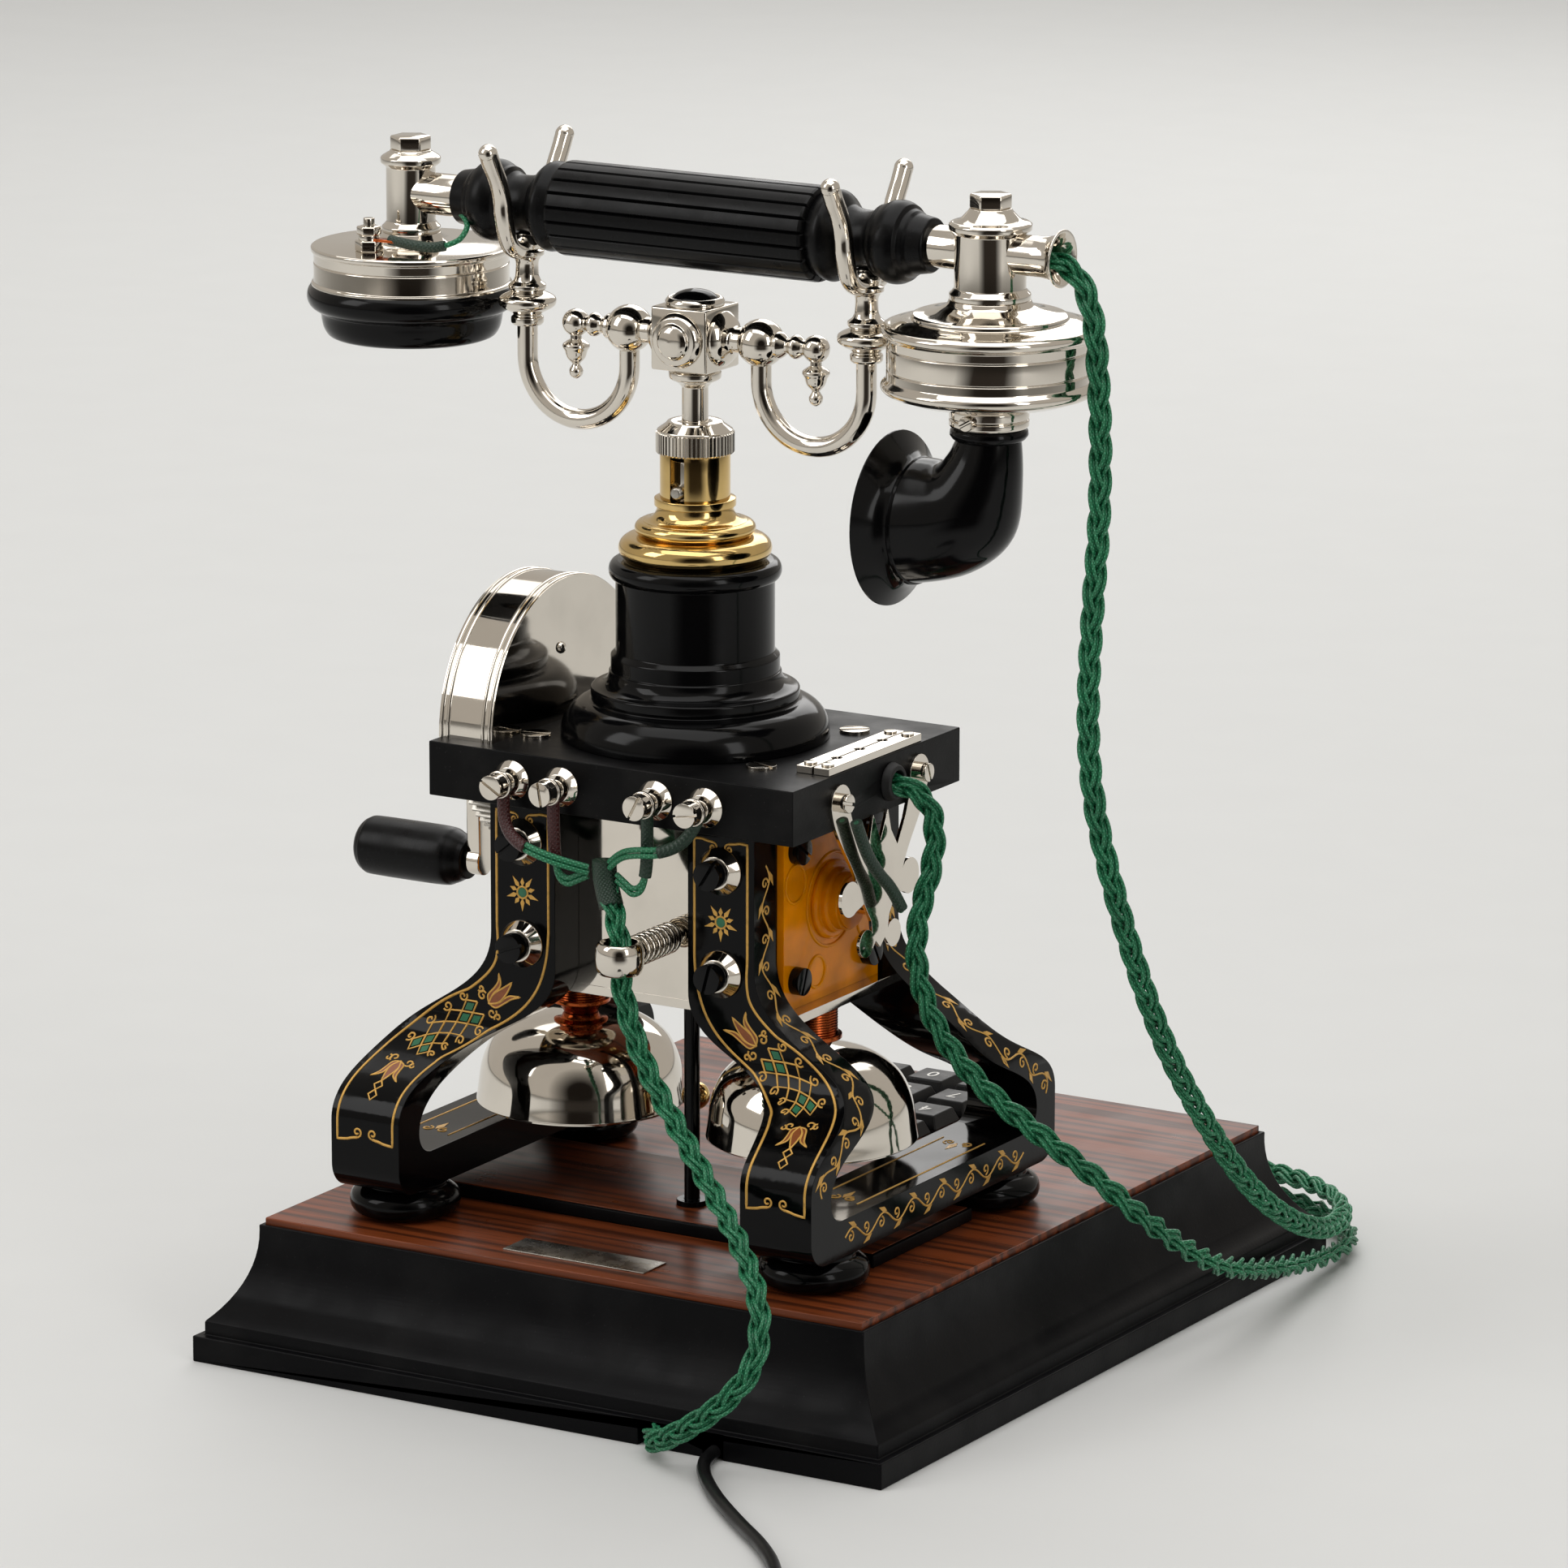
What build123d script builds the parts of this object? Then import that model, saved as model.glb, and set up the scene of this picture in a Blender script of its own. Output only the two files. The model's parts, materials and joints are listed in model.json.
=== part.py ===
from build123d import *
import math
import os

os.makedirs("parts", exist_ok=True)

# Driving dimensions, in millimetres. X runs across the set, +X is the crank side,
# -Y is the user's side with the keypad, Z is up from the table under the plinth.

# Plinth
PLINTH_X = 254.0
PLINTH_Y = 293.0
PLINTH_H = 46.0
BASE_BOARD_H = 8.5
BASE_BOARD_STEP = 2.8
PANEL_INSET = 17.0
PANEL_T = 10.0
PANEL_PROUD = 2.2
LIP_W = 1.5
COVE_Z = 13.0
COVE_DROP = 20.0
COVE_OUT = 4.4
LEDGE_W = 10.0
NOTCH_H = 8.0
REAR_NOTCH_X = -45.0
REAR_NOTCH_W = 10.0
LINE_NOTCH_X = -67.0
LINE_NOTCH_W = 7.0
COVER_PLATE_X = 168.0
COVER_PLATE_Y = 62.0
COVER_PLATE_T = 4.3

# Keypad
KEY_PITCH = 19.0
KEY_BASE = 17.0
KEY_TOP = 13.0
KEY_RISE = 7.6
KEY_GAP = 2.8
KEY_TRAVEL = 2.5
KEY_STEM = 8.0
KEY_STEM_DROP = 4.0
KEY_FIT = 0.3
KEYPAD_EDGE = 70.0
BOARD_T = 1.6
BOARD_GAP = 0.4
BOARD_POST_R = 3.0
BOARD_EDGE = 12.0

# Stand
SET_Y = 47.0
FOOT_R = 17.7
FOOT_H = 11.0
FOOT_DY = 53.6
FRAME_H = 126.3
LEG_W = 24.0
LEG_TOP_X = 36.5
LEG_FOOT_X = 75.6
LEG_FOOT_W = 25.6
LEG_TOP_DY = 44.5
LEG_FOOT_DY = 76.5
LEG_TOP_T = 14.0
LEG_FOOT_T = 12.0
RUNNER_H = 12.0
ARCH_R = 7.0
KNEE_OUT_DROP = 43.3
KNEE_IN_DROP = 53.3
ANKLE_OUT_H = 33.0
ANKLE_IN_H = 31.0
SPLAY_OUT_DROP = 71.3
SPLAY_IN_DROP = 75.3
SPLAY_FOOT_H = 23.0
TOE_R = 9.0
LEG_SCREW_R = 2.5
LEG_SCREW_HEAD_R = 4.6
LEG_SCREW_HEAD_H = 5.0
LEG_WASHER_R = 7.7
LEG_WASHER_H = 4.0
LEG_SCREW_DROP = 12.8
LEG_SCREW_PITCH = 33.0
FIT = 0.05

# Magneto
MAGNETO_X = 94.0
MAGNETO_H = 60.3
MAGNETO_PLATE_T = 3.0
BASE_PLATE_X = 110.0
BASE_PLATE_T = 3.0
END_COVER_T = 3.0
END_COVER_EDGE = 1.5
END_SCREW_DY = 22.0
END_SCREW_PITCH = 42.0
END_SCREW_R = 4.4
END_SCREW_H = 3.5
BOSS_R = 8.5
BOSS_OUT = 8.0
GEAR_SIDE_BOSS_OUT = 2.0
SHAFT_R = 3.4
SHAFT_OUT = 7.0
ROTOR_R = 12.5
ROTOR_GAP = 1.0
GEAR_MODULE = 1.0
GEAR_TEETH = 80
PINION_TEETH = 14
GEAR_X = 55.0
GEAR_W = 9.0
GEAR_WEB = 4.0
BACKLASH = 0.4

# Top plate
PLATE_X = 133.3
PLATE_Y = 103.2
PLATE_T = 17.5
GEAR_NOTCH_X = 50.5
GEAR_NOTCH_GAP = 2.2
PLATE_SCREW_X = 41.5
PLATE_SCREW_DY = 28.5
PLATE_SCREW_R = 4.8
PLATE_SCREW_H = 1.0
ARRESTER_W = 5.6
ARRESTER_L = 57.0
ARRESTER_T = 2.5
ARRESTER_X = -60.0
ARRESTER_SPLIT = 0.6
ARRESTER_HOLE_R = 1.7
ARRESTER_HOLE_PITCH = 14.0
TERMINAL_X = (35.4, 17.2, -17.2, -35.4)
TERMINAL_WASHER_R = 6.4
TERMINAL_HEAD_R = 3.9
TERMINAL_POST_R = 2.6
TERMINAL_GROOVE_Y = 5.1
TERMINAL_GROOVE_W = 4.0
TERMINAL_OUT = 13.0
GROMMET_DY = -7.8
GROMMET_R = 6.3
GROMMET_OUT = 3.0
GROMMET_DEPTH = 8.0
BRACKET_T = 1.2
BRACKET_SCREW_DY = 24.5
BRACKET_SCREW_R = 2.9
BRACKET_SCREW_H = 3.4

# Gear cover and crank
COVER_GAP = 4.0
COVER_X0 = 47.0
COVER_W = 19.8
COVER_WALL = 1.5
BEARING_R = 7.0
CRANK_SHAFT_R = 3.5
CRANK_ARM_X = 79.0
CRANK_ARM_T = 5.0
CRANK_THROW = 51.7
CRANK_HUB_R = 6.5
CRANK_EYE_R = 4.7
CRANK_PIN_R = 2.6
HANDLE_GAP = 1.0
HANDLE_L = 41.0
HANDLE_R = 9.6
HANDLE_NECK_R = 6.6

# Column and collar
FLARE_R = 42.5
FLARE_H = 10.0
COLUMN_RING_R = 32.0
COLUMN_RING_H = 5.4
COLUMN_R = 25.1
COLUMN_H = 56.5
COLUMN_BEAD_R = 27.1
COLUMN_BEAD_H = 6.0
COLUMN_BORE_R = 9.0
BRASS_R = 24.2
BRASS_SHOULDER_R = 19.1
BRASS_RING_R = 12.9
BRASS_TUBE_R = 11.1
BRASS_H = 34.0
PLUNGER_R = 8.0
SLOT_W = 5.2
SLOT_H = 14.0
NUT_R = 12.4
NUT_H = 12.2

# Cradle
STEM_R = 4.2
STEM_FLARE_R = 8.2
HUB_RISE = 71.0
HUB_SIZE = 20.1
HUB_DOME_R = 8.8
HUB_DOME_H = 6.0
HOOK_RISE = 8.0
HOOK_PIN_R = 2.4
BALL_X = 24.1
BALL_R = 7.6
FINIAL_X = 43.9
FINIAL_R = 3.9
FORK_X = 62.0
TUBE_R = 3.25
TUBE_DROP = 11.9
CUP_R = 9.0
TINE_R = 3.0
TINE_TIP_R = 3.4
TINE_DY = 22.3
TINE_RISE = 55.1

# Handset
HANDSET_RISE = 36.3
SEAT_GAP = 0.3
POST_X = 105.6
WAIST_R = 9.0
GRIP_R = 15.0
GRIP_HALF = 47.0
FLUTES = 20
FLUTE_DEPTH = 1.2
GRIP_END = 86.0
HANDSET_TUBE_R = 6.7
RECEIVER_POST_R = 7.9
TRANSMITTER_POST_R = 11.1
POST_TOP = 17.9
NUT_AF = 11.5
RECEIVER_TOP = 17.0
RECEIVER_R = 31.2
RECEIVER_BAND_H = 14.6
EAR_CAP_R = 33.4
EAR_CAP_H = 18.7
EAR_HOLE_R = 6.0
TRANSMITTER_TOP = 14.6
TRANSMITTER_R = 33.2
TRANSMITTER_H = 33.5
SHELL_WALL = 2.0
CLAMP_R = 12.3
CLAMP_H = 6.3
HORN_TOP_R = 10.0
HORN_MOUTH_R = 27.5
HORN_MOUTH_X = -72.4
HORN_WALL = 1.8
HORN_DROP = 32.0
HORN_SWELL = 9.6
HORN_FLARE_L = 8.0
HORN_RING_H = 3.6
TRUMPET_X = -131.0
TRUMPET_R = 8.6
TRUMPET_BORE_R = 4.2
TRUMPET_DEPTH = 13.0

# Ringer
BELL_X = 43.1
BELL_R = 33.7
BELL_H = 28.7
BELL_WALL = 1.8
BELL_DROP = 15.5
COIL_R = 9.5
COIL_CORE_R = 3.5
HAMMER_DROP = 34.0
HAMMER_BALL_R = 4.6
HAMMER_ROD_R = 1.2
HAMMER_PIN_R = 1.5
HAMMER_PIN_DROP = 3.5
HAMMER_HUB_W = 6.0

# Rear ring, conduit and cords
RING_X = -11.0
RING_Z = 143.4
RING_OUT = 32.5
RING_R = 7.6
RING_HOLE_R = 5.0
RING_H = 10.0
RING_ROD_R = 2.9
SPRING_R = 4.2
SPRING_WIRE_R = 1.0
SPRING_TURNS = 7
SPRING_PITCH = 3.0
CONDUIT_X = -6.0
CONDUIT_DY = 12.0
CONDUIT_R = 2.5
CONDUIT_FOOT_R = 5.0
CONDUIT_FOOT_H = 2.0
CORD_R = 3.5
LEAD_R = 1.6
LEAD_GAP = 0.7
LINE_R = 2.2
FLOOR_GAP = 0.3
BUNDLE_R = 4.6
BUNDLE_AT = (-0.5, 102.0, 167.0)
LINE_COIL_AT = (-147.0, 333.0)
LINE_COIL_ANGLE = 199.3
LINE_COIL_TURNS = 10.5
LINE_COIL_IN_R = 11.0
LINE_COIL_GAP = 0.6
LINE_COIL_APPROACH = 24.0
LINE_COIL_TAIL = 26.0
PLUG_W = 11.6
PLUG_L = 22.0
PLUG_H = 8.0

# Levels worked out from the sizes above
DECK = PLINTH_H
PANEL_Z = PLINTH_H - PANEL_T
LIP_Z = PLINTH_H - PANEL_PROUD
FRAME_Z = DECK + FOOT_H
PLATE_Z = FRAME_Z + FRAME_H
PLATE_TOP = PLATE_Z + PLATE_T
COLUMN_TOP = PLATE_TOP + COLUMN_H
COLLAR_TOP = COLUMN_TOP + BRASS_H
HUB_Z = COLUMN_TOP + HUB_RISE
HANDSET_Z = HUB_Z + HANDSET_RISE
REAR_Y = SET_Y + PLATE_Y / 2
LEFT_X = -PLATE_X / 2
TERMINAL_Z = PLATE_Z + PLATE_T / 2
PLATES_DY = LEG_TOP_DY - LEG_TOP_T
MAGNETO_Z = PLATE_Z - MAGNETO_H
BASE_PLATE_Z = MAGNETO_Z - BASE_PLATE_T
CRANK_Z = PLATE_TOP
GEAR_R = GEAR_MODULE * GEAR_TEETH / 2
PINION_R = GEAR_MODULE * PINION_TEETH / 2
ARMATURE_Z = CRANK_Z - GEAR_R - PINION_R
BELL_TOP = BASE_PLATE_Z - BELL_DROP
END_X = MAGNETO_X / 2 + END_COVER_T
LINE_Z = LINE_R + FLOOR_GAP
KEYPAD_Y = KEYPAD_EDGE - PLINTH_Y / 2
COVER_R = GEAR_R + COVER_GAP + COVER_WALL

MIRROR_X = Plane.YZ
MIRROR_Y = Plane(origin=(0, SET_Y, 0), x_dir=(1, 0, 0), z_dir=(0, 1, 0))


def block(x_span, y_span, z_span):
    """A box from its three spans."""
    spans = (x_span, y_span, z_span)
    size = [high - low for low, high in spans]
    corner = Pos(*[low for low, high in spans])
    return corner * Box(*size, align=(Align.MIN, Align.MIN, Align.MIN))


def rod(start, end, radius):
    """A round bar between two points."""
    axis = Vector(*end) - Vector(*start)
    place = Plane(origin=start, z_dir=axis)
    return place * Cylinder(radius, axis.length, align=(Align.CENTER, Align.CENTER, Align.MIN))


def turned(profile, x, y):
    """A piece turned on a vertical axis, from (radius, height) points."""
    face = make_face(Polyline(*[(radius, 0, z) for radius, z in profile], close=True))
    return Pos(x, y, 0) * revolve(face, Axis.Z)


def turned_x(profile, y, z):
    """A piece turned on an axis along X, from (x, radius) points."""
    face = make_face(Polyline(*[(x, radius, 0) for x, radius in profile], close=True))
    return Pos(0, y, z) * revolve(face, Axis.X)


def turned_y(profile, x, z):
    """A piece turned on an axis along Y, from (y, radius) points."""
    face = make_face(Polyline(*[(radius, y, 0) for y, radius in profile], close=True))
    return Pos(x, 0, z) * revolve(face, Axis.Y)


def save(node, *solids):
    """Write one named piece, or one group of like pieces."""
    export_step(Compound(children=list(solids)), f"parts/{node}.step")


def both_sides(solid):
    """A piece and its mirror image on the other side of the set."""
    return solid, mirror(solid, about=MIRROR_X)


def plinth_section(half):
    """Half of the moulding's section: base board, quirk, hollow and lip."""
    quirk = half - BASE_BOARD_STEP
    lip = half - PANEL_INSET + LIP_W
    middle = (lip + COVE_OUT, LIP_Z - COVE_DROP)
    board = Polyline((0, LIP_Z), (0, 0), (half, 0), (half, BASE_BOARD_H), (quirk, BASE_BOARD_H))
    step = Line((quirk, BASE_BOARD_H), (quirk, COVE_Z))
    hollow = ThreePointArc((quirk, COVE_Z), middle, (lip, LIP_Z))
    top = Line((lip, LIP_Z), (0, LIP_Z))
    return make_face(board + step + hollow + top)


def plinth_moulding():
    half_x = Plane.XZ * plinth_section(PLINTH_X / 2)
    half_y = Plane.YZ * plinth_section(PLINTH_Y / 2)
    along_y = extrude(half_x, PLINTH_Y / 2, both=True)
    along_x = extrude(half_y, PLINTH_X / 2, both=True)
    across = along_y + mirror(along_y, about=Plane.YZ)
    fore_aft = along_x + mirror(along_x, about=Plane.XZ)
    pocket_x = PLINTH_X / 2 - PANEL_INSET
    pocket_y = PLINTH_Y / 2 - PANEL_INSET
    inner_x = pocket_x - LEDGE_W
    inner_y = pocket_y - LEDGE_W
    body = across & fore_aft
    body -= block((-pocket_x, pocket_x), (-pocket_y, pocket_y), (PANEL_Z, DECK))
    body -= block((-inner_x, inner_x), (-inner_y, inner_y), (0, DECK))
    for x, width in ((REAR_NOTCH_X, REAR_NOTCH_W), (LINE_NOTCH_X, LINE_NOTCH_W)):
        body -= block((x - width / 2, x + width / 2), (inner_y - 1, PLINTH_Y / 2 + 1), (-1, NOTCH_H))
    return body


def key_places():
    """Key names and centres, as a caller reads them from the front."""
    names = ("1", "2", "3", "4", "5", "6", "7", "8", "9", "star", "0", "hash")
    for index, name in enumerate(names):
        row, column = divmod(index, 3)
        yield name, (column - 1) * KEY_PITCH, KEYPAD_Y + (1.5 - row) * KEY_PITCH


def plinth_panel():
    half_x = PLINTH_X / 2 - PANEL_INSET
    half_y = PLINTH_Y / 2 - PANEL_INSET
    panel = block((-half_x, half_x), (-half_y, half_y), (PANEL_Z, DECK))
    hole = KEY_STEM / 2 + KEY_FIT
    for name, x, y in key_places():
        panel -= block((x - hole, x + hole), (y - hole, y + hole), (PANEL_Z, DECK))
    return panel


def key(x, y):
    """A bevelled cap on a square stem that runs in the panel."""
    low = Pos(x, y, DECK + KEY_GAP) * Rectangle(KEY_BASE, KEY_BASE)
    high = Pos(x, y, DECK + KEY_RISE) * Rectangle(KEY_TOP, KEY_TOP)
    half = KEY_STEM / 2
    stem = block((x - half, x + half), (y - half, y + half), (PANEL_Z - KEY_STEM_DROP, DECK + KEY_GAP))
    return loft([low, high], ruled=True) + stem


def circuit_board():
    """Keypad board, hung from the panel on its own posts."""
    half_x = KEY_PITCH + BOARD_EDGE
    half_y = 1.5 * KEY_PITCH + BOARD_EDGE
    top = PANEL_Z - KEY_STEM_DROP - KEY_TRAVEL - BOARD_GAP
    board = block((-half_x, half_x), (KEYPAD_Y - half_y, KEYPAD_Y + half_y), (top - BOARD_T, top))
    for x in (BOARD_POST_R - half_x, half_x - BOARD_POST_R):
        for dy in (BOARD_POST_R - half_y, half_y - BOARD_POST_R):
            board += rod((x, KEYPAD_Y + dy, top), (x, KEYPAD_Y + dy, PANEL_Z), BOARD_POST_R)
    return board


def bun_foot(x, y):
    profile = [
        (0, DECK),
        (FOOT_R * 0.78, DECK),
        (FOOT_R, DECK + FOOT_H * 0.35),
        (FOOT_R * 0.97, DECK + FOOT_H * 0.7),
        (FOOT_R * 0.7, FRAME_Z),
        (0, FRAME_Z),
    ]
    return turned(profile, x, y)


def s_curve(top, foot):
    """A leg's edge: upright, swept out and upright again."""
    middle = (top[1] + foot[1]) / 2
    return Bezier(top, (top[0], middle), (foot[0], middle), foot)


def lower_quarter(centre, radius):
    """A quarter circle from a centre's right to its underside."""
    corner = radius * math.sqrt(0.5)
    right = (centre[0] + radius, centre[1])
    middle = (centre[0] + corner, centre[1] - corner)
    return ThreePointArc(right, middle, (centre[0], centre[1] - radius))


def leg_front_section():
    """A leg's outline seen from the front."""
    out_top = (LEG_TOP_X + LEG_W / 2, PLATE_Z - KNEE_OUT_DROP)
    out_foot = (LEG_FOOT_X + LEG_FOOT_W / 2, FRAME_Z + ANKLE_OUT_H)
    in_top = (LEG_TOP_X - LEG_W / 2, PLATE_Z - KNEE_IN_DROP)
    in_foot = (LEG_FOOT_X - LEG_FOOT_W / 2, FRAME_Z + ANKLE_IN_H)
    outer = s_curve(out_top, out_foot)
    inner = s_curve(in_top, in_foot)
    foot = Polyline(out_foot, (out_foot[0], FRAME_Z), (in_foot[0], FRAME_Z), in_foot)
    head = Polyline(out_top, (out_top[0], PLATE_Z), (in_top[0], PLATE_Z), in_top)
    return make_face(outer + foot + inner + head)


def leg_side_section():
    """Rear half of a side frame seen from the side: leg, toe and half the runner."""
    out_top = (LEG_TOP_DY, PLATE_Z - SPLAY_OUT_DROP)
    out_foot = (LEG_FOOT_DY, FRAME_Z + SPLAY_FOOT_H)
    in_top = (LEG_TOP_DY - LEG_TOP_T, PLATE_Z - SPLAY_IN_DROP)
    in_foot = (LEG_FOOT_DY - LEG_FOOT_T, FRAME_Z + RUNNER_H + ARCH_R)
    outer = s_curve(out_top, out_foot)
    inner = s_curve(in_top, in_foot)
    head = Polyline(out_top, (out_top[0], PLATE_Z), (in_top[0], PLATE_Z), in_top)
    toe = lower_quarter((LEG_FOOT_DY - TOE_R, FRAME_Z + TOE_R), TOE_R)
    arch = lower_quarter((in_foot[0] - ARCH_R, in_foot[1]), ARCH_R)
    heel = Line(out_foot, toe @ 0)
    runner = Polyline(toe @ 1, (0, FRAME_Z), (0, FRAME_Z + RUNNER_H), arch @ 1)
    return make_face(outer + heel + toe + runner + arch + inner + head)


def leg_screw_places():
    """Leg screw centres on the crank side, as x and z."""
    top = PLATE_Z - LEG_SCREW_DROP
    return (LEG_TOP_X, top), (LEG_TOP_X, top - LEG_SCREW_PITCH)


def side_frame():
    """Two splayed legs and the runner between them, one casting."""
    front_view = Plane(origin=(0, SET_Y, 0), x_dir=(1, 0, 0), z_dir=(0, -1, 0)) * leg_front_section()
    side_view = Plane(origin=(0, SET_Y, 0), x_dir=(0, 1, 0), z_dir=(1, 0, 0)) * leg_side_section()
    reach = LEG_FOOT_DY + 1
    width = LEG_FOOT_X + LEG_FOOT_W
    half = extrude(front_view, reach, both=True) & extrude(side_view, width)
    for x, z in leg_screw_places():
        half -= rod((x, SET_Y, z), (x, SET_Y + LEG_TOP_DY, z), LEG_SCREW_R + FIT)
    return half + mirror(half, about=MIRROR_Y)


def four_ways(solid):
    """A piece of the crank side's rear leg and its three mirror images."""
    rear = both_sides(solid)
    return [*rear, *[mirror(piece, about=MIRROR_Y) for piece in rear]]


def leg_screw(x, z):
    seat = SET_Y + LEG_TOP_DY + LEG_WASHER_H
    head = rod((x, seat, z), (x, seat + LEG_SCREW_HEAD_H, z), LEG_SCREW_HEAD_R)
    return head + rod((x, SET_Y + PLATES_DY - MAGNETO_PLATE_T, z), (x, seat, z), LEG_SCREW_R)


def leg_washer(x, z):
    face = SET_Y + LEG_TOP_DY
    bore = LEG_SCREW_R + FIT
    profile = [(face, bore), (face, LEG_WASHER_R), (face + LEG_WASHER_H, LEG_SCREW_HEAD_R + 0.6)]
    return turned_y([*profile, (face + LEG_WASHER_H, bore)], x, z)


def magneto_plate():
    """Rear plate between the legs; the front one is its mirror image."""
    y_span = (SET_Y + PLATES_DY - MAGNETO_PLATE_T, SET_Y + PLATES_DY)
    plate = block((-MAGNETO_X / 2, MAGNETO_X / 2), y_span, (MAGNETO_Z, PLATE_Z))
    for x, z in leg_screw_places():
        for side in (x, -x):
            plate -= rod((side, SET_Y, z), (side, y_span[1], z), LEG_SCREW_R + FIT)
    return plate


def base_plate():
    """Plate under the magneto, with ears for the hammer's pin."""
    half_x = BASE_PLATE_X / 2
    plate = block((-half_x, half_x), (SET_Y - PLATES_DY, SET_Y + PLATES_DY), (BASE_PLATE_Z, MAGNETO_Z))
    pin_z = BASE_PLATE_Z - HAMMER_PIN_DROP
    ear_r = HAMMER_PIN_R + 2
    gap = HAMMER_HUB_W / 2 + SEAT_GAP
    for start in (SET_Y + gap, SET_Y - gap - 2):
        ear = rod((0, start, pin_z), (0, start + 2, pin_z), ear_r)
        ear += block((-ear_r, ear_r), (start, start + 2), (pin_z, BASE_PLATE_Z))
        plate += ear - rod((0, start, pin_z), (0, start + 2, pin_z), HAMMER_PIN_R + FIT)
    return plate


def field_magnets():
    half_x = MAGNETO_X / 2 - END_COVER_T
    half_y = PLATES_DY - MAGNETO_PLATE_T
    body = block((-half_x, half_x), (SET_Y - half_y, SET_Y + half_y), (MAGNETO_Z, PLATE_Z))
    return body - rod((-half_x, SET_Y, ARMATURE_Z), (half_x, SET_Y, ARMATURE_Z), ROTOR_R + ROTOR_GAP)


def end_cover(side, boss_out):
    """Amber cover on one end of the magneto, with the armature's bearing boss."""
    half_y = PLATES_DY - END_COVER_EDGE
    inner = side * MAGNETO_X / 2
    outer = side * END_X
    cover = block(sorted((inner, outer)), (SET_Y - half_y, SET_Y + half_y), (MAGNETO_Z, PLATE_Z))
    tip = outer + side * boss_out
    cover += rod((outer, SET_Y, ARMATURE_Z), (tip, SET_Y, ARMATURE_Z), BOSS_R)
    return cover - rod((inner, SET_Y, ARMATURE_Z), (tip, SET_Y, ARMATURE_Z), SHAFT_R + FIT)


def end_screws():
    middle = MAGNETO_Z + MAGNETO_H / 2
    for side in (-1, 1):
        for dy in (-END_SCREW_DY, END_SCREW_DY):
            for dz in (-END_SCREW_PITCH / 2, END_SCREW_PITCH / 2):
                start = (side * END_X, SET_Y + dy, middle + dz)
                end = (side * (END_X + END_SCREW_H), SET_Y + dy, middle + dz)
                yield rod(start, end, END_SCREW_R)


def gear_face(teeth, first_angle):
    """A stub-toothed gear's outline, with a tooth centred on the first angle."""
    pitch_r = GEAR_MODULE * teeth / 2
    half_tooth = (math.pi * GEAR_MODULE / 2 - BACKLASH) / 2
    points = []
    for tooth in range(teeth):
        centre = first_angle + 2 * math.pi * tooth / teeth
        flanks = ((-1, -1.1), (-1, 0.7), (1, 0.7), (1, -1.1))
        for hand, height in flanks:
            radius = pitch_r + height * GEAR_MODULE
            half = half_tooth - height * GEAR_MODULE * math.tan(math.radians(20))
            angle = centre + hand * half / radius
            points.append((radius * math.cos(angle), radius * math.sin(angle)))
    return make_face(Polyline(*points, close=True))


def gear(teeth, first_angle, z):
    """A gear on an axis along X."""
    place = Plane(origin=(GEAR_X, SET_Y, z), x_dir=(0, 1, 0), z_dir=(1, 0, 0))
    return place * extrude(gear_face(teeth, first_angle), GEAR_W)


def drive_gear():
    """Large gear with a thinned web, on the crank's shaft."""
    wheel = gear(GEAR_TEETH, -math.pi / 2, CRANK_Z)
    rim = GEAR_R - 5 * GEAR_MODULE
    recess = (GEAR_W - GEAR_WEB) / 2
    for x in (GEAR_X, GEAR_X + GEAR_W - recess):
        dish = rod((x, SET_Y, CRANK_Z), (x + recess, SET_Y, CRANK_Z), rim)
        wheel -= dish - rod((x, SET_Y, CRANK_Z), (x + recess, SET_Y, CRANK_Z), CRANK_HUB_R)
    shaft_x = GEAR_NOTCH_X + SEAT_GAP
    return wheel + rod((shaft_x, SET_Y, CRANK_Z), (CRANK_ARM_X, SET_Y, CRANK_Z), CRANK_SHAFT_R)


def armature():
    """Shaft, rotor and the pinion that the drive gear turns."""
    rotor_x = MAGNETO_X / 2 - END_COVER_T - ROTOR_GAP
    tip = -(END_X + BOSS_OUT + SHAFT_OUT)
    shaft = rod((tip, SET_Y, ARMATURE_Z), (GEAR_X + GEAR_W, SET_Y, ARMATURE_Z), SHAFT_R)
    rotor = rod((-rotor_x, SET_Y, ARMATURE_Z), (rotor_x, SET_Y, ARMATURE_Z), ROTOR_R)
    return shaft + rotor + gear(PINION_TEETH, math.pi / 2 + math.pi / PINION_TEETH, ARMATURE_Z)


def gear_cover():
    """Half-moon shell over the gear; its inner wall carries the crank's bearing."""
    x_end = COVER_X0 + COVER_W
    shell = rod((COVER_X0, SET_Y, CRANK_Z), (x_end, SET_Y, CRANK_Z), COVER_R)
    x_span = (COVER_X0 + COVER_WALL, x_end - COVER_WALL)
    shell -= rod((x_span[0], SET_Y, CRANK_Z), (x_span[1], SET_Y, CRANK_Z), COVER_R - COVER_WALL)
    shell -= rod((x_span[1], SET_Y, CRANK_Z), (x_end, SET_Y, CRANK_Z), CRANK_SHAFT_R + 1)
    shell -= block((COVER_X0, x_end), (SET_Y - COVER_R, SET_Y + COVER_R), (CRANK_Z - COVER_R, PLATE_TOP))
    boss_x = GEAR_X - SEAT_GAP
    boss = rod((COVER_X0 + COVER_WALL, SET_Y, CRANK_Z), (boss_x, SET_Y, CRANK_Z), BEARING_R)
    under = GEAR_NOTCH_X + SEAT_GAP
    boss -= block((COVER_X0, under), (SET_Y - BEARING_R, SET_Y + BEARING_R), (CRANK_Z - BEARING_R, PLATE_TOP))
    shell += boss
    return shell - rod((under - FIT, SET_Y, CRANK_Z), (boss_x, SET_Y, CRANK_Z), CRANK_SHAFT_R + FIT)


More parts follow.
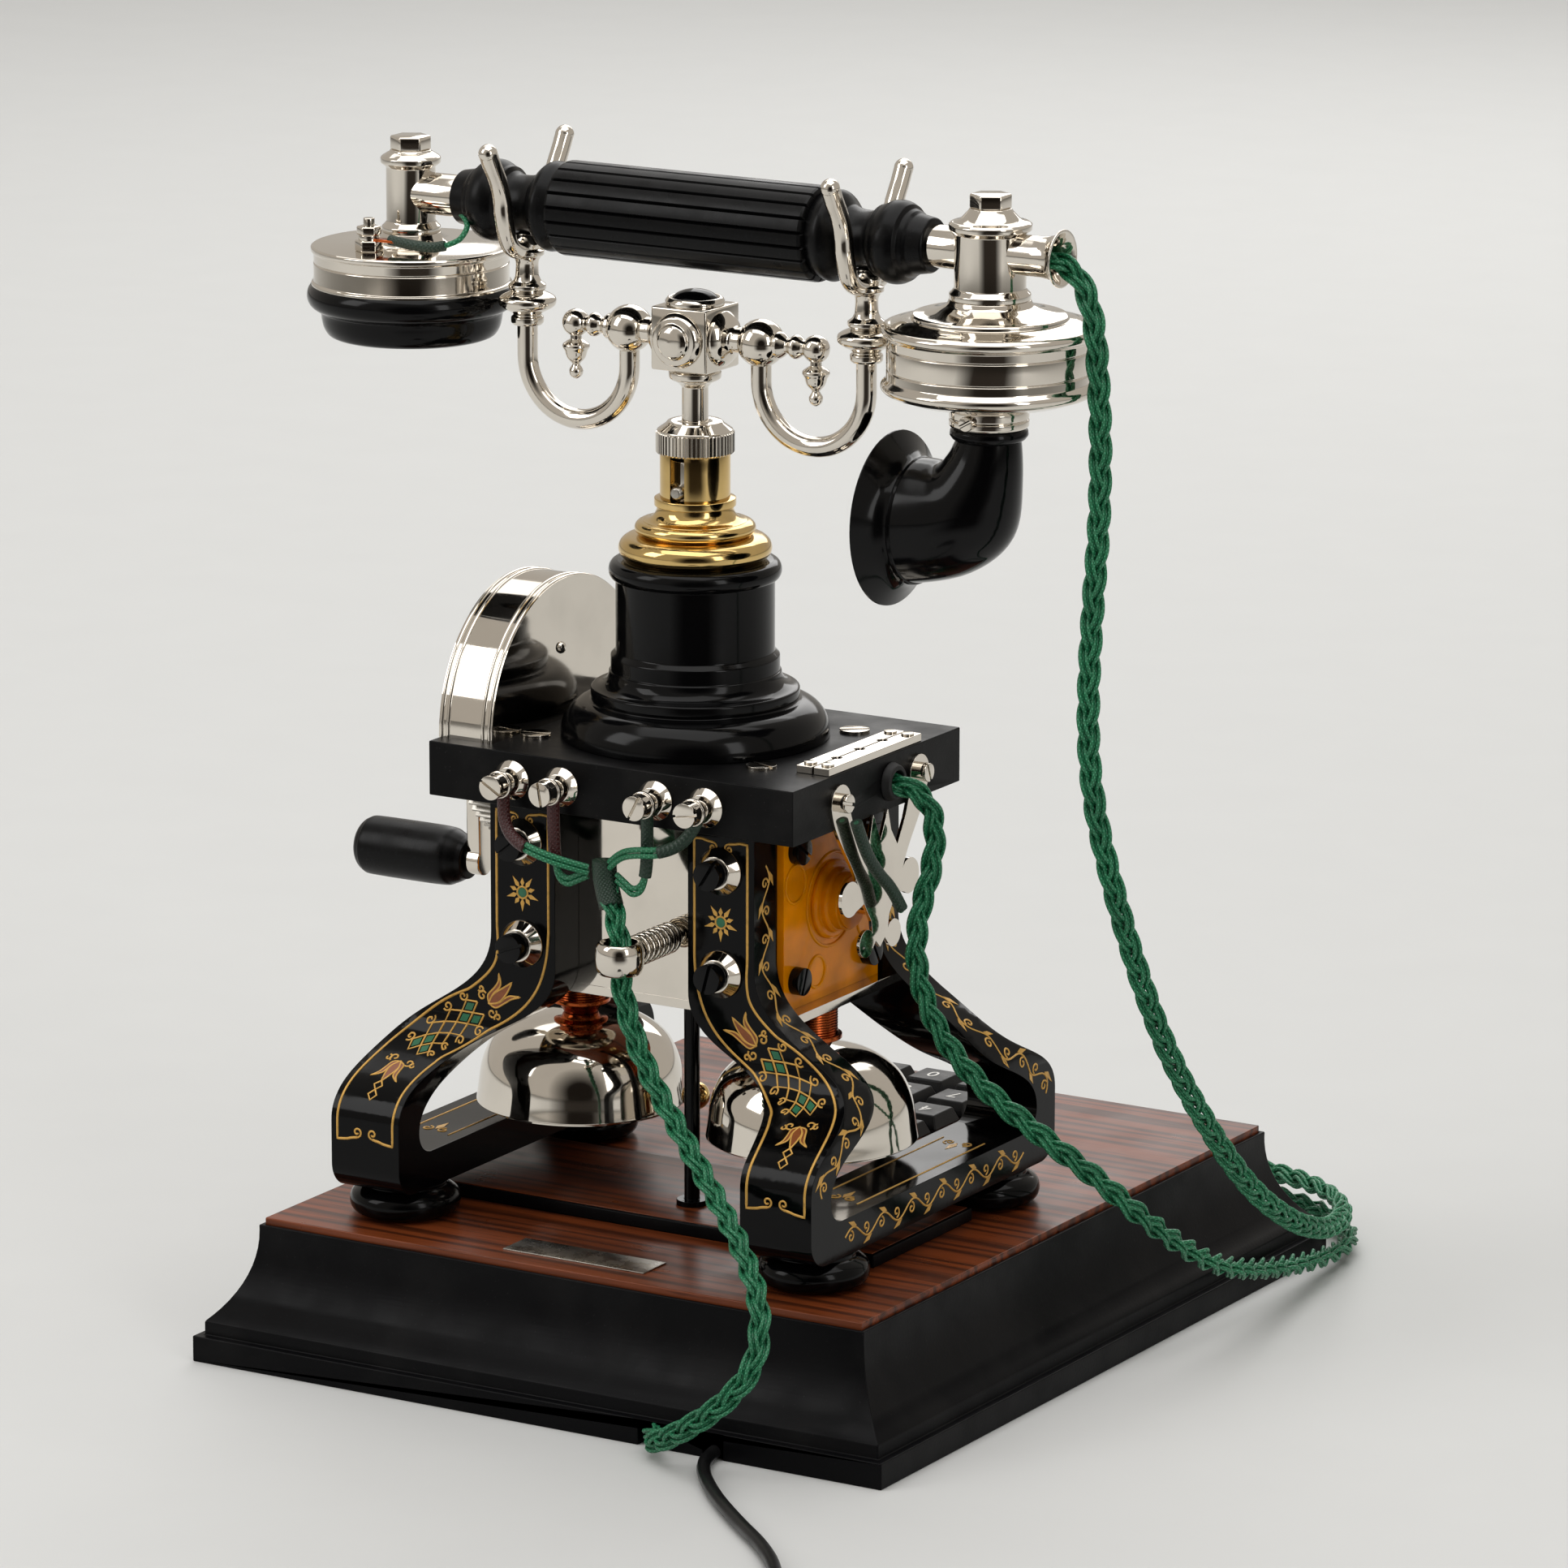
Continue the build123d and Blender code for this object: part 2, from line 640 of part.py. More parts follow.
def crank_arm():
    """Flat arm from the shaft down to the handle's pin."""
    pin_z = CRANK_Z - CRANK_THROW
    x_end = CRANK_ARM_X + CRANK_ARM_T
    arm = rod((CRANK_ARM_X, SET_Y, CRANK_Z), (x_end, SET_Y, CRANK_Z), CRANK_HUB_R)
    arm += rod((CRANK_ARM_X, SET_Y, pin_z), (x_end, SET_Y, pin_z), CRANK_EYE_R)
    blade = Polyline(
        (-CRANK_HUB_R * 0.7, 0), (CRANK_HUB_R * 0.7, 0),
        (CRANK_EYE_R * 0.75, -CRANK_THROW), (-CRANK_EYE_R * 0.75, -CRANK_THROW), close=True,
    )
    place = Plane(origin=(CRANK_ARM_X, SET_Y, CRANK_Z), x_dir=(0, 1, 0), z_dir=(1, 0, 0))
    arm += place * extrude(make_face(blade), CRANK_ARM_T)
    return arm + rod((x_end, SET_Y, pin_z), (x_end + HANDLE_GAP + HANDLE_L * 0.85, SET_Y, pin_z), CRANK_PIN_R)


def crank_handle():
    """Tapered handle that turns on the crank's pin."""
    start = CRANK_ARM_X + CRANK_ARM_T + HANDLE_GAP
    end = start + HANDLE_L
    bore = CRANK_PIN_R + FIT
    floor = start + HANDLE_L * 0.85 + SEAT_GAP
    profile = [
        (start, bore),
        (start, HANDLE_NECK_R),
        (start + HANDLE_L * 0.12, HANDLE_NECK_R + 1.4),
        (start + HANDLE_L * 0.4, HANDLE_R),
        (start + HANDLE_L * 0.82, HANDLE_R * 0.97),
        (start + HANDLE_L * 0.95, HANDLE_R * 0.8),
        (end, HANDLE_R * 0.45),
        (end, 0),
        (floor, 0),
        (floor, bore),
    ]
    return turned_x(profile, SET_Y, CRANK_Z - CRANK_THROW)


def top_plate():
    plate = block((LEFT_X, -LEFT_X), (REAR_Y - PLATE_Y, REAR_Y), (PLATE_Z, PLATE_TOP))
    notch = GEAR_R + GEAR_NOTCH_GAP
    plate -= block((GEAR_NOTCH_X, -LEFT_X), (SET_Y - notch, SET_Y + notch), (PLATE_Z, PLATE_TOP))
    mouth = (LEFT_X, SET_Y + GROMMET_DY, TERMINAL_Z)
    floor = (LEFT_X + GROMMET_DEPTH, SET_Y + GROMMET_DY, TERMINAL_Z)
    return plate - rod(mouth, floor, CORD_R + SEAT_GAP)


def flat_screw(x, y, z, radius, height):
    return rod((x, y, z), (x, y, z + height), radius)


def top_screws():
    for x in (-PLATE_SCREW_X, PLATE_SCREW_X):
        for dy in (-PLATE_SCREW_DY, PLATE_SCREW_DY):
            yield flat_screw(x, SET_Y + dy, PLATE_TOP, PLATE_SCREW_R, PLATE_SCREW_H)
    for side in (-1, 1):
        x = ARRESTER_X + side * (ARRESTER_W + ARRESTER_SPLIT) / 2
        for dy in (-ARRESTER_L / 2 + ARRESTER_W / 2, ARRESTER_L / 2 - ARRESTER_W / 2):
            top = PLATE_TOP + ARRESTER_T
            yield flat_screw(x, SET_Y + dy, top, ARRESTER_W * 0.4, PLATE_SCREW_H)


def arrester_plates():
    """Two strips along the plate's edge, with spark holes on the split between them."""
    for side in (-1, 1):
        near = ARRESTER_X + side * ARRESTER_SPLIT / 2
        far = near + side * ARRESTER_W
        strip = block(
            sorted((near, far)),
            (SET_Y - ARRESTER_L / 2, SET_Y + ARRESTER_L / 2),
            (PLATE_TOP, PLATE_TOP + ARRESTER_T),
        )
        for step in (-1, 0, 1):
            y = SET_Y + step * ARRESTER_HOLE_PITCH
            strip -= flat_screw(ARRESTER_X, y, PLATE_TOP, ARRESTER_HOLE_R, ARRESTER_T)
        yield strip


def line_terminal(x):
    """Cone washer, clamp post and round head of one line terminal."""
    groove = REAR_Y + TERMINAL_GROOVE_Y - TERMINAL_GROOVE_W / 2
    flange = groove + TERMINAL_GROOVE_W
    profile = [
        (REAR_Y, 0),
        (REAR_Y, TERMINAL_WASHER_R),
        (groove, TERMINAL_HEAD_R + 0.4),
        (groove, TERMINAL_POST_R),
        (flange, TERMINAL_POST_R),
        (flange, TERMINAL_HEAD_R + 0.5),
        (flange + 1.2, TERMINAL_HEAD_R + 0.5),
        (flange + 1.2, TERMINAL_HEAD_R),
        (REAR_Y + TERMINAL_OUT, TERMINAL_HEAD_R),
        (REAR_Y + TERMINAL_OUT, 0),
    ]
    return turned_y(profile, x, TERMINAL_Z)


def bracket_screw(dy):
    start = (LEFT_X - BRACKET_T, SET_Y + dy, TERMINAL_Z)
    end = (LEFT_X - BRACKET_T - BRACKET_SCREW_H, SET_Y + dy, TERMINAL_Z)
    return rod(start, end, BRACKET_SCREW_R)


def cord_grommet():
    start = LEFT_X - GROMMET_OUT
    bore = CORD_R + SEAT_GAP
    profile = [(LEFT_X, bore), (LEFT_X, GROMMET_R), (start, GROMMET_R - 1), (start, bore)]
    return turned_x(profile, SET_Y + GROMMET_DY, TERMINAL_Z)


def bracket_half():
    """Half of the lyre-shaped cord bracket, from its middle line outwards."""
    spike = Polyline((0, -17), (4.5, -8), (6.5, -15), (10.5, -20.5), (15, -13), (19, -3))
    lobe = ThreePointArc((19, -3), (BRACKET_SCREW_DY, 5.6), (30, -1))
    arm = Spline((30, -1), (27, -9), (20, -19), (14, -28.5))
    curl = ThreePointArc((14, -28.5), (24, -32.5), (15, -37))
    stem = Polyline((15, -37), (10, -35.5), (5.5, -42), (4.8, -46))
    toe = ThreePointArc((4.8, -46), (12.8, -49), (6, -52.5))
    point = Polyline((6, -52.5), (2.8, -49), (0, -51.5), (0, -17))
    return make_face(spike + lobe + arm + curl + stem + toe + point)


def cord_bracket():
    place = Plane(origin=(LEFT_X, SET_Y, TERMINAL_Z), x_dir=(0, 1, 0), z_dir=(1, 0, 0))
    half = place * extrude(bracket_half(), -BRACKET_T)
    return half + mirror(half, about=MIRROR_Y)


def column():
    """Flared foot, ring, plain shaft and top bead, bored for the hook's stem."""
    ring_z = PLATE_TOP + FLARE_H
    ring_top = ring_z + COLUMN_RING_H
    bead_z = COLUMN_TOP - COLUMN_BEAD_H
    profile = [
        (COLUMN_BORE_R, PLATE_TOP),
        (FLARE_R, PLATE_TOP),
        (FLARE_R, PLATE_TOP + FLARE_H * 0.25),
        (FLARE_R * 0.93, PLATE_TOP + FLARE_H * 0.6),
        (COLUMN_RING_R * 1.03, ring_z),
        (COLUMN_RING_R, ring_z),
        (COLUMN_RING_R, ring_top),
        (COLUMN_R + 1.6, ring_top + 1.2),
        (COLUMN_R, ring_top + 3),
        (COLUMN_R, bead_z),
        (COLUMN_BEAD_R, bead_z + COLUMN_BEAD_H * 0.3),
        (COLUMN_BEAD_R, bead_z + COLUMN_BEAD_H * 0.7),
        (COLUMN_R, COLUMN_TOP),
        (COLUMN_BORE_R, COLUMN_TOP),
    ]
    return turned(profile, 0, SET_Y)


def brass_collar():
    """Domed base, ring and slotted tube that guides the hook."""
    ring_z = COLLAR_TOP - SLOT_H - 1.8
    profile = [
        (PLUNGER_R + FIT, COLUMN_TOP),
        (BRASS_R, COLUMN_TOP),
        (BRASS_R, COLUMN_TOP + 3),
        (BRASS_R - 2, COLUMN_TOP + 7),
        (BRASS_SHOULDER_R, COLUMN_TOP + 9.8),
        (BRASS_SHOULDER_R, COLUMN_TOP + 11.4),
        (BRASS_RING_R + 1, COLUMN_TOP + 14),
        (BRASS_RING_R - 1, ring_z - 1),
        (BRASS_RING_R, ring_z),
        (BRASS_RING_R, ring_z + 1.6),
        (BRASS_TUBE_R, ring_z + 1.8),
        (BRASS_TUBE_R, COLLAR_TOP),
        (PLUNGER_R + FIT, COLLAR_TOP),
    ]
    collar = turned(profile, 0, SET_Y)
    half = SLOT_W / 2
    return collar - block((-half, half), (SET_Y, SET_Y + BRASS_R), (COLLAR_TOP - SLOT_H, COLLAR_TOP))


def knurled_nut():
    bore = STEM_R + FIT
    profile = [
        (bore, COLLAR_TOP),
        (NUT_R, COLLAR_TOP),
        (NUT_R, COLLAR_TOP + NUT_H * 0.72),
        (NUT_R * 0.72, COLLAR_TOP + NUT_H),
        (bore, COLLAR_TOP + NUT_H),
    ]
    return turned(profile, 0, SET_Y)


def hub_dome(z_dir, origin):
    """Stepped dome on one face of the hub."""
    small = HUB_DOME_R * 0.62
    profile = [
        (0, 0),
        (HUB_DOME_R, 0),
        (HUB_DOME_R * 0.85, HUB_DOME_H / 2),
        (small, HUB_DOME_H * 0.6),
        (small * 0.6, HUB_DOME_H),
        (0, HUB_DOME_H),
    ]
    return Plane(origin=origin, z_dir=z_dir) * turned(profile, 0, 0)


def cradle_hub():
    """Cube with domed faces on the stem, and the stem's plunger and slot pin."""
    half = HUB_SIZE / 2
    hub = block((-half, half), (SET_Y - half, SET_Y + half), (HUB_Z - half, HUB_Z + half))
    hub += hub_dome((0, 0, 1), (0, SET_Y, HUB_Z + half))
    hub += hub_dome((0, 1, 0), (0, SET_Y + half, HUB_Z))
    hub += hub_dome((0, -1, 0), (0, SET_Y - half, HUB_Z))
    pin_z = COLLAR_TOP - SLOT_H + HOOK_PIN_R + SEAT_GAP
    plunger_top = COLLAR_TOP - HOOK_RISE - SEAT_GAP
    plunger_foot = COLUMN_TOP + SEAT_GAP
    under = HUB_Z - half
    profile = [
        (0, plunger_foot),
        (PLUNGER_R, plunger_foot),
        (PLUNGER_R, plunger_top),
        (STEM_R, plunger_top),
        (STEM_R, under - 5.5),
        (STEM_FLARE_R - 2, under - 4),
        (STEM_FLARE_R, under - 1.5),
        (STEM_FLARE_R - 1, under),
        (0, under),
    ]
    hub += turned(profile, 0, SET_Y)
    return hub + rod((0, SET_Y, pin_z), (0, SET_Y + BRASS_TUBE_R + 1, pin_z), HOOK_PIN_R)


def cradle_arm():
    """Arm from the hub: ball, bent tube to the fork, finial and hanging drop."""
    half = HUB_SIZE / 2
    spindle = [
        (half, 0),
        (half, HUB_DOME_R),
        (half + 3, HUB_DOME_R * 0.75),
        (half + 5, 4.2),
        (BALL_X, 4.2),
        (BALL_X + BALL_R, 4.2),
        (BALL_X + BALL_R + 2, 2.4),
        (FINIAL_X - 7, 3.6),
        (FINIAL_X - 4, 2.2),
        (FINIAL_X, 2.2),
        (FINIAL_X, 0),
    ]
    arm = turned_x(spindle, SET_Y, HUB_Z)
    arm += Pos(BALL_X, SET_Y, HUB_Z) * Sphere(BALL_R)
    arm += Pos(FINIAL_X, SET_Y, HUB_Z) * Sphere(FINIAL_R)
    drop = [
        (0, HUB_Z), (1.8, HUB_Z), (1.8, HUB_Z - 5.5), (4.2, HUB_Z - 7), (4.2, HUB_Z - 8),
        (2.6, HUB_Z - 11.5), (1.2, HUB_Z - 13), (2.2, HUB_Z - 15.5), (1.2, HUB_Z - 17.8), (0, HUB_Z - 18),
    ]
    arm += turned(drop, FINIAL_X, SET_Y)
    bend_z = HUB_Z - TUBE_DROP
    near = (BALL_X, SET_Y, bend_z)
    far = (FORK_X, SET_Y, bend_z)
    lowest = ((BALL_X + FORK_X) / 2, SET_Y, bend_z - (FORK_X - BALL_X) / 2)
    path = Line((BALL_X, SET_Y, HUB_Z), near) + ThreePointArc(near, lowest, far)
    path += Line(far, (FORK_X, SET_Y, HUB_Z - 2.3))
    section = Plane(origin=(BALL_X, SET_Y, HUB_Z), z_dir=(0, 0, -1)) * Circle(TUBE_R)
    return arm + sweep(section, path=path)


def cradle_fork():
    """Turned cup on the tube's end, and the two tines that hold the grip's waist."""
    seat = HANDSET_Z - WAIST_R - SEAT_GAP
    foot = HUB_Z - 2.3
    profile = [
        (0, foot),
        (5, foot),
        (5, foot + 3),
        (CUP_R, foot + 6),
        (CUP_R, foot + 9),
        (5.5, foot + 12.5),
        (4, foot + 15),
        (4, seat - 8),
        (6, seat - 5),
        (3.4, seat),
        (0, seat),
    ]
    fork = turned(profile, FORK_X, SET_Y)
    tip_z = HUB_Z + TINE_RISE
    points = ((0, seat - 4), (9, seat - 3), (14, HANDSET_Z - 3), (TINE_DY, tip_z))
    for side in (-1, 1):
        path = FilletPolyline(*[(FORK_X, SET_Y + side * dy, z) for dy, z in points], radius=(6, 14))
        section = Plane(origin=path @ 0, z_dir=path % 0) * Circle(TINE_R)
        fork += sweep(section, path=path)
        fork += Pos(FORK_X, SET_Y + side * TINE_DY, tip_z) * Sphere(TINE_TIP_R)
    return fork


def handset_grip():
    """Fluted grip with a turned bead, waist and bulb at each end."""
    points = []
    for flute in range(FLUTES):
        angle = 2 * math.pi * flute / FLUTES
        for part, depth in ((0, 0), (0.45, 0), (0.72, FLUTE_DEPTH)):
            turn = angle + part * 2 * math.pi / FLUTES
            radius = GRIP_R - depth
            points.append((radius * math.cos(turn), radius * math.sin(turn)))
    place = Plane(origin=(0, SET_Y, HANDSET_Z), x_dir=(0, 1, 0), z_dir=(1, 0, 0))
    grip = place * extrude(make_face(Polyline(*points, close=True)), GRIP_HALF, both=True)
    end_profile = [
        (GRIP_HALF, 0),
        (GRIP_HALF, GRIP_R - 1.6),
        (GRIP_HALF + 4, GRIP_R - 0.8),
        (FORK_X - 7, GRIP_R - 3),
        (FORK_X - 4, WAIST_R),
        (FORK_X + 4, WAIST_R),
        (FORK_X + 6.5, WAIST_R + 2.4),
        (FORK_X + 11, GRIP_R - 2.1),
        (FORK_X + 16, GRIP_R - 3.2),
        (FORK_X + 18, WAIST_R),
        (GRIP_END, WAIST_R - 0.6),
        (GRIP_END, 0),
    ]
    end = turned_x(end_profile, SET_Y, HANDSET_Z)
    grip += end
    grip += mirror(end, about=MIRROR_X)
    return grip - rod((-GRIP_END, SET_Y, HANDSET_Z), (GRIP_END, SET_Y, HANDSET_Z), HANDSET_TUBE_R + FIT)


def hex_nut(x, y, z, across_flats, height):
    return Pos(x, y, z) * extrude(RegularPolygon(across_flats / 2, 6, major_radius=False), height)


def post(x, radius, foot):
    """Turned post of the handset, with its ring, cap and hexagon nut."""
    cap_z = HANDSET_Z + 6.5
    nut_z = cap_z + 7
    profile = [
        (0, foot),
        (radius + 1.4, foot),
        (radius + 1.4, foot + 2.6),
        (radius, foot + 3.2),
        (radius, cap_z),
        (radius + 1.6, cap_z + 0.8),
        (radius + 1.6, cap_z + 2.4),
        (NUT_AF / 2 + 0.6, nut_z),
        (0, nut_z),
    ]
    return turned(profile, x, SET_Y) + hex_nut(x, SET_Y, nut_z, NUT_AF, HANDSET_Z + POST_TOP - nut_z)


def handset_frame():
    """Posts, cross tube and cord trumpet, brazed into one frame."""
    frame = post(POST_X, RECEIVER_POST_R, HANDSET_Z - RECEIVER_TOP + 4.2)
    frame += post(-POST_X, TRANSMITTER_POST_R, HANDSET_Z - TRANSMITTER_TOP)
    frame += rod((-POST_X, SET_Y, HANDSET_Z), (POST_X, SET_Y, HANDSET_Z), HANDSET_TUBE_R)
    trumpet = [
        (-POST_X, 0),
        (-POST_X, HANDSET_TUBE_R - 0.4),
        (TRUMPET_X + 6, HANDSET_TUBE_R - 0.4),
        (TRUMPET_X + 2, HANDSET_TUBE_R + 0.6),
        (TRUMPET_X, TRUMPET_R),
        (TRUMPET_X, TRUMPET_R - 1),
        (TRUMPET_X + 4, TRUMPET_BORE_R),
        (TRUMPET_X + TRUMPET_DEPTH, TRUMPET_BORE_R),
        (TRUMPET_X + TRUMPET_DEPTH, 0),
    ]
    return frame + turned_x(trumpet, SET_Y, HANDSET_Z)


def receiver_shell():
    """Nickel receiver case: neck, flat top and banded side, open below."""
    top = HANDSET_Z - RECEIVER_TOP
    foot = top - RECEIVER_BAND_H
    inner = RECEIVER_R - SHELL_WALL
    profile = [
        (0, top + 4.2),
        (RECEIVER_POST_R + 1.6, top + 4.2),
        (RECEIVER_POST_R + 5, top),
        (RECEIVER_R + 0.6, top),
        (RECEIVER_R + 0.6, top - 1.8),
        (RECEIVER_R, top - 2.4),
        (RECEIVER_R, foot),
        (inner, foot),
        (inner, top - SHELL_WALL),
        (0, top - SHELL_WALL),
    ]
    return turned(profile, POST_X, SET_Y)


def receiver_terminal():
    """Stud, two nuts and the washer between them on the receiver's top."""
    x = POST_X + 4.5
    y = SET_Y + 17.4
    base = HANDSET_Z - RECEIVER_TOP
    stack = hex_nut(x, y, base, 8, 3.6)
    stack += rod((x, y, base + 3.6), (x, y, base + 5), 3.4)
    stack += hex_nut(x, y, base + 5, 8, 3.6)
    return stack + rod((x, y, base + 8.6), (x, y, base + 10.6), 1.8)


def ear_cap():
    """Black ear cap round the receiver's foot, dished to a listening hole."""
    foot = HANDSET_Z - RECEIVER_TOP - RECEIVER_BAND_H
    seat_r = RECEIVER_R + FIT
    low = foot + 4 - EAR_CAP_H
    profile = [
        (EAR_HOLE_R, foot),
        (seat_r, foot),
        (seat_r, foot + 4),
        (EAR_CAP_R - 1, foot + 4),
        (EAR_CAP_R, foot),
        (EAR_CAP_R - 0.4, foot - 4.5),
        (EAR_CAP_R - 2.8, foot - 7),
        (EAR_CAP_R - 3.2, foot - 10),
        (EAR_CAP_R - 7, low),
        (EAR_CAP_R - 10, low),
        (EAR_HOLE_R, low + 5),
    ]
    return turned(profile, POST_X, SET_Y)


def transmitter_shell():
    """Nickel capsule with two rims, hollow for the carbon capsule."""
    top = HANDSET_Z - TRANSMITTER_TOP
    foot = top - TRANSMITTER_H
    radius = TRANSMITTER_R
    outside = [
        (0, top),
        (TRANSMITTER_POST_R + 1.4, top),
        (TRANSMITTER_POST_R + 5, top - 3),
        (radius * 0.8, top - 5.4),
        (radius * 0.86, top - 7),
        (radius, top - 8),
        (radius, top - 11),
        (radius - 1.6, top - 11.6),
        (radius - 1.6, top - 24.6),
        (radius, top - 25.4),
        (radius, top - 28.4),
        (radius * 0.86, top - 30.6),
        (CLAMP_R + 1, foot + 0.8),
        (CLAMP_R - 0.6, foot),
        (0, foot),
    ]
    hollow = rod((-POST_X, SET_Y, top - 27), (-POST_X, SET_Y, top - 10), radius - 1.6 - SHELL_WALL)
    return turned(outside, -POST_X, SET_Y) - hollow


def horn_top():
    """Level of the horn's ring, under the transmitter and its clamp."""
    return HANDSET_Z - TRANSMITTER_TOP - TRANSMITTER_H - CLAMP_H


def horn_clamp():
    top = HANDSET_Z - TRANSMITTER_TOP - TRANSMITTER_H
    foot = horn_top()
    bore = HORN_TOP_R + FIT
    edge = CLAMP_R - 0.8
    profile = [(bore, foot), (edge, foot), (CLAMP_R, foot + 1), (CLAMP_R, top - 1), (edge, top), (bore, top)]
    screw = rod((-POST_X, SET_Y + CLAMP_R - 1, foot + 3.2), (-POST_X, SET_Y + CLAMP_R + 3, foot + 3.2), 1.8)
    return turned(profile, -POST_X, SET_Y) + screw


def horn_loft(inset):
    """Swelling elbow of the horn, its wall moved in by the inset."""
    top = horn_top()
    neck = HORN_MOUTH_X - HORN_FLARE_L
    run = neck + POST_X
    stations = (
        (0.0, HORN_RING_H / HORN_DROP, 0.0, 0),
        (0.05, 0.41, 0.24, 22),
        (0.19, 0.75, 0.65, 45),
        (0.52, 0.92, 0.875, 68),
        (1.0, 1.0, 1.0, 90),
    )
    sections = []
    for run_part, drop_part, swell_part, turn in stations:
        x = run_part * run - POST_X
        z = top - drop_part * HORN_DROP
        radius = HORN_TOP_R + swell_part * HORN_SWELL
        along = (math.sin(math.radians(turn)), 0, -math.cos(math.radians(turn)))
        place = Plane(origin=(x, SET_Y, z), x_dir=(0, 1, 0), z_dir=along)
        sections.append(place * Circle(radius - inset))
    return loft(sections), neck, top - HORN_DROP, HORN_TOP_R + HORN_SWELL - inset


def horn_flare(neck, neck_r, mouth_r):
    """Outline of the flare from the horn's neck to its mouth, as (x, radius) points."""
    waist = (neck + 3.5, neck_r + 1.6)
    return [(neck, 0), (neck, neck_r), waist, (HORN_MOUTH_X, mouth_r), (HORN_MOUTH_X, 0)]


def horn():
    """Speaking horn: spigot and ring, swelling elbow and flared mouth."""
    top = horn_top()
    outside, neck, axis_z, neck_r = horn_loft(0)
    inside, neck, axis_z, bore_r = horn_loft(HORN_WALL)
    flare = horn_flare(neck, neck_r, HORN_MOUTH_R)
    hollow = horn_flare(neck, bore_r, HORN_MOUTH_R - HORN_WALL)
    body = outside + turned_x(flare, SET_Y, axis_z)
    ring = [
        (0, top - HORN_RING_H),
        (HORN_TOP_R, top - HORN_RING_H),
        (CLAMP_R, top - HORN_RING_H + 0.4),
        (CLAMP_R, top - 0.6),
        (CLAMP_R - 0.8, top),
        (HORN_TOP_R, top),
        (HORN_TOP_R, top + CLAMP_H),
        (0, top + CLAMP_H),
    ]
    body += turned(ring, -POST_X, SET_Y)
    body -= inside
    body -= turned_x(hollow, SET_Y, axis_z)
    foot = (-POST_X, SET_Y, top - HORN_RING_H)
    return body - rod(foot, (-POST_X, SET_Y, top + CLAMP_H), HORN_TOP_R - HORN_WALL)


def bell(side):
    """Round gong, mouth down, with its centre hole on the post."""
    rim = BELL_TOP - BELL_H
    wall = BELL_WALL
    heights = ((1.0, 0), (0.985, 0.12), (0.94, 0.45), (0.82, 0.72), (0.58, 0.92), (0.3, 1.0))
    outside = [(BELL_R * r, rim + BELL_H * h) for r, h in heights]
    inside = [(BELL_R * r - wall, rim + (BELL_H - wall) * h) for r, h in reversed(heights)]
    bore = COIL_CORE_R + FIT
    profile = [*outside, (bore, BELL_TOP), (bore, BELL_TOP - wall), *inside]
    return turned(profile, side * BELL_X, SET_Y)


def ringer_coil(side):
    """Bell post with its wound coil and cheeks, under the base plate."""
    top = BASE_PLATE_Z
    profile = [
        (0, top),
        (COIL_R, top),
        (COIL_R, top - 1.5),
        (COIL_R - 1.4, top - 1.5),
        (COIL_R - 1.4, top - 10.5),
        (COIL_R, top - 10.5),
        (COIL_R, top - 12),
        (COIL_CORE_R + 2, BELL_TOP),
        (COIL_CORE_R, BELL_TOP),
        (COIL_CORE_R, BELL_TOP - BELL_WALL),
        (COIL_CORE_R + 1.5, BELL_TOP - BELL_WALL),
        (COIL_CORE_R + 1.5, BELL_TOP - BELL_WALL - 3),
        (0, BELL_TOP - BELL_WALL - 3),
    ]
    return turned(profile, side * BELL_X, SET_Y)


def bell_hammer():
    """Ball on a rod, swinging on a pin between the ears of the base plate."""
    pin_z = BASE_PLATE_Z - HAMMER_PIN_DROP
    half = HAMMER_HUB_W / 2
    reach = half + SEAT_GAP + 2
    hammer = rod((0, SET_Y - half, pin_z), (0, SET_Y + half, pin_z), HAMMER_PIN_R + 1.2)
    hammer += rod((0, SET_Y - reach, pin_z), (0, SET_Y + reach, pin_z), HAMMER_PIN_R)
    hammer += rod((0, SET_Y, pin_z - HAMMER_DROP), (0, SET_Y, pin_z), HAMMER_ROD_R)
    return hammer + Pos(0, SET_Y, pin_z - HAMMER_DROP) * Sphere(HAMMER_BALL_R)


def biarc(start, start_dir, end, end_dir):
    """Two arcs that leave and arrive in the given directions."""
    chord = end - start
    along = chord.dot(start_dir + end_dir)
    spread = 2 * (1 - start_dir.dot(end_dir))
    reach = (math.sqrt(along**2 + spread * chord.dot(chord)) - along) / spread
    first = start + start_dir * reach
    last = end - end_dir * reach
    joint = (first + last) * 0.5
    return TangentArc(start, joint, tangent=start_dir), TangentArc(joint, end, tangent=last - first)


def print_volume(name, tube, radius, path):
    """A swept tube's volume against its section times its length."""
    ratio = tube.volume / (math.pi * radius**2 * path.length)
    print(name, "volume over section times length", round(ratio, 4))


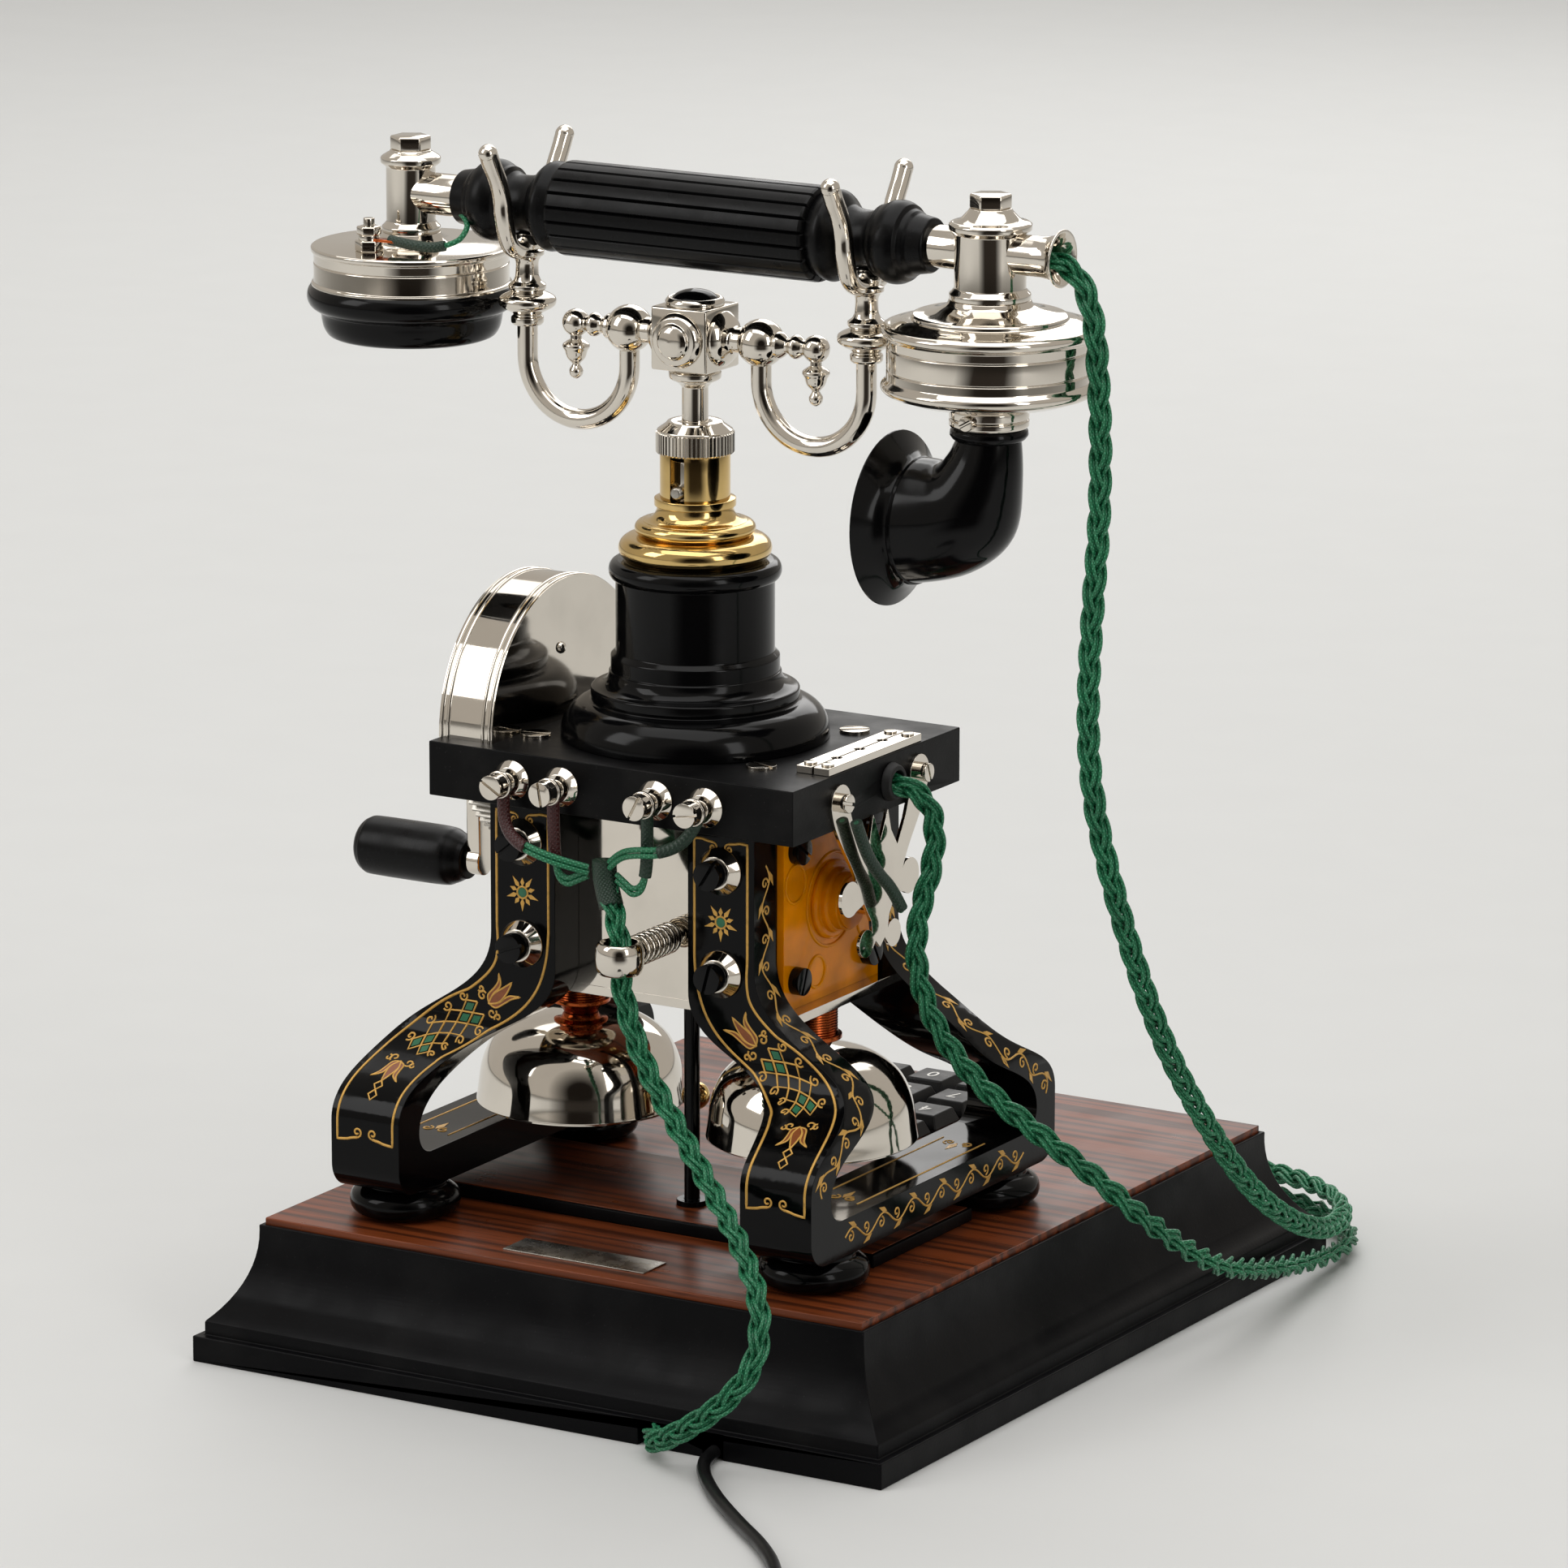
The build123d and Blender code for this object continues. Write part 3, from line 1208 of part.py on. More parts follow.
def wound_tube(name, place, turns, radius, tail_run):
    """A tube wound along place(turn) in half turns, with a straight end each way."""
    step = 0.001
    stations = [index / 2 for index in range(int(2 * turns) + 1)]
    points = [place(turn) for turn in stations]
    heads = [(place(turn + step) - place(turn - step)).normalized() for turn in stations]
    lead = points[0] - heads[0] * 2 * radius
    tail = points[-1] + heads[-1] * tail_run
    edges = [Line(lead, points[0])]
    for index in range(len(points) - 1):
        edges += biarc(points[index], heads[index], points[index + 1], heads[index + 1])
    edges.append(Line(points[-1], tail))
    path = Wire(edges)
    tube = sweep(Plane(origin=lead, z_dir=heads[0]) * Circle(radius), path=path)
    samples = 24
    cloud = [place(index / samples) for index in range(int(turns * samples) + 1)]
    near = samples // 2
    pairs = ((a, b) for index, a in enumerate(cloud) for b in cloud[index + near:])
    gap = min((a - b).length for a, b in pairs) - 2 * radius
    print(name, "least gap to itself", round(gap, 2), "length", round(path.length, 1))
    print_volume(name, tube, radius, path)
    return tube, path


def ring_spring():
    """Coil spring round the ring's rod."""
    start = SET_Y + PLATES_DY + 2.5

    def place(turn):
        angle = 2 * math.pi * turn
        x = RING_X + SPRING_R * math.cos(angle)
        return Vector(x, start + SPRING_PITCH * turn, RING_Z + SPRING_R * math.sin(angle))

    return wound_tube("ring_spring", place, SPRING_TURNS, SPRING_WIRE_R, 2 * SPRING_WIRE_R)[0]


def cord_ring():
    """Bead-shaped ring on a rod out of the rear plate."""
    y = SET_Y + PLATES_DY + RING_OUT
    profile = [
        (RING_HOLE_R, RING_Z - RING_H / 2),
        (RING_R - 1.2, RING_Z - RING_H / 2),
        (RING_R, RING_Z - RING_H / 5),
        (RING_R, RING_Z + RING_H / 5),
        (RING_R - 1.2, RING_Z + RING_H / 2),
        (RING_HOLE_R, RING_Z + RING_H / 2),
    ]
    ring = turned(profile, RING_X, y)
    stalk = rod((RING_X, SET_Y + PLATES_DY, RING_Z), (RING_X, y, RING_Z), RING_ROD_R)
    hole = rod((RING_X, y, RING_Z - RING_H), (RING_X, y, RING_Z + RING_H), RING_HOLE_R)
    return ring + (stalk - hole)


def conduit_tube():
    """Upright tube for the wires from the cover plate to the magneto."""
    y = SET_Y + CONDUIT_DY
    foot = DECK + COVER_PLATE_T
    tube = rod((CONDUIT_X, y, foot), (CONDUIT_X, y, BASE_PLATE_Z), CONDUIT_R)
    return tube + rod((CONDUIT_X, y, foot), (CONDUIT_X, y, foot + CONDUIT_FOOT_H), CONDUIT_FOOT_R)


def cord_tube(name, points, radius):
    """A cord's tube: straight runs joined by the largest arcs that the runs allow."""
    route = [Vector(*point) for point in points]
    radii = []
    for before, corner, after in zip(route, route[1:], route[2:]):
        run_in = corner - before
        run_out = after - corner
        half_turn = math.radians(run_in.get_angle(run_out)) / 2
        radii.append(0.45 * min(run_in.length, run_out.length) / math.tan(half_turn))
    path = FilletPolyline(*points, radius=radii)
    tube = sweep(Plane(origin=path @ 0, z_dir=path % 0) * Circle(radius), path=path)
    print(name, "length", round(path.length, 1), "radii", [round(value) for value in radii])
    print_volume(name, tube, radius, path)
    return tube


def line_coil():
    """The line cord's put-away length, wound in on the upper layer and out on the lower."""
    pitch = 2 * LINE_R + LINE_COIL_GAP
    half = LINE_COIL_TURNS / 2

    def place(turn):
        angle = math.radians(LINE_COIL_ANGLE) - 2 * math.pi * turn
        radius = LINE_COIL_IN_R + pitch * abs(turn - half)
        descent = min(max(2 * (turn - half) + 0.5, 0), 1)
        x = LINE_COIL_AT[0] + radius * math.cos(angle)
        y = LINE_COIL_AT[1] + radius * math.sin(angle)
        return Vector(x, y, LINE_Z + pitch * (1 - descent))

    return wound_tube("line_cord_coil", place, LINE_COIL_TURNS, LINE_R, LINE_COIL_TAIL)


def line_plug(start, head):
    """Modular plug on the line cord's end."""
    place = Plane(origin=(start.X, start.Y, FLOOR_GAP), x_dir=(head.X, head.Y, 0), z_dir=(0, 0, 1))
    foot = (Align.MIN, Align.CENTER, Align.MIN)
    body = Box(PLUG_L, PLUG_W, PLUG_H * 0.75, align=foot)
    latch = Pos(PLUG_L * 0.35, 0, 0) * Box(PLUG_L * 0.55, PLUG_W * 0.4, PLUG_H, align=foot)
    return place * (body + latch)


# Cord routes, as points chosen by hand
GROMMET_Y = SET_Y + GROMMET_DY
HANDSET_CORD = [
    (TRUMPET_X + TRUMPET_DEPTH, SET_Y, HANDSET_Z),
    (-132.5, SET_Y, HANDSET_Z),
    (-143, 47, 352),
    (-147, 47, 325),
    (-147, 48, 285),
    (-144, 49, 243),
    (-142, 47, 203),
    (-146, 38, 160),
    (-150, 17, 118),
    (-152, -10, 83),
    (-152, -44, 52),
    (-150, -76, 32),
    (-146, -102, 22),
    (-141, -122, 16.5),
    (-136, -140, 14),
    (-128, -157, 13.4),
    (-115, -170, 13.2),
    (-97, -181, 12.6),
    (-72, -193, 10),
    (-44, -207, 6),
    (-14, -219, 4.2),
    (14, -227, 4),
    (40, -231, 4),
    (66, -231, 4),
    (84, -225, 4),
    (95, -213, 4),
    (95, -199, 4),
    (84, -187, 4),
    (64, -182, 4),
    (34, -181, 4),
    (2, -183, 4),
    (-30, -187, 4),
    (-60, -188, 4),
    (-87, -185, 4),
    (-110, -176, 4),
    (-127, -162, 4),
    (-136, -145, 4.2),
    (-138, -124, 5.6),
    (-140, -100, 9.8),
    (-143, -71, 16.6),
    (-147, -41, 25.5),
    (-147, -18, 36),
    (-141, 7, 54),
    (-131, 16, 66),
    (-113, 25, 83),
    (-95, 32, 98),
    (-83, 38, 116),
    (-77, 41, 133),
    (-75.5, 39, 149),
    (-77, 33, 163),
    (-78.5, 31, 174),
    (-78, 33, 184.5),
    (-73.2, GROMMET_Y, TERMINAL_Z),
    (LEFT_X + GROMMET_DEPTH, GROMMET_Y, TERMINAL_Z),
]
REAR_CORD = [
    BUNDLE_AT,
    (-3.5, 103.5, 160),
    (-8, 107, 154),
    (RING_X, 109.6, 148),
    (RING_X - 0.3, 110.2, 139),
    (-14, 111.5, 129),
    (-19, 113.5, 118),
    (-28, 117, 106),
    (-43, 124, 92),
    (-60, 133, 79),
    (-77, 145, 68),
    (-90, 157, 54),
    (-93, 165, 39),
    (-84, 168, 25),
    (-69, 166, 14),
    (-55, 160, 6),
    (-46.5, 151, 4),
    (REAR_NOTCH_X, 140, 4),
]
LEAD_Y = REAR_Y + TERMINAL_GROOVE_Y
LEAD_TOP = TERMINAL_Z - TERMINAL_POST_R - LEAD_GAP
LEADS = [
    [
        (35.4, LEAD_Y, LEAD_TOP),
        (35.2, 105, 181),
        (29, 108, 175),
        (18, 109, 172),
        (9.5, 106, 169.5),
        (4.2, 103.7, 168.1),
    ],
    [
        (17.2, LEAD_Y, LEAD_TOP),
        (17, 103.7, 178),
        (16.3, 104, 169.5),
        (14.9, 104.3, 165),
        (11.6, 104.3, 163.4),
        (8.6, 103.8, 165),
        (4.7, 103.1, 166.9),
    ],
    [
        (-17.2, LEAD_Y, LEAD_TOP),
        (-17.4, 103.7, 177),
        (-16.8, 104, 168.5),
        (-15.2, 104.3, 164.4),
        (-12, 104.3, 163.2),
        (-9.4, 103.8, 164.9),
        (-5.7, 103.1, 166.9),
    ],
    [
        (-35.4, LEAD_Y, LEAD_TOP),
        (-33, 105, 182.5),
        (-25, 108, 178),
        (-16, 109, 177.5),
        (-8.5, 106.5, 175),
        (-3.7, 104, 170.8),
    ],
]
STAY = [(-70.4, 66.5, 185), (-70.5, 61.5, 175), (-71.5, 55, 166.5), (-72.5, 47.5, 160), (-73.5, 43.6, 153)]
coil, coil_path = line_coil()
coil_start = coil_path @ 0
coil_approach = coil_start - (coil_path % 0) * LINE_COIL_APPROACH
LINE_CORD = [
    (LINE_NOTCH_X, 133, LINE_Z),
    (LINE_NOTCH_X, 148, LINE_Z),
    (-73, 163, LINE_Z),
    (-88, 181, LINE_Z),
    (-108, 200, LINE_Z),
    (-128, 217, LINE_Z),
    (-144, 236, LINE_Z + 0.4),
    (-156, 258, LINE_Z + 1.8),
    (-166, 277, LINE_Z + 4),
    tuple(coil_approach),
    tuple(coil_start),
]

save("plinth_moulding", plinth_moulding())
save("plinth_top_panel", plinth_panel())
half_cover = (COVER_PLATE_X / 2, COVER_PLATE_Y / 2)
cover_spans = ((-half_cover[0], half_cover[0]), (SET_Y - half_cover[1], SET_Y + half_cover[1]))
save("cover_plate", block(*cover_spans, (DECK, DECK + COVER_PLATE_T)))
save("circuit_board", circuit_board())
for name, x, y in key_places():
    save(f"key_{name}", key(x, y))

foot_places = [(x, SET_Y + dy) for x in (-LEG_FOOT_X, LEG_FOOT_X) for dy in (-FOOT_DY, FOOT_DY)]
save("bun_feet", *[bun_foot(x, y) for x, y in foot_places])
right_frame, left_frame = both_sides(side_frame())
save("side_frame_right", right_frame)
save("side_frame_left", left_frame)
save("leg_washers", *[piece for x, z in leg_screw_places() for piece in four_ways(leg_washer(x, z))])
save("leg_screws", *[piece for x, z in leg_screw_places() for piece in four_ways(leg_screw(x, z))])

rear_plate = magneto_plate()
save("magneto_plates", rear_plate, mirror(rear_plate, about=MIRROR_Y), base_plate())
save("field_magnets", field_magnets())
save("end_covers", end_cover(1, GEAR_SIDE_BOSS_OUT), end_cover(-1, BOSS_OUT))
save("end_cover_screws", *end_screws())
save("armature", armature())
save("drive_gear", drive_gear())
save("gear_cover", gear_cover())
save("crank_arm", crank_arm())
save("crank_handle", crank_handle())

save("top_plate", top_plate())
save("top_screws", *top_screws())
save("arrester_plates", *arrester_plates())
screws = [line_terminal(x) for x in TERMINAL_X]
screws += [bracket_screw(dy) for dy in (-BRACKET_SCREW_DY, BRACKET_SCREW_DY)]
save("terminal_screws", *screws)
save("cord_grommet", cord_grommet())
save("cord_bracket", cord_bracket())

save("column", column())
save("brass_collar", brass_collar())
save("knurled_nut", knurled_nut())
save("cradle_hub", cradle_hub())
save("cradle_arms", *both_sides(cradle_arm()))
save("cradle_forks", *both_sides(cradle_fork()))

save("handset_grip", handset_grip())
save("handset_frame", handset_frame())
save("receiver_shell", receiver_shell() + receiver_terminal())
save("ear_cap", ear_cap())
save("transmitter_shell", transmitter_shell())
save("horn_clamp", horn_clamp())
save("horn", horn())

save("bells", bell(-1), bell(1))
save("ringer_coils", ringer_coil(-1), ringer_coil(1))
save("bell_hammer", bell_hammer())
save("cord_ring", cord_ring(), ring_spring())
save("conduit_tube", conduit_tube())

leads = [cord_tube(f"lead_{index}", points, LEAD_R) for index, points in enumerate(LEADS)]
save("terminal_leads", *leads, cord_tube("stay", STAY, LEAD_R))
save("rear_cord", cord_tube("rear_cord", REAR_CORD, CORD_R) + Pos(*BUNDLE_AT) * Sphere(BUNDLE_R))
save("handset_cord", cord_tube("handset_cord", HANDSET_CORD, CORD_R))
save("line_cord", cord_tube("line_cord", LINE_CORD, LINE_R))
save("line_cord_coil", coil)
save("line_plug", line_plug(coil_path @ 1, coil_path % 1))
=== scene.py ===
import json
import math

import bmesh
import bpy
from mathutils import Matrix, Vector
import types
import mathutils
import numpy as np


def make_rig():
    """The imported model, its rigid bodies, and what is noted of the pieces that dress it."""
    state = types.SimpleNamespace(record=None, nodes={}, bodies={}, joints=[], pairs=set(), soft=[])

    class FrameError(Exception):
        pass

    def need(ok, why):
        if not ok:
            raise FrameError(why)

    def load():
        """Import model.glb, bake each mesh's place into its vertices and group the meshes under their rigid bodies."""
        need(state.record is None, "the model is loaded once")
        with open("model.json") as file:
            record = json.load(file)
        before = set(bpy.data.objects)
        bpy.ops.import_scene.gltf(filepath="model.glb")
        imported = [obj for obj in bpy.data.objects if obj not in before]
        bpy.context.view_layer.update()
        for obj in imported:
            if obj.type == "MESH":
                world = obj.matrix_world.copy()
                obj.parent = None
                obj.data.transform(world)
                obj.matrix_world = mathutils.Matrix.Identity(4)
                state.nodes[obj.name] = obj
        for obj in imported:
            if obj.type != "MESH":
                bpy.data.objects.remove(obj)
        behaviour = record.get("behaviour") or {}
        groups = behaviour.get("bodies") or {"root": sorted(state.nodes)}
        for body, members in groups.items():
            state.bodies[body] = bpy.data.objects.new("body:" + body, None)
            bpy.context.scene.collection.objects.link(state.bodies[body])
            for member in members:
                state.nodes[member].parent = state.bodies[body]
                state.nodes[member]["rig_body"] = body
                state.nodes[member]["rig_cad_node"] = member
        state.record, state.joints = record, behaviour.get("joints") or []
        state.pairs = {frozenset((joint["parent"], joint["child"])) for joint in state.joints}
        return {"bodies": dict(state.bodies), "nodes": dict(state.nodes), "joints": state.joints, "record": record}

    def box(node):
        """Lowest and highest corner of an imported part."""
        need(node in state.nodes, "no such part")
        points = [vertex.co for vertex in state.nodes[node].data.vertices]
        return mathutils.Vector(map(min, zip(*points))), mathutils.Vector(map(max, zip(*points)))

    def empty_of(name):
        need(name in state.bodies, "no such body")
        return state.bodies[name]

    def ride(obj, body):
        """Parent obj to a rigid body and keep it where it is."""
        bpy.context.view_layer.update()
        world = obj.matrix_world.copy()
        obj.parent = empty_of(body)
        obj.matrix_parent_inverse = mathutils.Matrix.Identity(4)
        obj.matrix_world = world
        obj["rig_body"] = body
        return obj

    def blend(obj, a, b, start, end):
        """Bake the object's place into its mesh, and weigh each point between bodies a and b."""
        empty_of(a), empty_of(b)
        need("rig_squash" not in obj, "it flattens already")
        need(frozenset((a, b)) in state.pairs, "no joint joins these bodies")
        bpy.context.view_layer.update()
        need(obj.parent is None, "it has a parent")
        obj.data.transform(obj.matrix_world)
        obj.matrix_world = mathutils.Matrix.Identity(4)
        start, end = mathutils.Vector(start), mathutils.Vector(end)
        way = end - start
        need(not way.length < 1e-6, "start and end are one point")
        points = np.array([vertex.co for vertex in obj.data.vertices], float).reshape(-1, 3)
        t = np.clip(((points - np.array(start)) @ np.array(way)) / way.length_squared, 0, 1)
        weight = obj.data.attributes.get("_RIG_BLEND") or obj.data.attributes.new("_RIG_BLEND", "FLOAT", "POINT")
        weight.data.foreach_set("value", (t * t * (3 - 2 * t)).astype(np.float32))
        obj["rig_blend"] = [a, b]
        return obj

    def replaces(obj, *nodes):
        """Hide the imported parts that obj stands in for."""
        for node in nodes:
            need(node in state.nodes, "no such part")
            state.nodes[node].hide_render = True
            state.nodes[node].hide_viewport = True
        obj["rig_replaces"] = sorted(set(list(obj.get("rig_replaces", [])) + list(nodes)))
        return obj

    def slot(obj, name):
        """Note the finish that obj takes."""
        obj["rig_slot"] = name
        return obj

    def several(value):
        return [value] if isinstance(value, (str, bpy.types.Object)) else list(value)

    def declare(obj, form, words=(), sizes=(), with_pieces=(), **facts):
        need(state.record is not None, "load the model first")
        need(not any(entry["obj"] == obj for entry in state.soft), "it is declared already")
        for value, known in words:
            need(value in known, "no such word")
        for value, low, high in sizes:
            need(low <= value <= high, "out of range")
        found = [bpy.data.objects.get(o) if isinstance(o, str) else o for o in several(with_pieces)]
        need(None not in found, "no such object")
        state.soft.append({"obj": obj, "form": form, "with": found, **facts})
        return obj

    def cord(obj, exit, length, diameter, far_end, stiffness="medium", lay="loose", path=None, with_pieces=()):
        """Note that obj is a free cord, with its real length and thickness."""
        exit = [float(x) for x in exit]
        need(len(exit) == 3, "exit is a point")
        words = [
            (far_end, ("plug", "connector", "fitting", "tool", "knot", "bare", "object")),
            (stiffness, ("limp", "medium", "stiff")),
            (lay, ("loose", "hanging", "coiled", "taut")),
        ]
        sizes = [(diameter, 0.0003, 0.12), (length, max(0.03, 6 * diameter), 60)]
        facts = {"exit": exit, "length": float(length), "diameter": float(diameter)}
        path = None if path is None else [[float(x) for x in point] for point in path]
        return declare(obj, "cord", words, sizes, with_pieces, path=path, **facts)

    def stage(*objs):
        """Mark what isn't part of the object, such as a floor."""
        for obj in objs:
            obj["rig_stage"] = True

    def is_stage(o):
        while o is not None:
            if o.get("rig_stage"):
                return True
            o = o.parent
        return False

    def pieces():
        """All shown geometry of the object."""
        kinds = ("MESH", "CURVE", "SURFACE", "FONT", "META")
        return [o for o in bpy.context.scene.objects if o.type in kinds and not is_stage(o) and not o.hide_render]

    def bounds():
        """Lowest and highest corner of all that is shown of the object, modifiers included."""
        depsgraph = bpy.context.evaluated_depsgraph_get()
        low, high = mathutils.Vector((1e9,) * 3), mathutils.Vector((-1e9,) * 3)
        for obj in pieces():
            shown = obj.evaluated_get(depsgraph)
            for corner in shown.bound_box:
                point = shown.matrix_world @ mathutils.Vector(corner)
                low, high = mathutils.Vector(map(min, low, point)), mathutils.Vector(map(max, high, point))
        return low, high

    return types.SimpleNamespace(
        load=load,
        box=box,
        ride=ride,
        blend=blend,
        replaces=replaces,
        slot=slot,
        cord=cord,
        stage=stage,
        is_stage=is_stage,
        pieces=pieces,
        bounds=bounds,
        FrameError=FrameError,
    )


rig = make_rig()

bl_info = {
    "name": "Skeleton Telephone",
    "version": (1, 0, 0),
    "blender": (4, 5, 0),
    "location": "View3D > Sidebar > Telephone",
    "description": "Dresses the packed telephone: finishes, ornament, cords and a studio stage",
    "category": "Object",
}

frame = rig.load()
CAD_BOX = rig.bounds()
MM = 0.001
SLOT_OF = {row["node"]: row["material_slot"] for row in frame["record"]["subparts"]}
BODY_OF = {node: body for body, nodes in frame["record"]["behaviour"]["bodies"].items() for node in nodes}


def span(node):
    """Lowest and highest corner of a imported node, in millimetres."""
    low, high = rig.box(node)
    return [value / MM for value in low], [value / MM for value in high]


# Places that several pieces share, in millimetres: the hub's top above its middle, the bells' axes, the face of the
# end covers with the rise of their boss, and the parts of a cradle arm along X
HUB_RISE = 16.05
BELL_X = 43.1
COVER_FACE = 50.0
BOSS_RISE = 0.65
BALL_X, FINIAL_X, FORK_X = 24.1, 43.9, 62.0

# Levels and axes of the set, in millimetres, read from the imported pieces
SET_Y = (span("column")[0][1] + span("column")[1][1]) / 2
DECK = span("plinth_top_panel")[1][2]
MAGNETO_Z = span("field_magnets")[0][2]
PLATE_Z = span("top_plate")[0][2]
PLATE_TOP = span("top_plate")[1][2]
REAR_Y = span("top_plate")[1][1]
LEFT_X = span("top_plate")[0][0]
TERMINAL_Z = (PLATE_Z + PLATE_TOP) / 2
COLUMN_TOP = span("column")[1][2]
COLLAR_TOP = span("brass_collar")[1][2]
HUB_Z = span("cradle_hub")[1][2] - HUB_RISE
HANDSET_Z = (span("handset_grip")[0][2] + span("handset_grip")[1][2]) / 2
POST_X = (span("receiver_shell")[0][0] + span("receiver_shell")[1][0]) / 2
RUNNER_X = span("side_frame_right")[1][0]

# The way from the set to the unlit side of the studio, and the colour of that side in mirrors, which the floor also
# shows to glossy rays as a painted reflection
NEAR_SIDE = (-0.51, 0.85, 0.1)
UNLIT = "#2b2622"

# The camera solved from the photo: its place in metres, and the ways to its right and to its back
CAMERA_AT = (-1.3802, 2.2957, 0.8195)
CAMERA_RIGHT = (-0.858, -0.514, 0.0017)
CAMERA_BACK = (-0.4998, 0.834, 0.234)


def linear(code):
    """An sRGB hex colour as linear red, green, blue and alpha."""
    parts = [int(code[place:place + 2], 16) / 255 for place in (1, 3, 5)]
    return (*[part / 12.92 if part <= 0.04045 else ((part + 0.055) / 1.055) ** 2.4 for part in parts], 1.0)


def tint(name, description, code):
    """A colour property with an sRGB hex default."""
    return bpy.props.FloatVectorProperty(
        name=name, description=description, subtype="COLOR", size=4, min=0, max=1, default=linear(code)
    )


class TelephoneColours(bpy.types.PropertyGroup):
    """Colours of the finishes."""

    enamel: tint("Enamel", "Black stoving enamel of legs and bun feet", "#050506")
    ebonite: tint("Ebonite", "Polished ebonite of column, grip, horn and handle", "#070708")
    lacquer: tint("Lacquer", "Satin lacquer of the plinth's moulding", "#08080a")
    plate: tint("Plate", "Satin black of the top plate", "#0a0a0b")
    nickel: tint("Nickel", "Polished nickel plate", "#ddd6cb")
    brass: tint("Brass", "Polished brass", "#dcbc7c")
    copper: tint("Copper", "Lacquered copper wire", "#b0562a")
    steel: tint("Steel", "Cut steel of the gears", "#a8a49c")
    iron: tint("Iron", "Blackened iron of the magnets", "#1b1b1c")
    amber: tint("Amber", "Amber plastic of the end covers", "#f79400")
    veneer: tint("Veneer", "Red-brown ground of the rosewood veneer", "#74381a")
    streak: tint("Streak", "Dark streaks of the rosewood veneer", "#30160c")
    gold: tint("Gold", "Gold size of the ornament", "#d9a851")
    leaf: tint("Leaf green", "Green fills of the ornament", "#1f6b48")
    umber: tint("Umber", "Brown bronze fills of the ornament", "#8a4a20")
    cord: tint("Cord", "Green cotton of the plaited cords", "#0f6c44")
    # painted highlight: the pale colour laid on the cords' proud threads, standing in for the gloss of the silk
    cord_highlight: tint("Cord light", "Raised threads of the plaited cords", "#5cb98d")
    wrap: tint("Wrap", "Dark green wrapped sleeves", "#0e2c1c")
    wine: tint("Wine", "Dark red wrapped sleeves", "#380b0b")
    ink: tint("Ink", "White figures on the keys", "#e9e7e1")
    board: tint("Board", "Keypad board", "#12552b")
    floor: tint("Floor", "Pale studio floor", "#d9d9d7")


class TelephoneSizes(bpy.types.PropertyGroup):
    """Sizes of the dressing."""

    turn_steps: bpy.props.IntProperty(name="Turn steps", description="Facets round a turned piece", default=112, min=12)
    thread: bpy.props.FloatProperty(
        name="Thread", description="Radius of one of the three cords in a strand", default=0.66 * MM, min=0,
        unit="LENGTH",
    )
    lobe: bpy.props.FloatProperty(
        name="Lobe", description="Length between two strands on the plait's edge", default=10 * MM, min=0, unit="LENGTH"
    )
    gold_line: bpy.props.FloatProperty(
        name="Gold line", description="Radius of the ornament's drawn lines", default=0.5 * MM, min=0, unit="LENGTH"
    )
    lens: bpy.props.FloatProperty(
        name="Lens", description="Focal length on a 36 mm sensor", default=197.33, min=1, unit="CAMERA"
    )


def colours():
    """The scene's colours of the finishes."""
    return bpy.context.scene.telephone_colours


def sizes():
    """The scene's sizes of the dressing."""
    return bpy.context.scene.telephone_sizes


# Materials

def add(tree, kind, inputs=(), **settings):
    """One node with its settings, and its inputs set or linked."""
    item = tree.nodes.new(kind)
    for name, value in settings.items():
        setattr(item, name, value)
    for socket, value in dict(inputs).items():
        if isinstance(value, bpy.types.NodeSocket):
            tree.links.new(value, item.inputs[socket])
        else:
            item.inputs[socket].default_value = value
    return item


def coating(name, colour, **values):
    """A new material's tree and shader, with its constant values on the shader's own sockets."""
    material = bpy.data.materials.new(name)
    material.use_nodes = True
    tree = material.node_tree
    shader = tree.nodes["Principled BSDF"]
    shader.inputs["Base Color"].default_value = colour
    for socket, value in values.items():
        shader.inputs[socket.replace("_", " ")].default_value = value
    return material, tree, shader


def patches(tree, size, low=0.0, high=1.0, least=0.0, most=1.0, detail=3.0, stretch=(1, 1, 1)):
    """Cloudy patches of a size in millimetres on object coordinates, as a value from least to most."""
    place = add(tree, "ShaderNodeTexCoord").outputs["Object"]
    scaled = add(tree, "ShaderNodeMapping", {"Vector": place, "Scale": stretch}).outputs["Vector"]
    cloud = add(tree, "ShaderNodeTexNoise", {"Vector": scaled, "Scale": 1 / (size * MM), "Detail": detail})
    reach = {"From Min": low, "From Max": high, "To Min": least, "To Max": most}
    return add(tree, "ShaderNodeMapRange", {"Value": cloud.outputs["Fac"], **reach}).outputs["Result"]


def shade(colour, factor):
    """A colour made darker or lighter by a factor."""
    return (*[min(part * factor, 1.0) for part in colour[:3]], 1.0)


def worn(tree, shader, size, low, high):
    """Roughness that drifts over the surface, as polish and handling leave it."""
    tree.links.new(patches(tree, size, 0.3, 0.7, low, high), shader.inputs["Roughness"])


def stained(tree, shader, factor, first, second):
    """The shader's base colour turned from one colour to another by a pattern."""
    blend = add(tree, "ShaderNodeMix", {0: factor, 6: first, 7: second}, data_type="RGBA").outputs[2]
    tree.links.new(blend, shader.inputs["Base Color"])
    return blend


def embossed(tree, shader, height, depth):
    """Relief of the given depth in millimetres."""
    bump = add(tree, "ShaderNodeBump", {"Height": height, "Distance": depth * MM, "Strength": 1.0})
    tree.links.new(bump.outputs["Normal"], shader.inputs["Normal"])


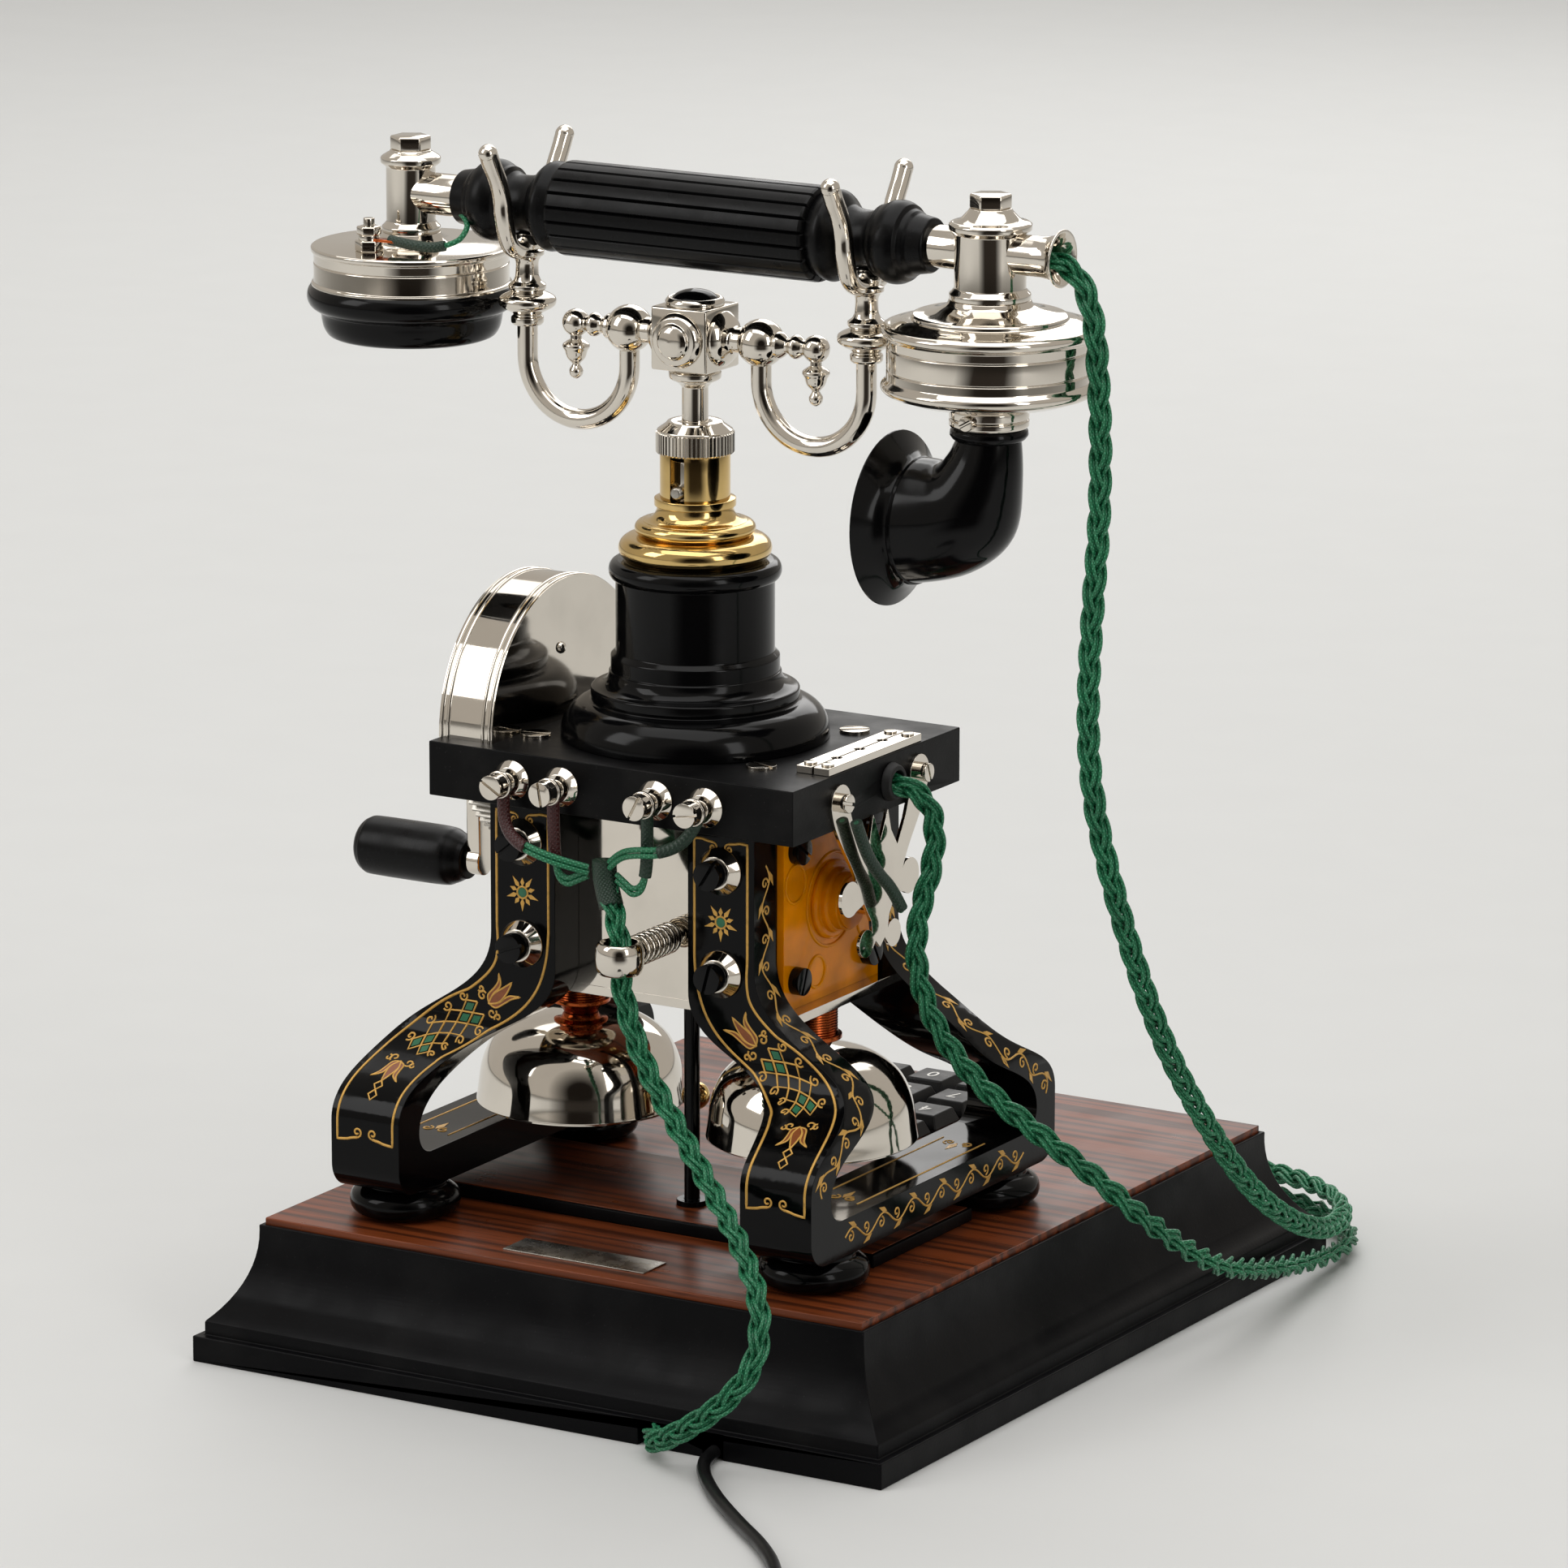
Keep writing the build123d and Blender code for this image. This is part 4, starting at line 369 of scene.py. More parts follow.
def nickel_plate():
    """Polished nickel plate: a warm mirror, a little wavy from hand polishing, with duller handled patches."""
    colour = tuple(colours().nickel)
    material, tree, shader = coating("polished_nickel_plate", colour, Metallic=1.0)
    worn(tree, shader, 14, 0.03, 0.1)
    embossed(tree, shader, patches(tree, 11, detail=1), 0.012)
    stained(tree, shader, patches(tree, 22, 0.5, 0.78, 0, 0.4, 4), colour, shade(colour, 0.75))
    return material


def polished_brass():
    """Lathe-polished brass: yellow mirror with faint brown clouding."""
    colour = tuple(colours().brass)
    material, tree, shader = coating("polished_brass", colour, Metallic=1.0)
    worn(tree, shader, 10, 0.06, 0.16)
    stained(tree, shader, patches(tree, 12, 0.45, 0.8, 0, 0.55, 4), colour, shade(colour, 0.62))
    embossed(tree, shader, patches(tree, 7, detail=1), 0.01)
    return material


def copper_winding():
    """Lacquered copper wire in close turns, with the lacquer browned in patches."""
    colour = tuple(colours().copper)
    material, tree, shader = coating("lacquered_copper_wire", colour, Metallic=1.0)
    worn(tree, shader, 3, 0.16, 0.3)
    stained(tree, shader, patches(tree, 5, 0.4, 0.75, 0, 0.7), colour, shade(colour, 0.45))
    return material


def cut_steel():
    """Machined gear steel: grey, with a fine directional grain and oil-dark clouds."""
    colour = tuple(colours().steel)
    material, tree, shader = coating("machined_steel", colour, Metallic=1.0)
    worn(tree, shader, 5, 0.2, 0.36)
    stained(tree, shader, patches(tree, 8, 0.4, 0.75, 0, 0.7, 5), colour, shade(colour, 0.45))
    embossed(tree, shader, patches(tree, 0.8, detail=2, stretch=(6, 1, 1)), 0.02)
    return material


def blackened_iron():
    """Blackened cast iron: dull, pitted and nearly black."""
    colour = tuple(colours().iron)
    material, tree, shader = coating("blackened_cast_iron", colour, Metallic=0.6)
    worn(tree, shader, 4, 0.45, 0.7)
    embossed(tree, shader, patches(tree, 1.2, detail=4), 0.12)
    return material


def black_enamel():
    """Stoving enamel on cast metal: deep gloss black with a slight orange peel."""
    colour = tuple(colours().enamel)
    material, tree, shader = coating("stoved_black_enamel", colour, Specular_IOR_Level=0.13)
    worn(tree, shader, 18, 0.07, 0.16)
    embossed(tree, shader, patches(tree, 2.4, detail=1), 0.012)
    return material


def polished_ebonite():
    """Turned and polished ebonite: black gloss, with a trace of dust that lifts it in specks."""
    colour = tuple(colours().ebonite)
    material, tree, shader = coating("polished_ebonite", colour, Specular_IOR_Level=0.17)
    worn(tree, shader, 12, 0.07, 0.17)
    stained(tree, shader, patches(tree, 0.9, 0.62, 0.82, 0, 0.3), colour, linear("#1c1d1f"))
    return material


def rubbed_ebonite():
    """Ebonite dulled by many hands: satin black with a soft broad gloss."""
    colour = tuple(colours().ebonite)
    material, tree, shader = coating("hand_worn_ebonite", colour, Specular_IOR_Level=0.15)
    worn(tree, shader, 9, 0.24, 0.38)
    stained(tree, shader, patches(tree, 1.0, 0.58, 0.8, 0, 0.45), colour, linear("#202123"))
    return material


def satin_lacquer(name, colour, dust, gloss):
    """Sprayed satin black on wood: open grain along X shows through, and pale dust lies in specks."""
    material, tree, shader = coating(name, colour, Specular_IOR_Level=gloss)
    worn(tree, shader, 16, 0.3, 0.46)
    embossed(tree, shader, patches(tree, 1.1, detail=4, stretch=(0.06, 1, 1)), 0.03)
    cloudy = stained(tree, shader, patches(tree, 34, 0.5, 0.75, 0, dust, 5), colour, linear("#2e2d2c"))
    stained(tree, shader, patches(tree, 0.8, 0.66, 0.8, 0, dust, 4), cloudy, linear("#4a4947"))
    return material


def plinth_lacquer():
    """Satin lacquer on the plinth's moulded wood, lightly dusted."""
    return satin_lacquer("satin_lacquered_wood", tuple(colours().lacquer), 0.22, 0.08)


def plate_lacquer():
    """Satin black on the top plate, where more dust lies."""
    return satin_lacquer("satin_black_slab", tuple(colours().plate), 0.4, 0.1)


def rosewood_veneer():
    """Polished rosewood veneer: orange-brown ground, dark streaks along X, fine pores and a satin gloss."""
    ground = tuple(colours().veneer)
    streak = tuple(colours().streak)
    material, tree, shader = coating("rosewood_veneer", ground, Specular_IOR_Level=0.25)
    place = add(tree, "ShaderNodeTexCoord").outputs["Object"]
    slope = add(
        tree, "ShaderNodeMapping", {"Vector": place, "Rotation": (0, 0, 0.05), "Scale": (0.04, 1, 1)}
    ).outputs["Vector"]
    bands = add(
        tree, "ShaderNodeTexWave",
        {"Vector": slope, "Scale": 2 * math.pi / (20 * 8 * MM), "Distortion": 11.0, "Detail": 6.0, "Detail Scale": 1.6},
        bands_direction="Y",
    ).outputs["Fac"]
    reach = {"Value": bands, "From Min": 0.3, "From Max": 0.95, "To Max": 0.8}
    dark = add(tree, "ShaderNodeMapRange", reach).outputs["Result"]
    drift = patches(tree, 26, 0.3, 0.7, detail=4, stretch=(0.08, 1, 1))
    warm = stained(tree, shader, drift, shade(ground, 0.6), shade(ground, 1.45))
    wood = stained(tree, shader, dark, warm, streak)
    pores = patches(tree, 1.0, 0.56, 0.7, 0, 0.7, 2, (0.04, 1, 1))
    stained(tree, shader, pores, wood, shade(streak, 0.7))
    worn(tree, shader, 25, 0.26, 0.4)
    embossed(tree, shader, pores, 0.015)
    return material


def amber_plastic():
    """Cast amber plastic: cloudy orange under a gloss skin, with flow marks; its darker clouds are partly the plastic's
    own cloudy tone and partly painted shade that stands in for its depth.
    """
    colour = tuple(colours().amber)
    material, tree, shader = coating(
        "cast_amber_plastic", colour, Roughness=0.16, IOR=1.5, Specular_IOR_Level=0.14, Subsurface_Weight=0.3,
        Subsurface_Scale=0.004, Subsurface_Radius=(1.0, 0.5, 0.1),
    )
    # darker clouds: the cast plastic's cloudy tone, and painted shade that stands in for the depth of the translucent
    # plastic
    stained(tree, shader, patches(tree, 16, 0.3, 0.7), shade(colour, 0.6), colour)
    embossed(tree, shader, patches(tree, 7, detail=1), 0.04)
    return material


def gold_size():
    """Gold laid on enamel by hand: soft metallic lines, rubbed thin in places."""
    colour = tuple(colours().gold)
    material, tree, shader = coating("hand_laid_gold", colour, Metallic=0.25)
    worn(tree, shader, 3, 0.3, 0.5)
    stained(tree, shader, patches(tree, 2.2, 0.52, 0.78, 0, 0.6, 4), colour, shade(colour, 0.42))
    return material


def brushed_enamel(name, colour):
    """Thin enamel in the ornament's fills, brushed, so its tone drifts."""
    material, tree, shader = coating(name, colour, Roughness=0.3)
    stained(tree, shader, patches(tree, 2.5), shade(colour, 0.6), shade(colour, 1.35))
    return material


def leaf_paint():
    """Green enamel of the ornament's leaves and eyes."""
    return brushed_enamel("brushed_green_enamel", tuple(colours().leaf))


def umber_paint():
    """Brown bronze paint of the ornament's tulips."""
    return brushed_enamel("brushed_umber_bronze", tuple(colours().umber))


def woven(name, colour, light, thread, depth):
    """Woven silk-faced cotton: crossed threads, drawn coarse enough to show, with a painted highlight on each thread
    where it is proud, and a soft nap.
    """
    material, tree, shader = coating(name, colour, Roughness=0.42, Sheen_Weight=0.04, Sheen_Roughness=0.4)
    place = add(tree, "ShaderNodeTexCoord").outputs["UV"]
    threads = []
    for turn in (0.85, -0.85):
        slope = add(tree, "ShaderNodeMapping", {"Vector": place, "Rotation": (0, 0, turn)}).outputs["Vector"]
        wave = add(tree, "ShaderNodeTexWave", {"Vector": slope, "Scale": 2 * math.pi / (20 * thread * MM)})
        threads.append(wave.outputs["Fac"])
    weave = add(tree, "ShaderNodeMath", {0: threads[0], 1: threads[1]}, operation="MULTIPLY").outputs["Value"]
    # painted highlight: where the crossed threads peak, the colour turns to the pale highlight colour
    highlight_dots = add(tree, "ShaderNodeMapRange", {"Value": weave, "From Min": 0.35, "From Max": 1.0}).outputs["Result"]
    cloth = stained(tree, shader, highlight_dots, colour, light)
    stained(tree, shader, patches(tree, 14, 0.4, 0.75, 0, 0.45), cloth, shade(colour, 0.5))
    embossed(tree, shader, weave, depth)
    return material


def green_cotton():
    """Green cotton of the plaited cords, with painted highlights on the raised threads."""
    return woven("woven_green_cotton", tuple(colours().cord), tuple(colours().cord_highlight), 1.1, 0.08)


def dark_wrap():
    """Dark green cotton wrapped round the leads' ends."""
    colour = tuple(colours().wrap)
    # painted highlight: twice the wrap's shade, laid on its proud threads
    return woven("wrapped_dark_green_cotton", colour, shade(colour, 2.0), 1.0, 0.16)


def wine_wrap():
    """Dark red cotton wrapped round the leads' ends."""
    colour = tuple(colours().wine)
    # painted highlight: twice the wrap's shade, laid on its proud threads
    return woven("wrapped_wine_cotton", colour, shade(colour, 2.0), 1.0, 0.16)


def black_flex():
    """Black PVC flex: smooth and soft, with a dull gloss and slight waviness from the coil."""
    material, tree, shader = coating("black_pvc_flex", linear("#0c0c0d"))
    worn(tree, shader, 10, 0.28, 0.42)
    embossed(tree, shader, patches(tree, 3, detail=2), 0.03)
    return material


def soft_rubber():
    """Moulded rubber: matt, with a powdery bloom."""
    colour = linear("#0e0e0f")
    material, tree, shader = coating("moulded_rubber", colour)
    worn(tree, shader, 4, 0.55, 0.75)
    stained(tree, shader, patches(tree, 2, 0.5, 0.8, 0, 0.5), colour, linear("#262626"))
    return material


def key_plastic():
    """Moulded ABS key: near black with a fine spark-eroded grain, drawn at 0.5 mm so that it shows."""
    material, tree, shader = coating("moulded_black_abs", linear("#0b0b0c"), Specular_IOR_Level=0.18)
    worn(tree, shader, 6, 0.26, 0.4)
    embossed(tree, shader, patches(tree, 0.5, detail=2), 0.02)
    return material


def key_ink():
    """Tampo-printed white ink: flat, a little thin in places."""
    colour = tuple(colours().ink)
    material, tree, shader = coating("white_tampo_ink", colour, Roughness=0.55)
    stained(tree, shader, patches(tree, 0.7, 0.5, 0.8, 0, 0.3), colour, shade(colour, 0.6))
    return material


def circuit_laminate():
    """Green solder mask on glass laminate, with the weave faintly showing."""
    colour = tuple(colours().board)
    material, tree, shader = coating("green_solder_mask", colour, Roughness=0.35)
    stained(tree, shader, patches(tree, 1.5, detail=2), shade(colour, 0.7), shade(colour, 1.2))
    return material


def studio_paper():
    """Matt backdrop paper with a barely visible tooth; past its near edge, glossy rays see the paper in the unlit
    room's colour, a painted reflection of a dark room.
    """
    colour = tuple(colours().floor)
    material, tree, shader = coating("matt_backdrop_paper", colour, Roughness=0.9, Specular_IOR_Level=0.1)
    paper = stained(tree, shader, patches(tree, 40, detail=2), shade(colour, 0.985), shade(colour, 1.015))
    place = add(tree, "ShaderNodeTexCoord").outputs["Object"]
    way = add(tree, "ShaderNodeVectorMath", {0: place}, operation="NORMALIZE").outputs["Vector"]
    gap = add(tree, "ShaderNodeLightPath").outputs["Is Glossy Ray"]
    for spot, low, high in ((way, 0.8, 0.95), (place, 0.5, 0.9)):
        near = add(tree, "ShaderNodeVectorMath", {0: spot, 1: NEAR_SIDE}, operation="DOT_PRODUCT").outputs["Value"]
        part = add(tree, "ShaderNodeMapRange", {"Value": near, "From Min": low, "From Max": high}).outputs["Result"]
        gap = add(tree, "ShaderNodeMath", {0: gap, 1: part}, operation="MULTIPLY").outputs["Value"]
    # painted reflection: past the near edge, glossy rays see the paper in the dark room's colour
    stained(tree, shader, gap, paper, linear(UNLIT))
    return material


MAKERS = {
    "nickel": nickel_plate, "brass": polished_brass, "copper": copper_winding, "steel": cut_steel,
    "iron": blackened_iron, "enamel": black_enamel, "ebonite": polished_ebonite, "grip": rubbed_ebonite,
    "lacquer": plinth_lacquer, "slab": plate_lacquer, "rosewood": rosewood_veneer, "amber": amber_plastic,
    "gold": gold_size, "leaf": leaf_paint, "umber": umber_paint, "cotton": green_cotton, "wrap": dark_wrap,
    "wine": wine_wrap, "flex": black_flex, "rubber": soft_rubber, "key": key_plastic, "ink": key_ink,
    "board": circuit_laminate, "paper": studio_paper,
}
made = {}


def finish_of(key):
    """The named finish, made once."""
    if key not in made:
        made[key] = MAKERS[key]()
    return made[key]


# Shapes, given in millimetres and built in metres

def at(*xyz):
    """A place given in millimetres, in metres."""
    return Vector(xyz) * MM


def aim(bm, origin, axis):
    """Turn a shape's Z to an axis and carry it to its origin."""
    turn = Vector((0, 0, 1)).rotation_difference(Vector(axis)).to_matrix().to_4x4()
    bmesh.ops.transform(bm, matrix=Matrix.Translation(at(*origin)) @ turn, verts=bm.verts)
    return bm


def smooth(points, steps):
    """Points on a smooth line through the given ones, of any number of coordinates."""
    ends = [points[0], *points, points[-1]]
    line = []
    for before, start, end, after in zip(ends, ends[1:], ends[2:], ends[3:]):
        for step in range(steps):
            t = step / steps
            line.append(tuple(
                0.5 * (2 * b + (c - a) * t + (2 * a - 5 * b + 4 * c - d) * t * t + (3 * b - a - 3 * c + d) * t ** 3)
                for a, b, c, d in zip(before, start, end, after)
            ))
    return [*line, tuple(points[-1])]


def softened(profile, soft, closed):
    """A profile with each sharp corner turned into a small curve, no longer than the runs beside it allow."""
    steps = 3
    least_bend = 0.35
    share = 0.45
    line = []
    for index, corner in enumerate(profile):
        corner = Vector(corner)
        before = Vector(profile[index - 1]) - corner
        after = Vector(profile[(index + 1) % len(profile)]) - corner
        loose = not closed and index in (0, len(profile) - 1)
        if loose or before.length == 0 or after.length == 0 or before.angle(-after) < least_bend:
            line.append(tuple(corner))
            continue
        reach = min(soft, before.length * share, after.length * share)
        start = corner + before.normalized() * reach
        end = corner + after.normalized() * reach
        for step in range(steps + 1):
            t = step / steps
            line.append(tuple(start.lerp(corner, t).lerp(corner.lerp(end, t), t)))
    return line


def turned(profile, origin=(0, 0, 0), axis=(0, 0, 1), soft=0.4, closed=False, steps=None, sweep=1.0):
    """A piece turned from (radius, height) points, its corners eased; a part turn is capped."""
    steps = steps or sizes().turn_steps
    bm = bmesh.new()
    points = [bm.verts.new((radius * MM, 0, height * MM)) for radius, height in softened(profile, soft, closed)]
    pairs = list(zip(points, points[1:]))
    if closed:
        pairs.append((points[-1], points[0]))
    for pair in pairs:
        bm.edges.new(pair)
    whole = sweep >= 1
    bmesh.ops.spin(
        bm, geom=bm.verts[:] + bm.edges[:], cent=(0, 0, 0), axis=(0, 0, 1), angle=2 * math.pi * sweep,
        steps=int(steps * sweep), use_merge=whole,
    )
    bmesh.ops.remove_doubles(bm, verts=bm.verts, dist=1e-7)
    if not whole:
        bmesh.ops.holes_fill(bm, edges=[edge for edge in bm.edges if edge.is_boundary], sides=0)
    bmesh.ops.recalc_face_normals(bm, faces=bm.faces)
    return aim(bm, origin, axis)


def lathed(profile, centre, soft, side=1):
    """A piece turned about an axis along X from (distance, radius) points; centre is the axis's (y, z)."""
    return turned([(radius, place) for place, radius in profile], (0, *centre), (side, 0, 0), soft)


def drum(start, end, radius, soft, steps=48):
    """A round bar with eased ends."""
    axis = Vector(end) - Vector(start)
    profile = [(0, 0), (radius, 0), (radius, axis.length), (0, axis.length)]
    return turned(profile, start, axis, soft, steps=steps)


def ball(centre, radius, steps=48):
    """A ball round a centre."""
    bm = bmesh.new()
    bmesh.ops.create_uvsphere(bm, u_segments=steps, v_segments=steps // 2, radius=radius * MM)
    bmesh.ops.translate(bm, vec=at(*centre), verts=bm.verts)
    return bm


def eased(bm, soft):
    """Sharp edges of a shape rounded."""
    limit = math.radians(30)
    edges = [edge for edge in bm.edges if edge.is_manifold and edge.calc_face_angle() > limit]
    if edges:
        bmesh.ops.bevel(
            bm, geom=edges, offset=soft * MM, offset_type="OFFSET", segments=3, profile=0.5, affect="EDGES",
            material=-1, clamp_overlap=True,
        )
    return bm


def slab(x_span, y_span, z_span, soft):
    """A block from its three spans, with eased edges."""
    spans = (x_span, y_span, z_span)
    bm = bmesh.new()
    bmesh.ops.create_cube(bm, size=1)
    bmesh.ops.scale(bm, vec=at(*[high - low for low, high in spans]), verts=bm.verts)
    bmesh.ops.translate(bm, vec=at(*[(low + high) / 2 for low, high in spans]), verts=bm.verts)
    return eased(bm, soft)


def hexagon(x, y, z, across, height, soft=0.5):
    """A hexagon nut standing on Z."""
    bm = bmesh.new()
    radius = across / 2 / math.cos(math.pi / 6) * MM
    bmesh.ops.create_cone(bm, cap_ends=True, segments=6, radius1=radius, radius2=radius, depth=height * MM)
    bmesh.ops.translate(bm, vec=at(x, y, z + height / 2), verts=bm.verts)
    return eased(bm, soft)


def raised(bm, height):
    """A flat shape given its thickness along its own normal, in millimetres."""
    bm.normal_update()
    lift = bm.faces[:][0].normal * height * MM
    grown = bmesh.ops.extrude_face_region(bm, geom=bm.faces[:], use_keep_orig=True)["geom"]
    bmesh.ops.translate(bm, vec=lift, verts=[part for part in grown if isinstance(part, bmesh.types.BMVert)])
    bmesh.ops.recalc_face_normals(bm, faces=bm.faces)
    return bm


def slotted(origin, axis, radius, height, slot, depth, turn, soft=0.3):
    """A round screw head with its seat at the origin and a slot of a width and depth, turned in degrees."""
    parts = [turned([(0, 0), (radius, 0), (radius, height - depth), (0, height - depth)], soft=0, steps=48)]
    for side in (1, -1):
        half = bmesh.new()
        bmesh.ops.create_circle(half, cap_ends=True, segments=48, radius=radius * MM)
        bmesh.ops.bisect_plane(
            half, geom=half.verts[:] + half.edges[:] + half.faces[:], plane_co=at(0, side * slot / 2, 0),
            plane_no=(0, side, 0), clear_inner=True,
        )
        bmesh.ops.translate(half, vec=at(0, 0, height - depth), verts=half.verts)
        parts.append(eased(raised(half, depth), soft))
    for part in parts:
        bmesh.ops.rotate(part, cent=(0, 0, 0), matrix=Matrix.Rotation(math.radians(turn), 3, "Z"), verts=part.verts)
        aim(part, origin, axis)
    return parts


def ribbed(count, high, low, share, stations, origin, axis):
    """A bar of ribs and grooves through (height, scale) stations; share is the part of each pitch that is rib."""
    per_rib = 8
    bm = bmesh.new()
    bmesh.ops.create_circle(bm, cap_ends=True, segments=count * per_rib, radius=MM)
    for vert in bm.verts:
        angle = math.atan2(vert.co.y, vert.co.x) / (2 * math.pi) * count % 1
        groove = max(0.0, math.cos(math.pi * (angle - 0.5) / (1 - share))) if abs(angle - 0.5) < (1 - share) / 2 else 0
        vert.co *= high - (high - low) * groove ** 0.6
    bmesh.ops.translate(bm, vec=at(0, 0, stations[0][0]), verts=bm.verts)
    bmesh.ops.scale(bm, vec=(stations[0][1], stations[0][1], 1), verts=bm.verts)
    for (foot, small), (top, large) in zip(stations, stations[1:]):
        tip = bm.faces[:][-1] if foot == stations[0][0] else tip
        grown = bmesh.ops.extrude_face_region(bm, geom=[tip], use_keep_orig=foot == stations[0][0])["geom"]
        verts = [part for part in grown if isinstance(part, bmesh.types.BMVert)]
        tip = [part for part in grown if isinstance(part, bmesh.types.BMFace)][0]
        bmesh.ops.translate(bm, vec=at(0, 0, top - foot), verts=verts)
        bmesh.ops.scale(bm, vec=(large / small, large / small, 1), verts=verts)
    bmesh.ops.recalc_face_normals(bm, faces=bm.faces)
    return aim(bm, origin, axis)


def copied(node):
    """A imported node's shape, its loose triangles merged."""
    bm = bmesh.new()
    bm.from_mesh(frame["nodes"][node].data)
    bmesh.ops.remove_doubles(bm, verts=bm.verts, dist=2e-6)
    bmesh.ops.dissolve_limit(bm, angle_limit=math.radians(0.3), verts=bm.verts, edges=bm.edges)
    return bm


def shape_of_curve(curve):
    """A curve's shape, with the curve removed."""
    holder = bpy.data.objects.new("route", curve)
    mesh = bpy.data.meshes.new_from_object(holder)
    bpy.data.objects.remove(holder)
    bpy.data.curves.remove(curve)
    bm = bmesh.new()
    bm.from_mesh(mesh)
    bpy.data.meshes.remove(mesh)
    return bm


def route(points, smoothness=10):
    """Points along a cord's own smooth line, read from a NURBS spline with the route as its control points."""
    curve = bpy.data.curves.new("route", "CURVE")
    curve.dimensions = "3D"
    curve.resolution_u = smoothness
    spline = curve.splines.new("NURBS")
    spline.points.add(len(points) - 1)
    for entry, point in zip(spline.points, points):
        entry.co = (*at(*point), 1)
    spline.order_u = 3
    spline.use_endpoint_u = True
    bm = shape_of_curve(curve)
    line = [vert.co.copy() for vert in bm.verts]
    bm.free()
    return line


def even(line, step):
    """The same line with points a given length apart, in metres."""
    points = [line[0]]
    spare = 0.0
    for before, after in zip(line, line[1:]):
        length = (after - before).length
        while spare + length >= step and length > 0:
            part = (step - spare) / length
            before = before.lerp(after, part)
            points.append(before)
            length = (after - before).length
            spare = 0.0
        spare += length
    points.append(line[-1])
    return points


def length_of(line):
    """A line's length, in the unit of its points."""
    return sum((after - before).length for before, after in zip(line, line[1:]))


def tubes(lines, radius, sides, closed=False):
    """Round tubes of a radius in millimetres along lines of points in metres."""
    curve = bpy.data.curves.new("tube", "CURVE")
    curve.dimensions = "3D"
    curve.bevel_depth = radius * MM
    curve.bevel_resolution = max(1, sides // 2 - 2)
    curve.use_fill_caps = True
    curve.twist_mode = "MINIMUM"
    for line in lines:
        spline = curve.splines.new("POLY")
        spline.points.add(len(line) - 1)
        for entry, point in zip(spline.points, line):
            entry.co = (*point, 1)
        spline.use_cyclic_u = closed
    return shape_of_curve(curve)


def pipe(points, radius, sides, closed=False):
    """A round tube through points in millimetres."""
    return tubes([[at(*point) for point in points]], radius, sides, closed)


def arc(centre, radius, start, end, steps, across=(1, 0, 0), up=(0, 0, 1)):
    """Points on an arc, its angles in degrees from across towards up."""
    centre, across, up = Vector(centre), Vector(across), Vector(up)
    points = []
    for index in range(steps + 1):
        angle = math.radians(start + (end - start) * index / steps)
        points.append(centre + (across * math.cos(angle) + up * math.sin(angle)) * radius)
    return points


def lofted(stations):
    """A skin through rings of (x, z, radius, tilt), closed at both ends; tilt turns the ring from level towards X."""
    segments = 72
    bm = bmesh.new()
    loops = []
    for x, z, radius, tilt in stations:
        verts = bmesh.ops.create_circle(bm, cap_ends=False, segments=segments, radius=radius * MM)["verts"]
        turn = Matrix.Rotation(math.radians(-tilt), 4, "Y")
        bmesh.ops.transform(bm, matrix=Matrix.Translation(at(x, SET_Y, z)) @ turn, verts=verts)
        loops.append(list({edge for vert in verts for edge in vert.link_edges}))
    for low, high in zip(loops, loops[1:]):
        bmesh.ops.bridge_loops(bm, edges=low + high)
    bmesh.ops.holes_fill(bm, edges=[edge for edge in bm.edges if edge.is_boundary], sides=0)
    bmesh.ops.recalc_face_normals(bm, faces=bm.faces)
    return bm


def sleeved(line, radius, sides):
    """A tube of a radius in metres whose UV map is in metres along and round it."""
    bm = tubes([line], radius / MM, sides)
    layer = bm.loops.layers.uv.verify()
    length = length_of(line)
    for face in bm.faces:
        for loop in face.loops:
            along, round_part = loop[layer].uv
            loop[layer].uv = (along * length, round_part * 2 * math.pi * radius)
    return bm


def piece(name, key, parts, nodes=(), body=None, slot=None, sharp=38, edge=0.0):
    """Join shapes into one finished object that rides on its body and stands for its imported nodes."""
    mesh = bpy.data.meshes.new(name)
    whole = bmesh.new()
    for part in parts:
        part.to_mesh(mesh)
        part.free()
        whole.from_mesh(mesh)
    whole.to_mesh(mesh)
    whole.free()
    mesh.materials.clear()
    mesh.materials.append(finish_of(key))
    mesh.polygons.foreach_set("use_smooth", [True] * len(mesh.polygons))
    mesh.set_sharp_from_angle(angle=math.radians(sharp))
    item = bpy.data.objects.new(name, mesh)
    bpy.context.scene.collection.objects.link(item)
    if edge:
        bevel = item.modifiers.new("eased_edges", "BEVEL")
        bevel.width = edge * MM
        bevel.segments = 2
        bevel.profile = 0.5
        bevel.limit_method = "ANGLE"
        bevel.angle_limit = math.radians(sharp)
        bevel.harden_normals = True
    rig.ride(item, body or BODY_OF[nodes[0]])
    if nodes:
        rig.replaces(item, *nodes)
    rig.slot(item, slot or SLOT_OF[nodes[0]])
    return item


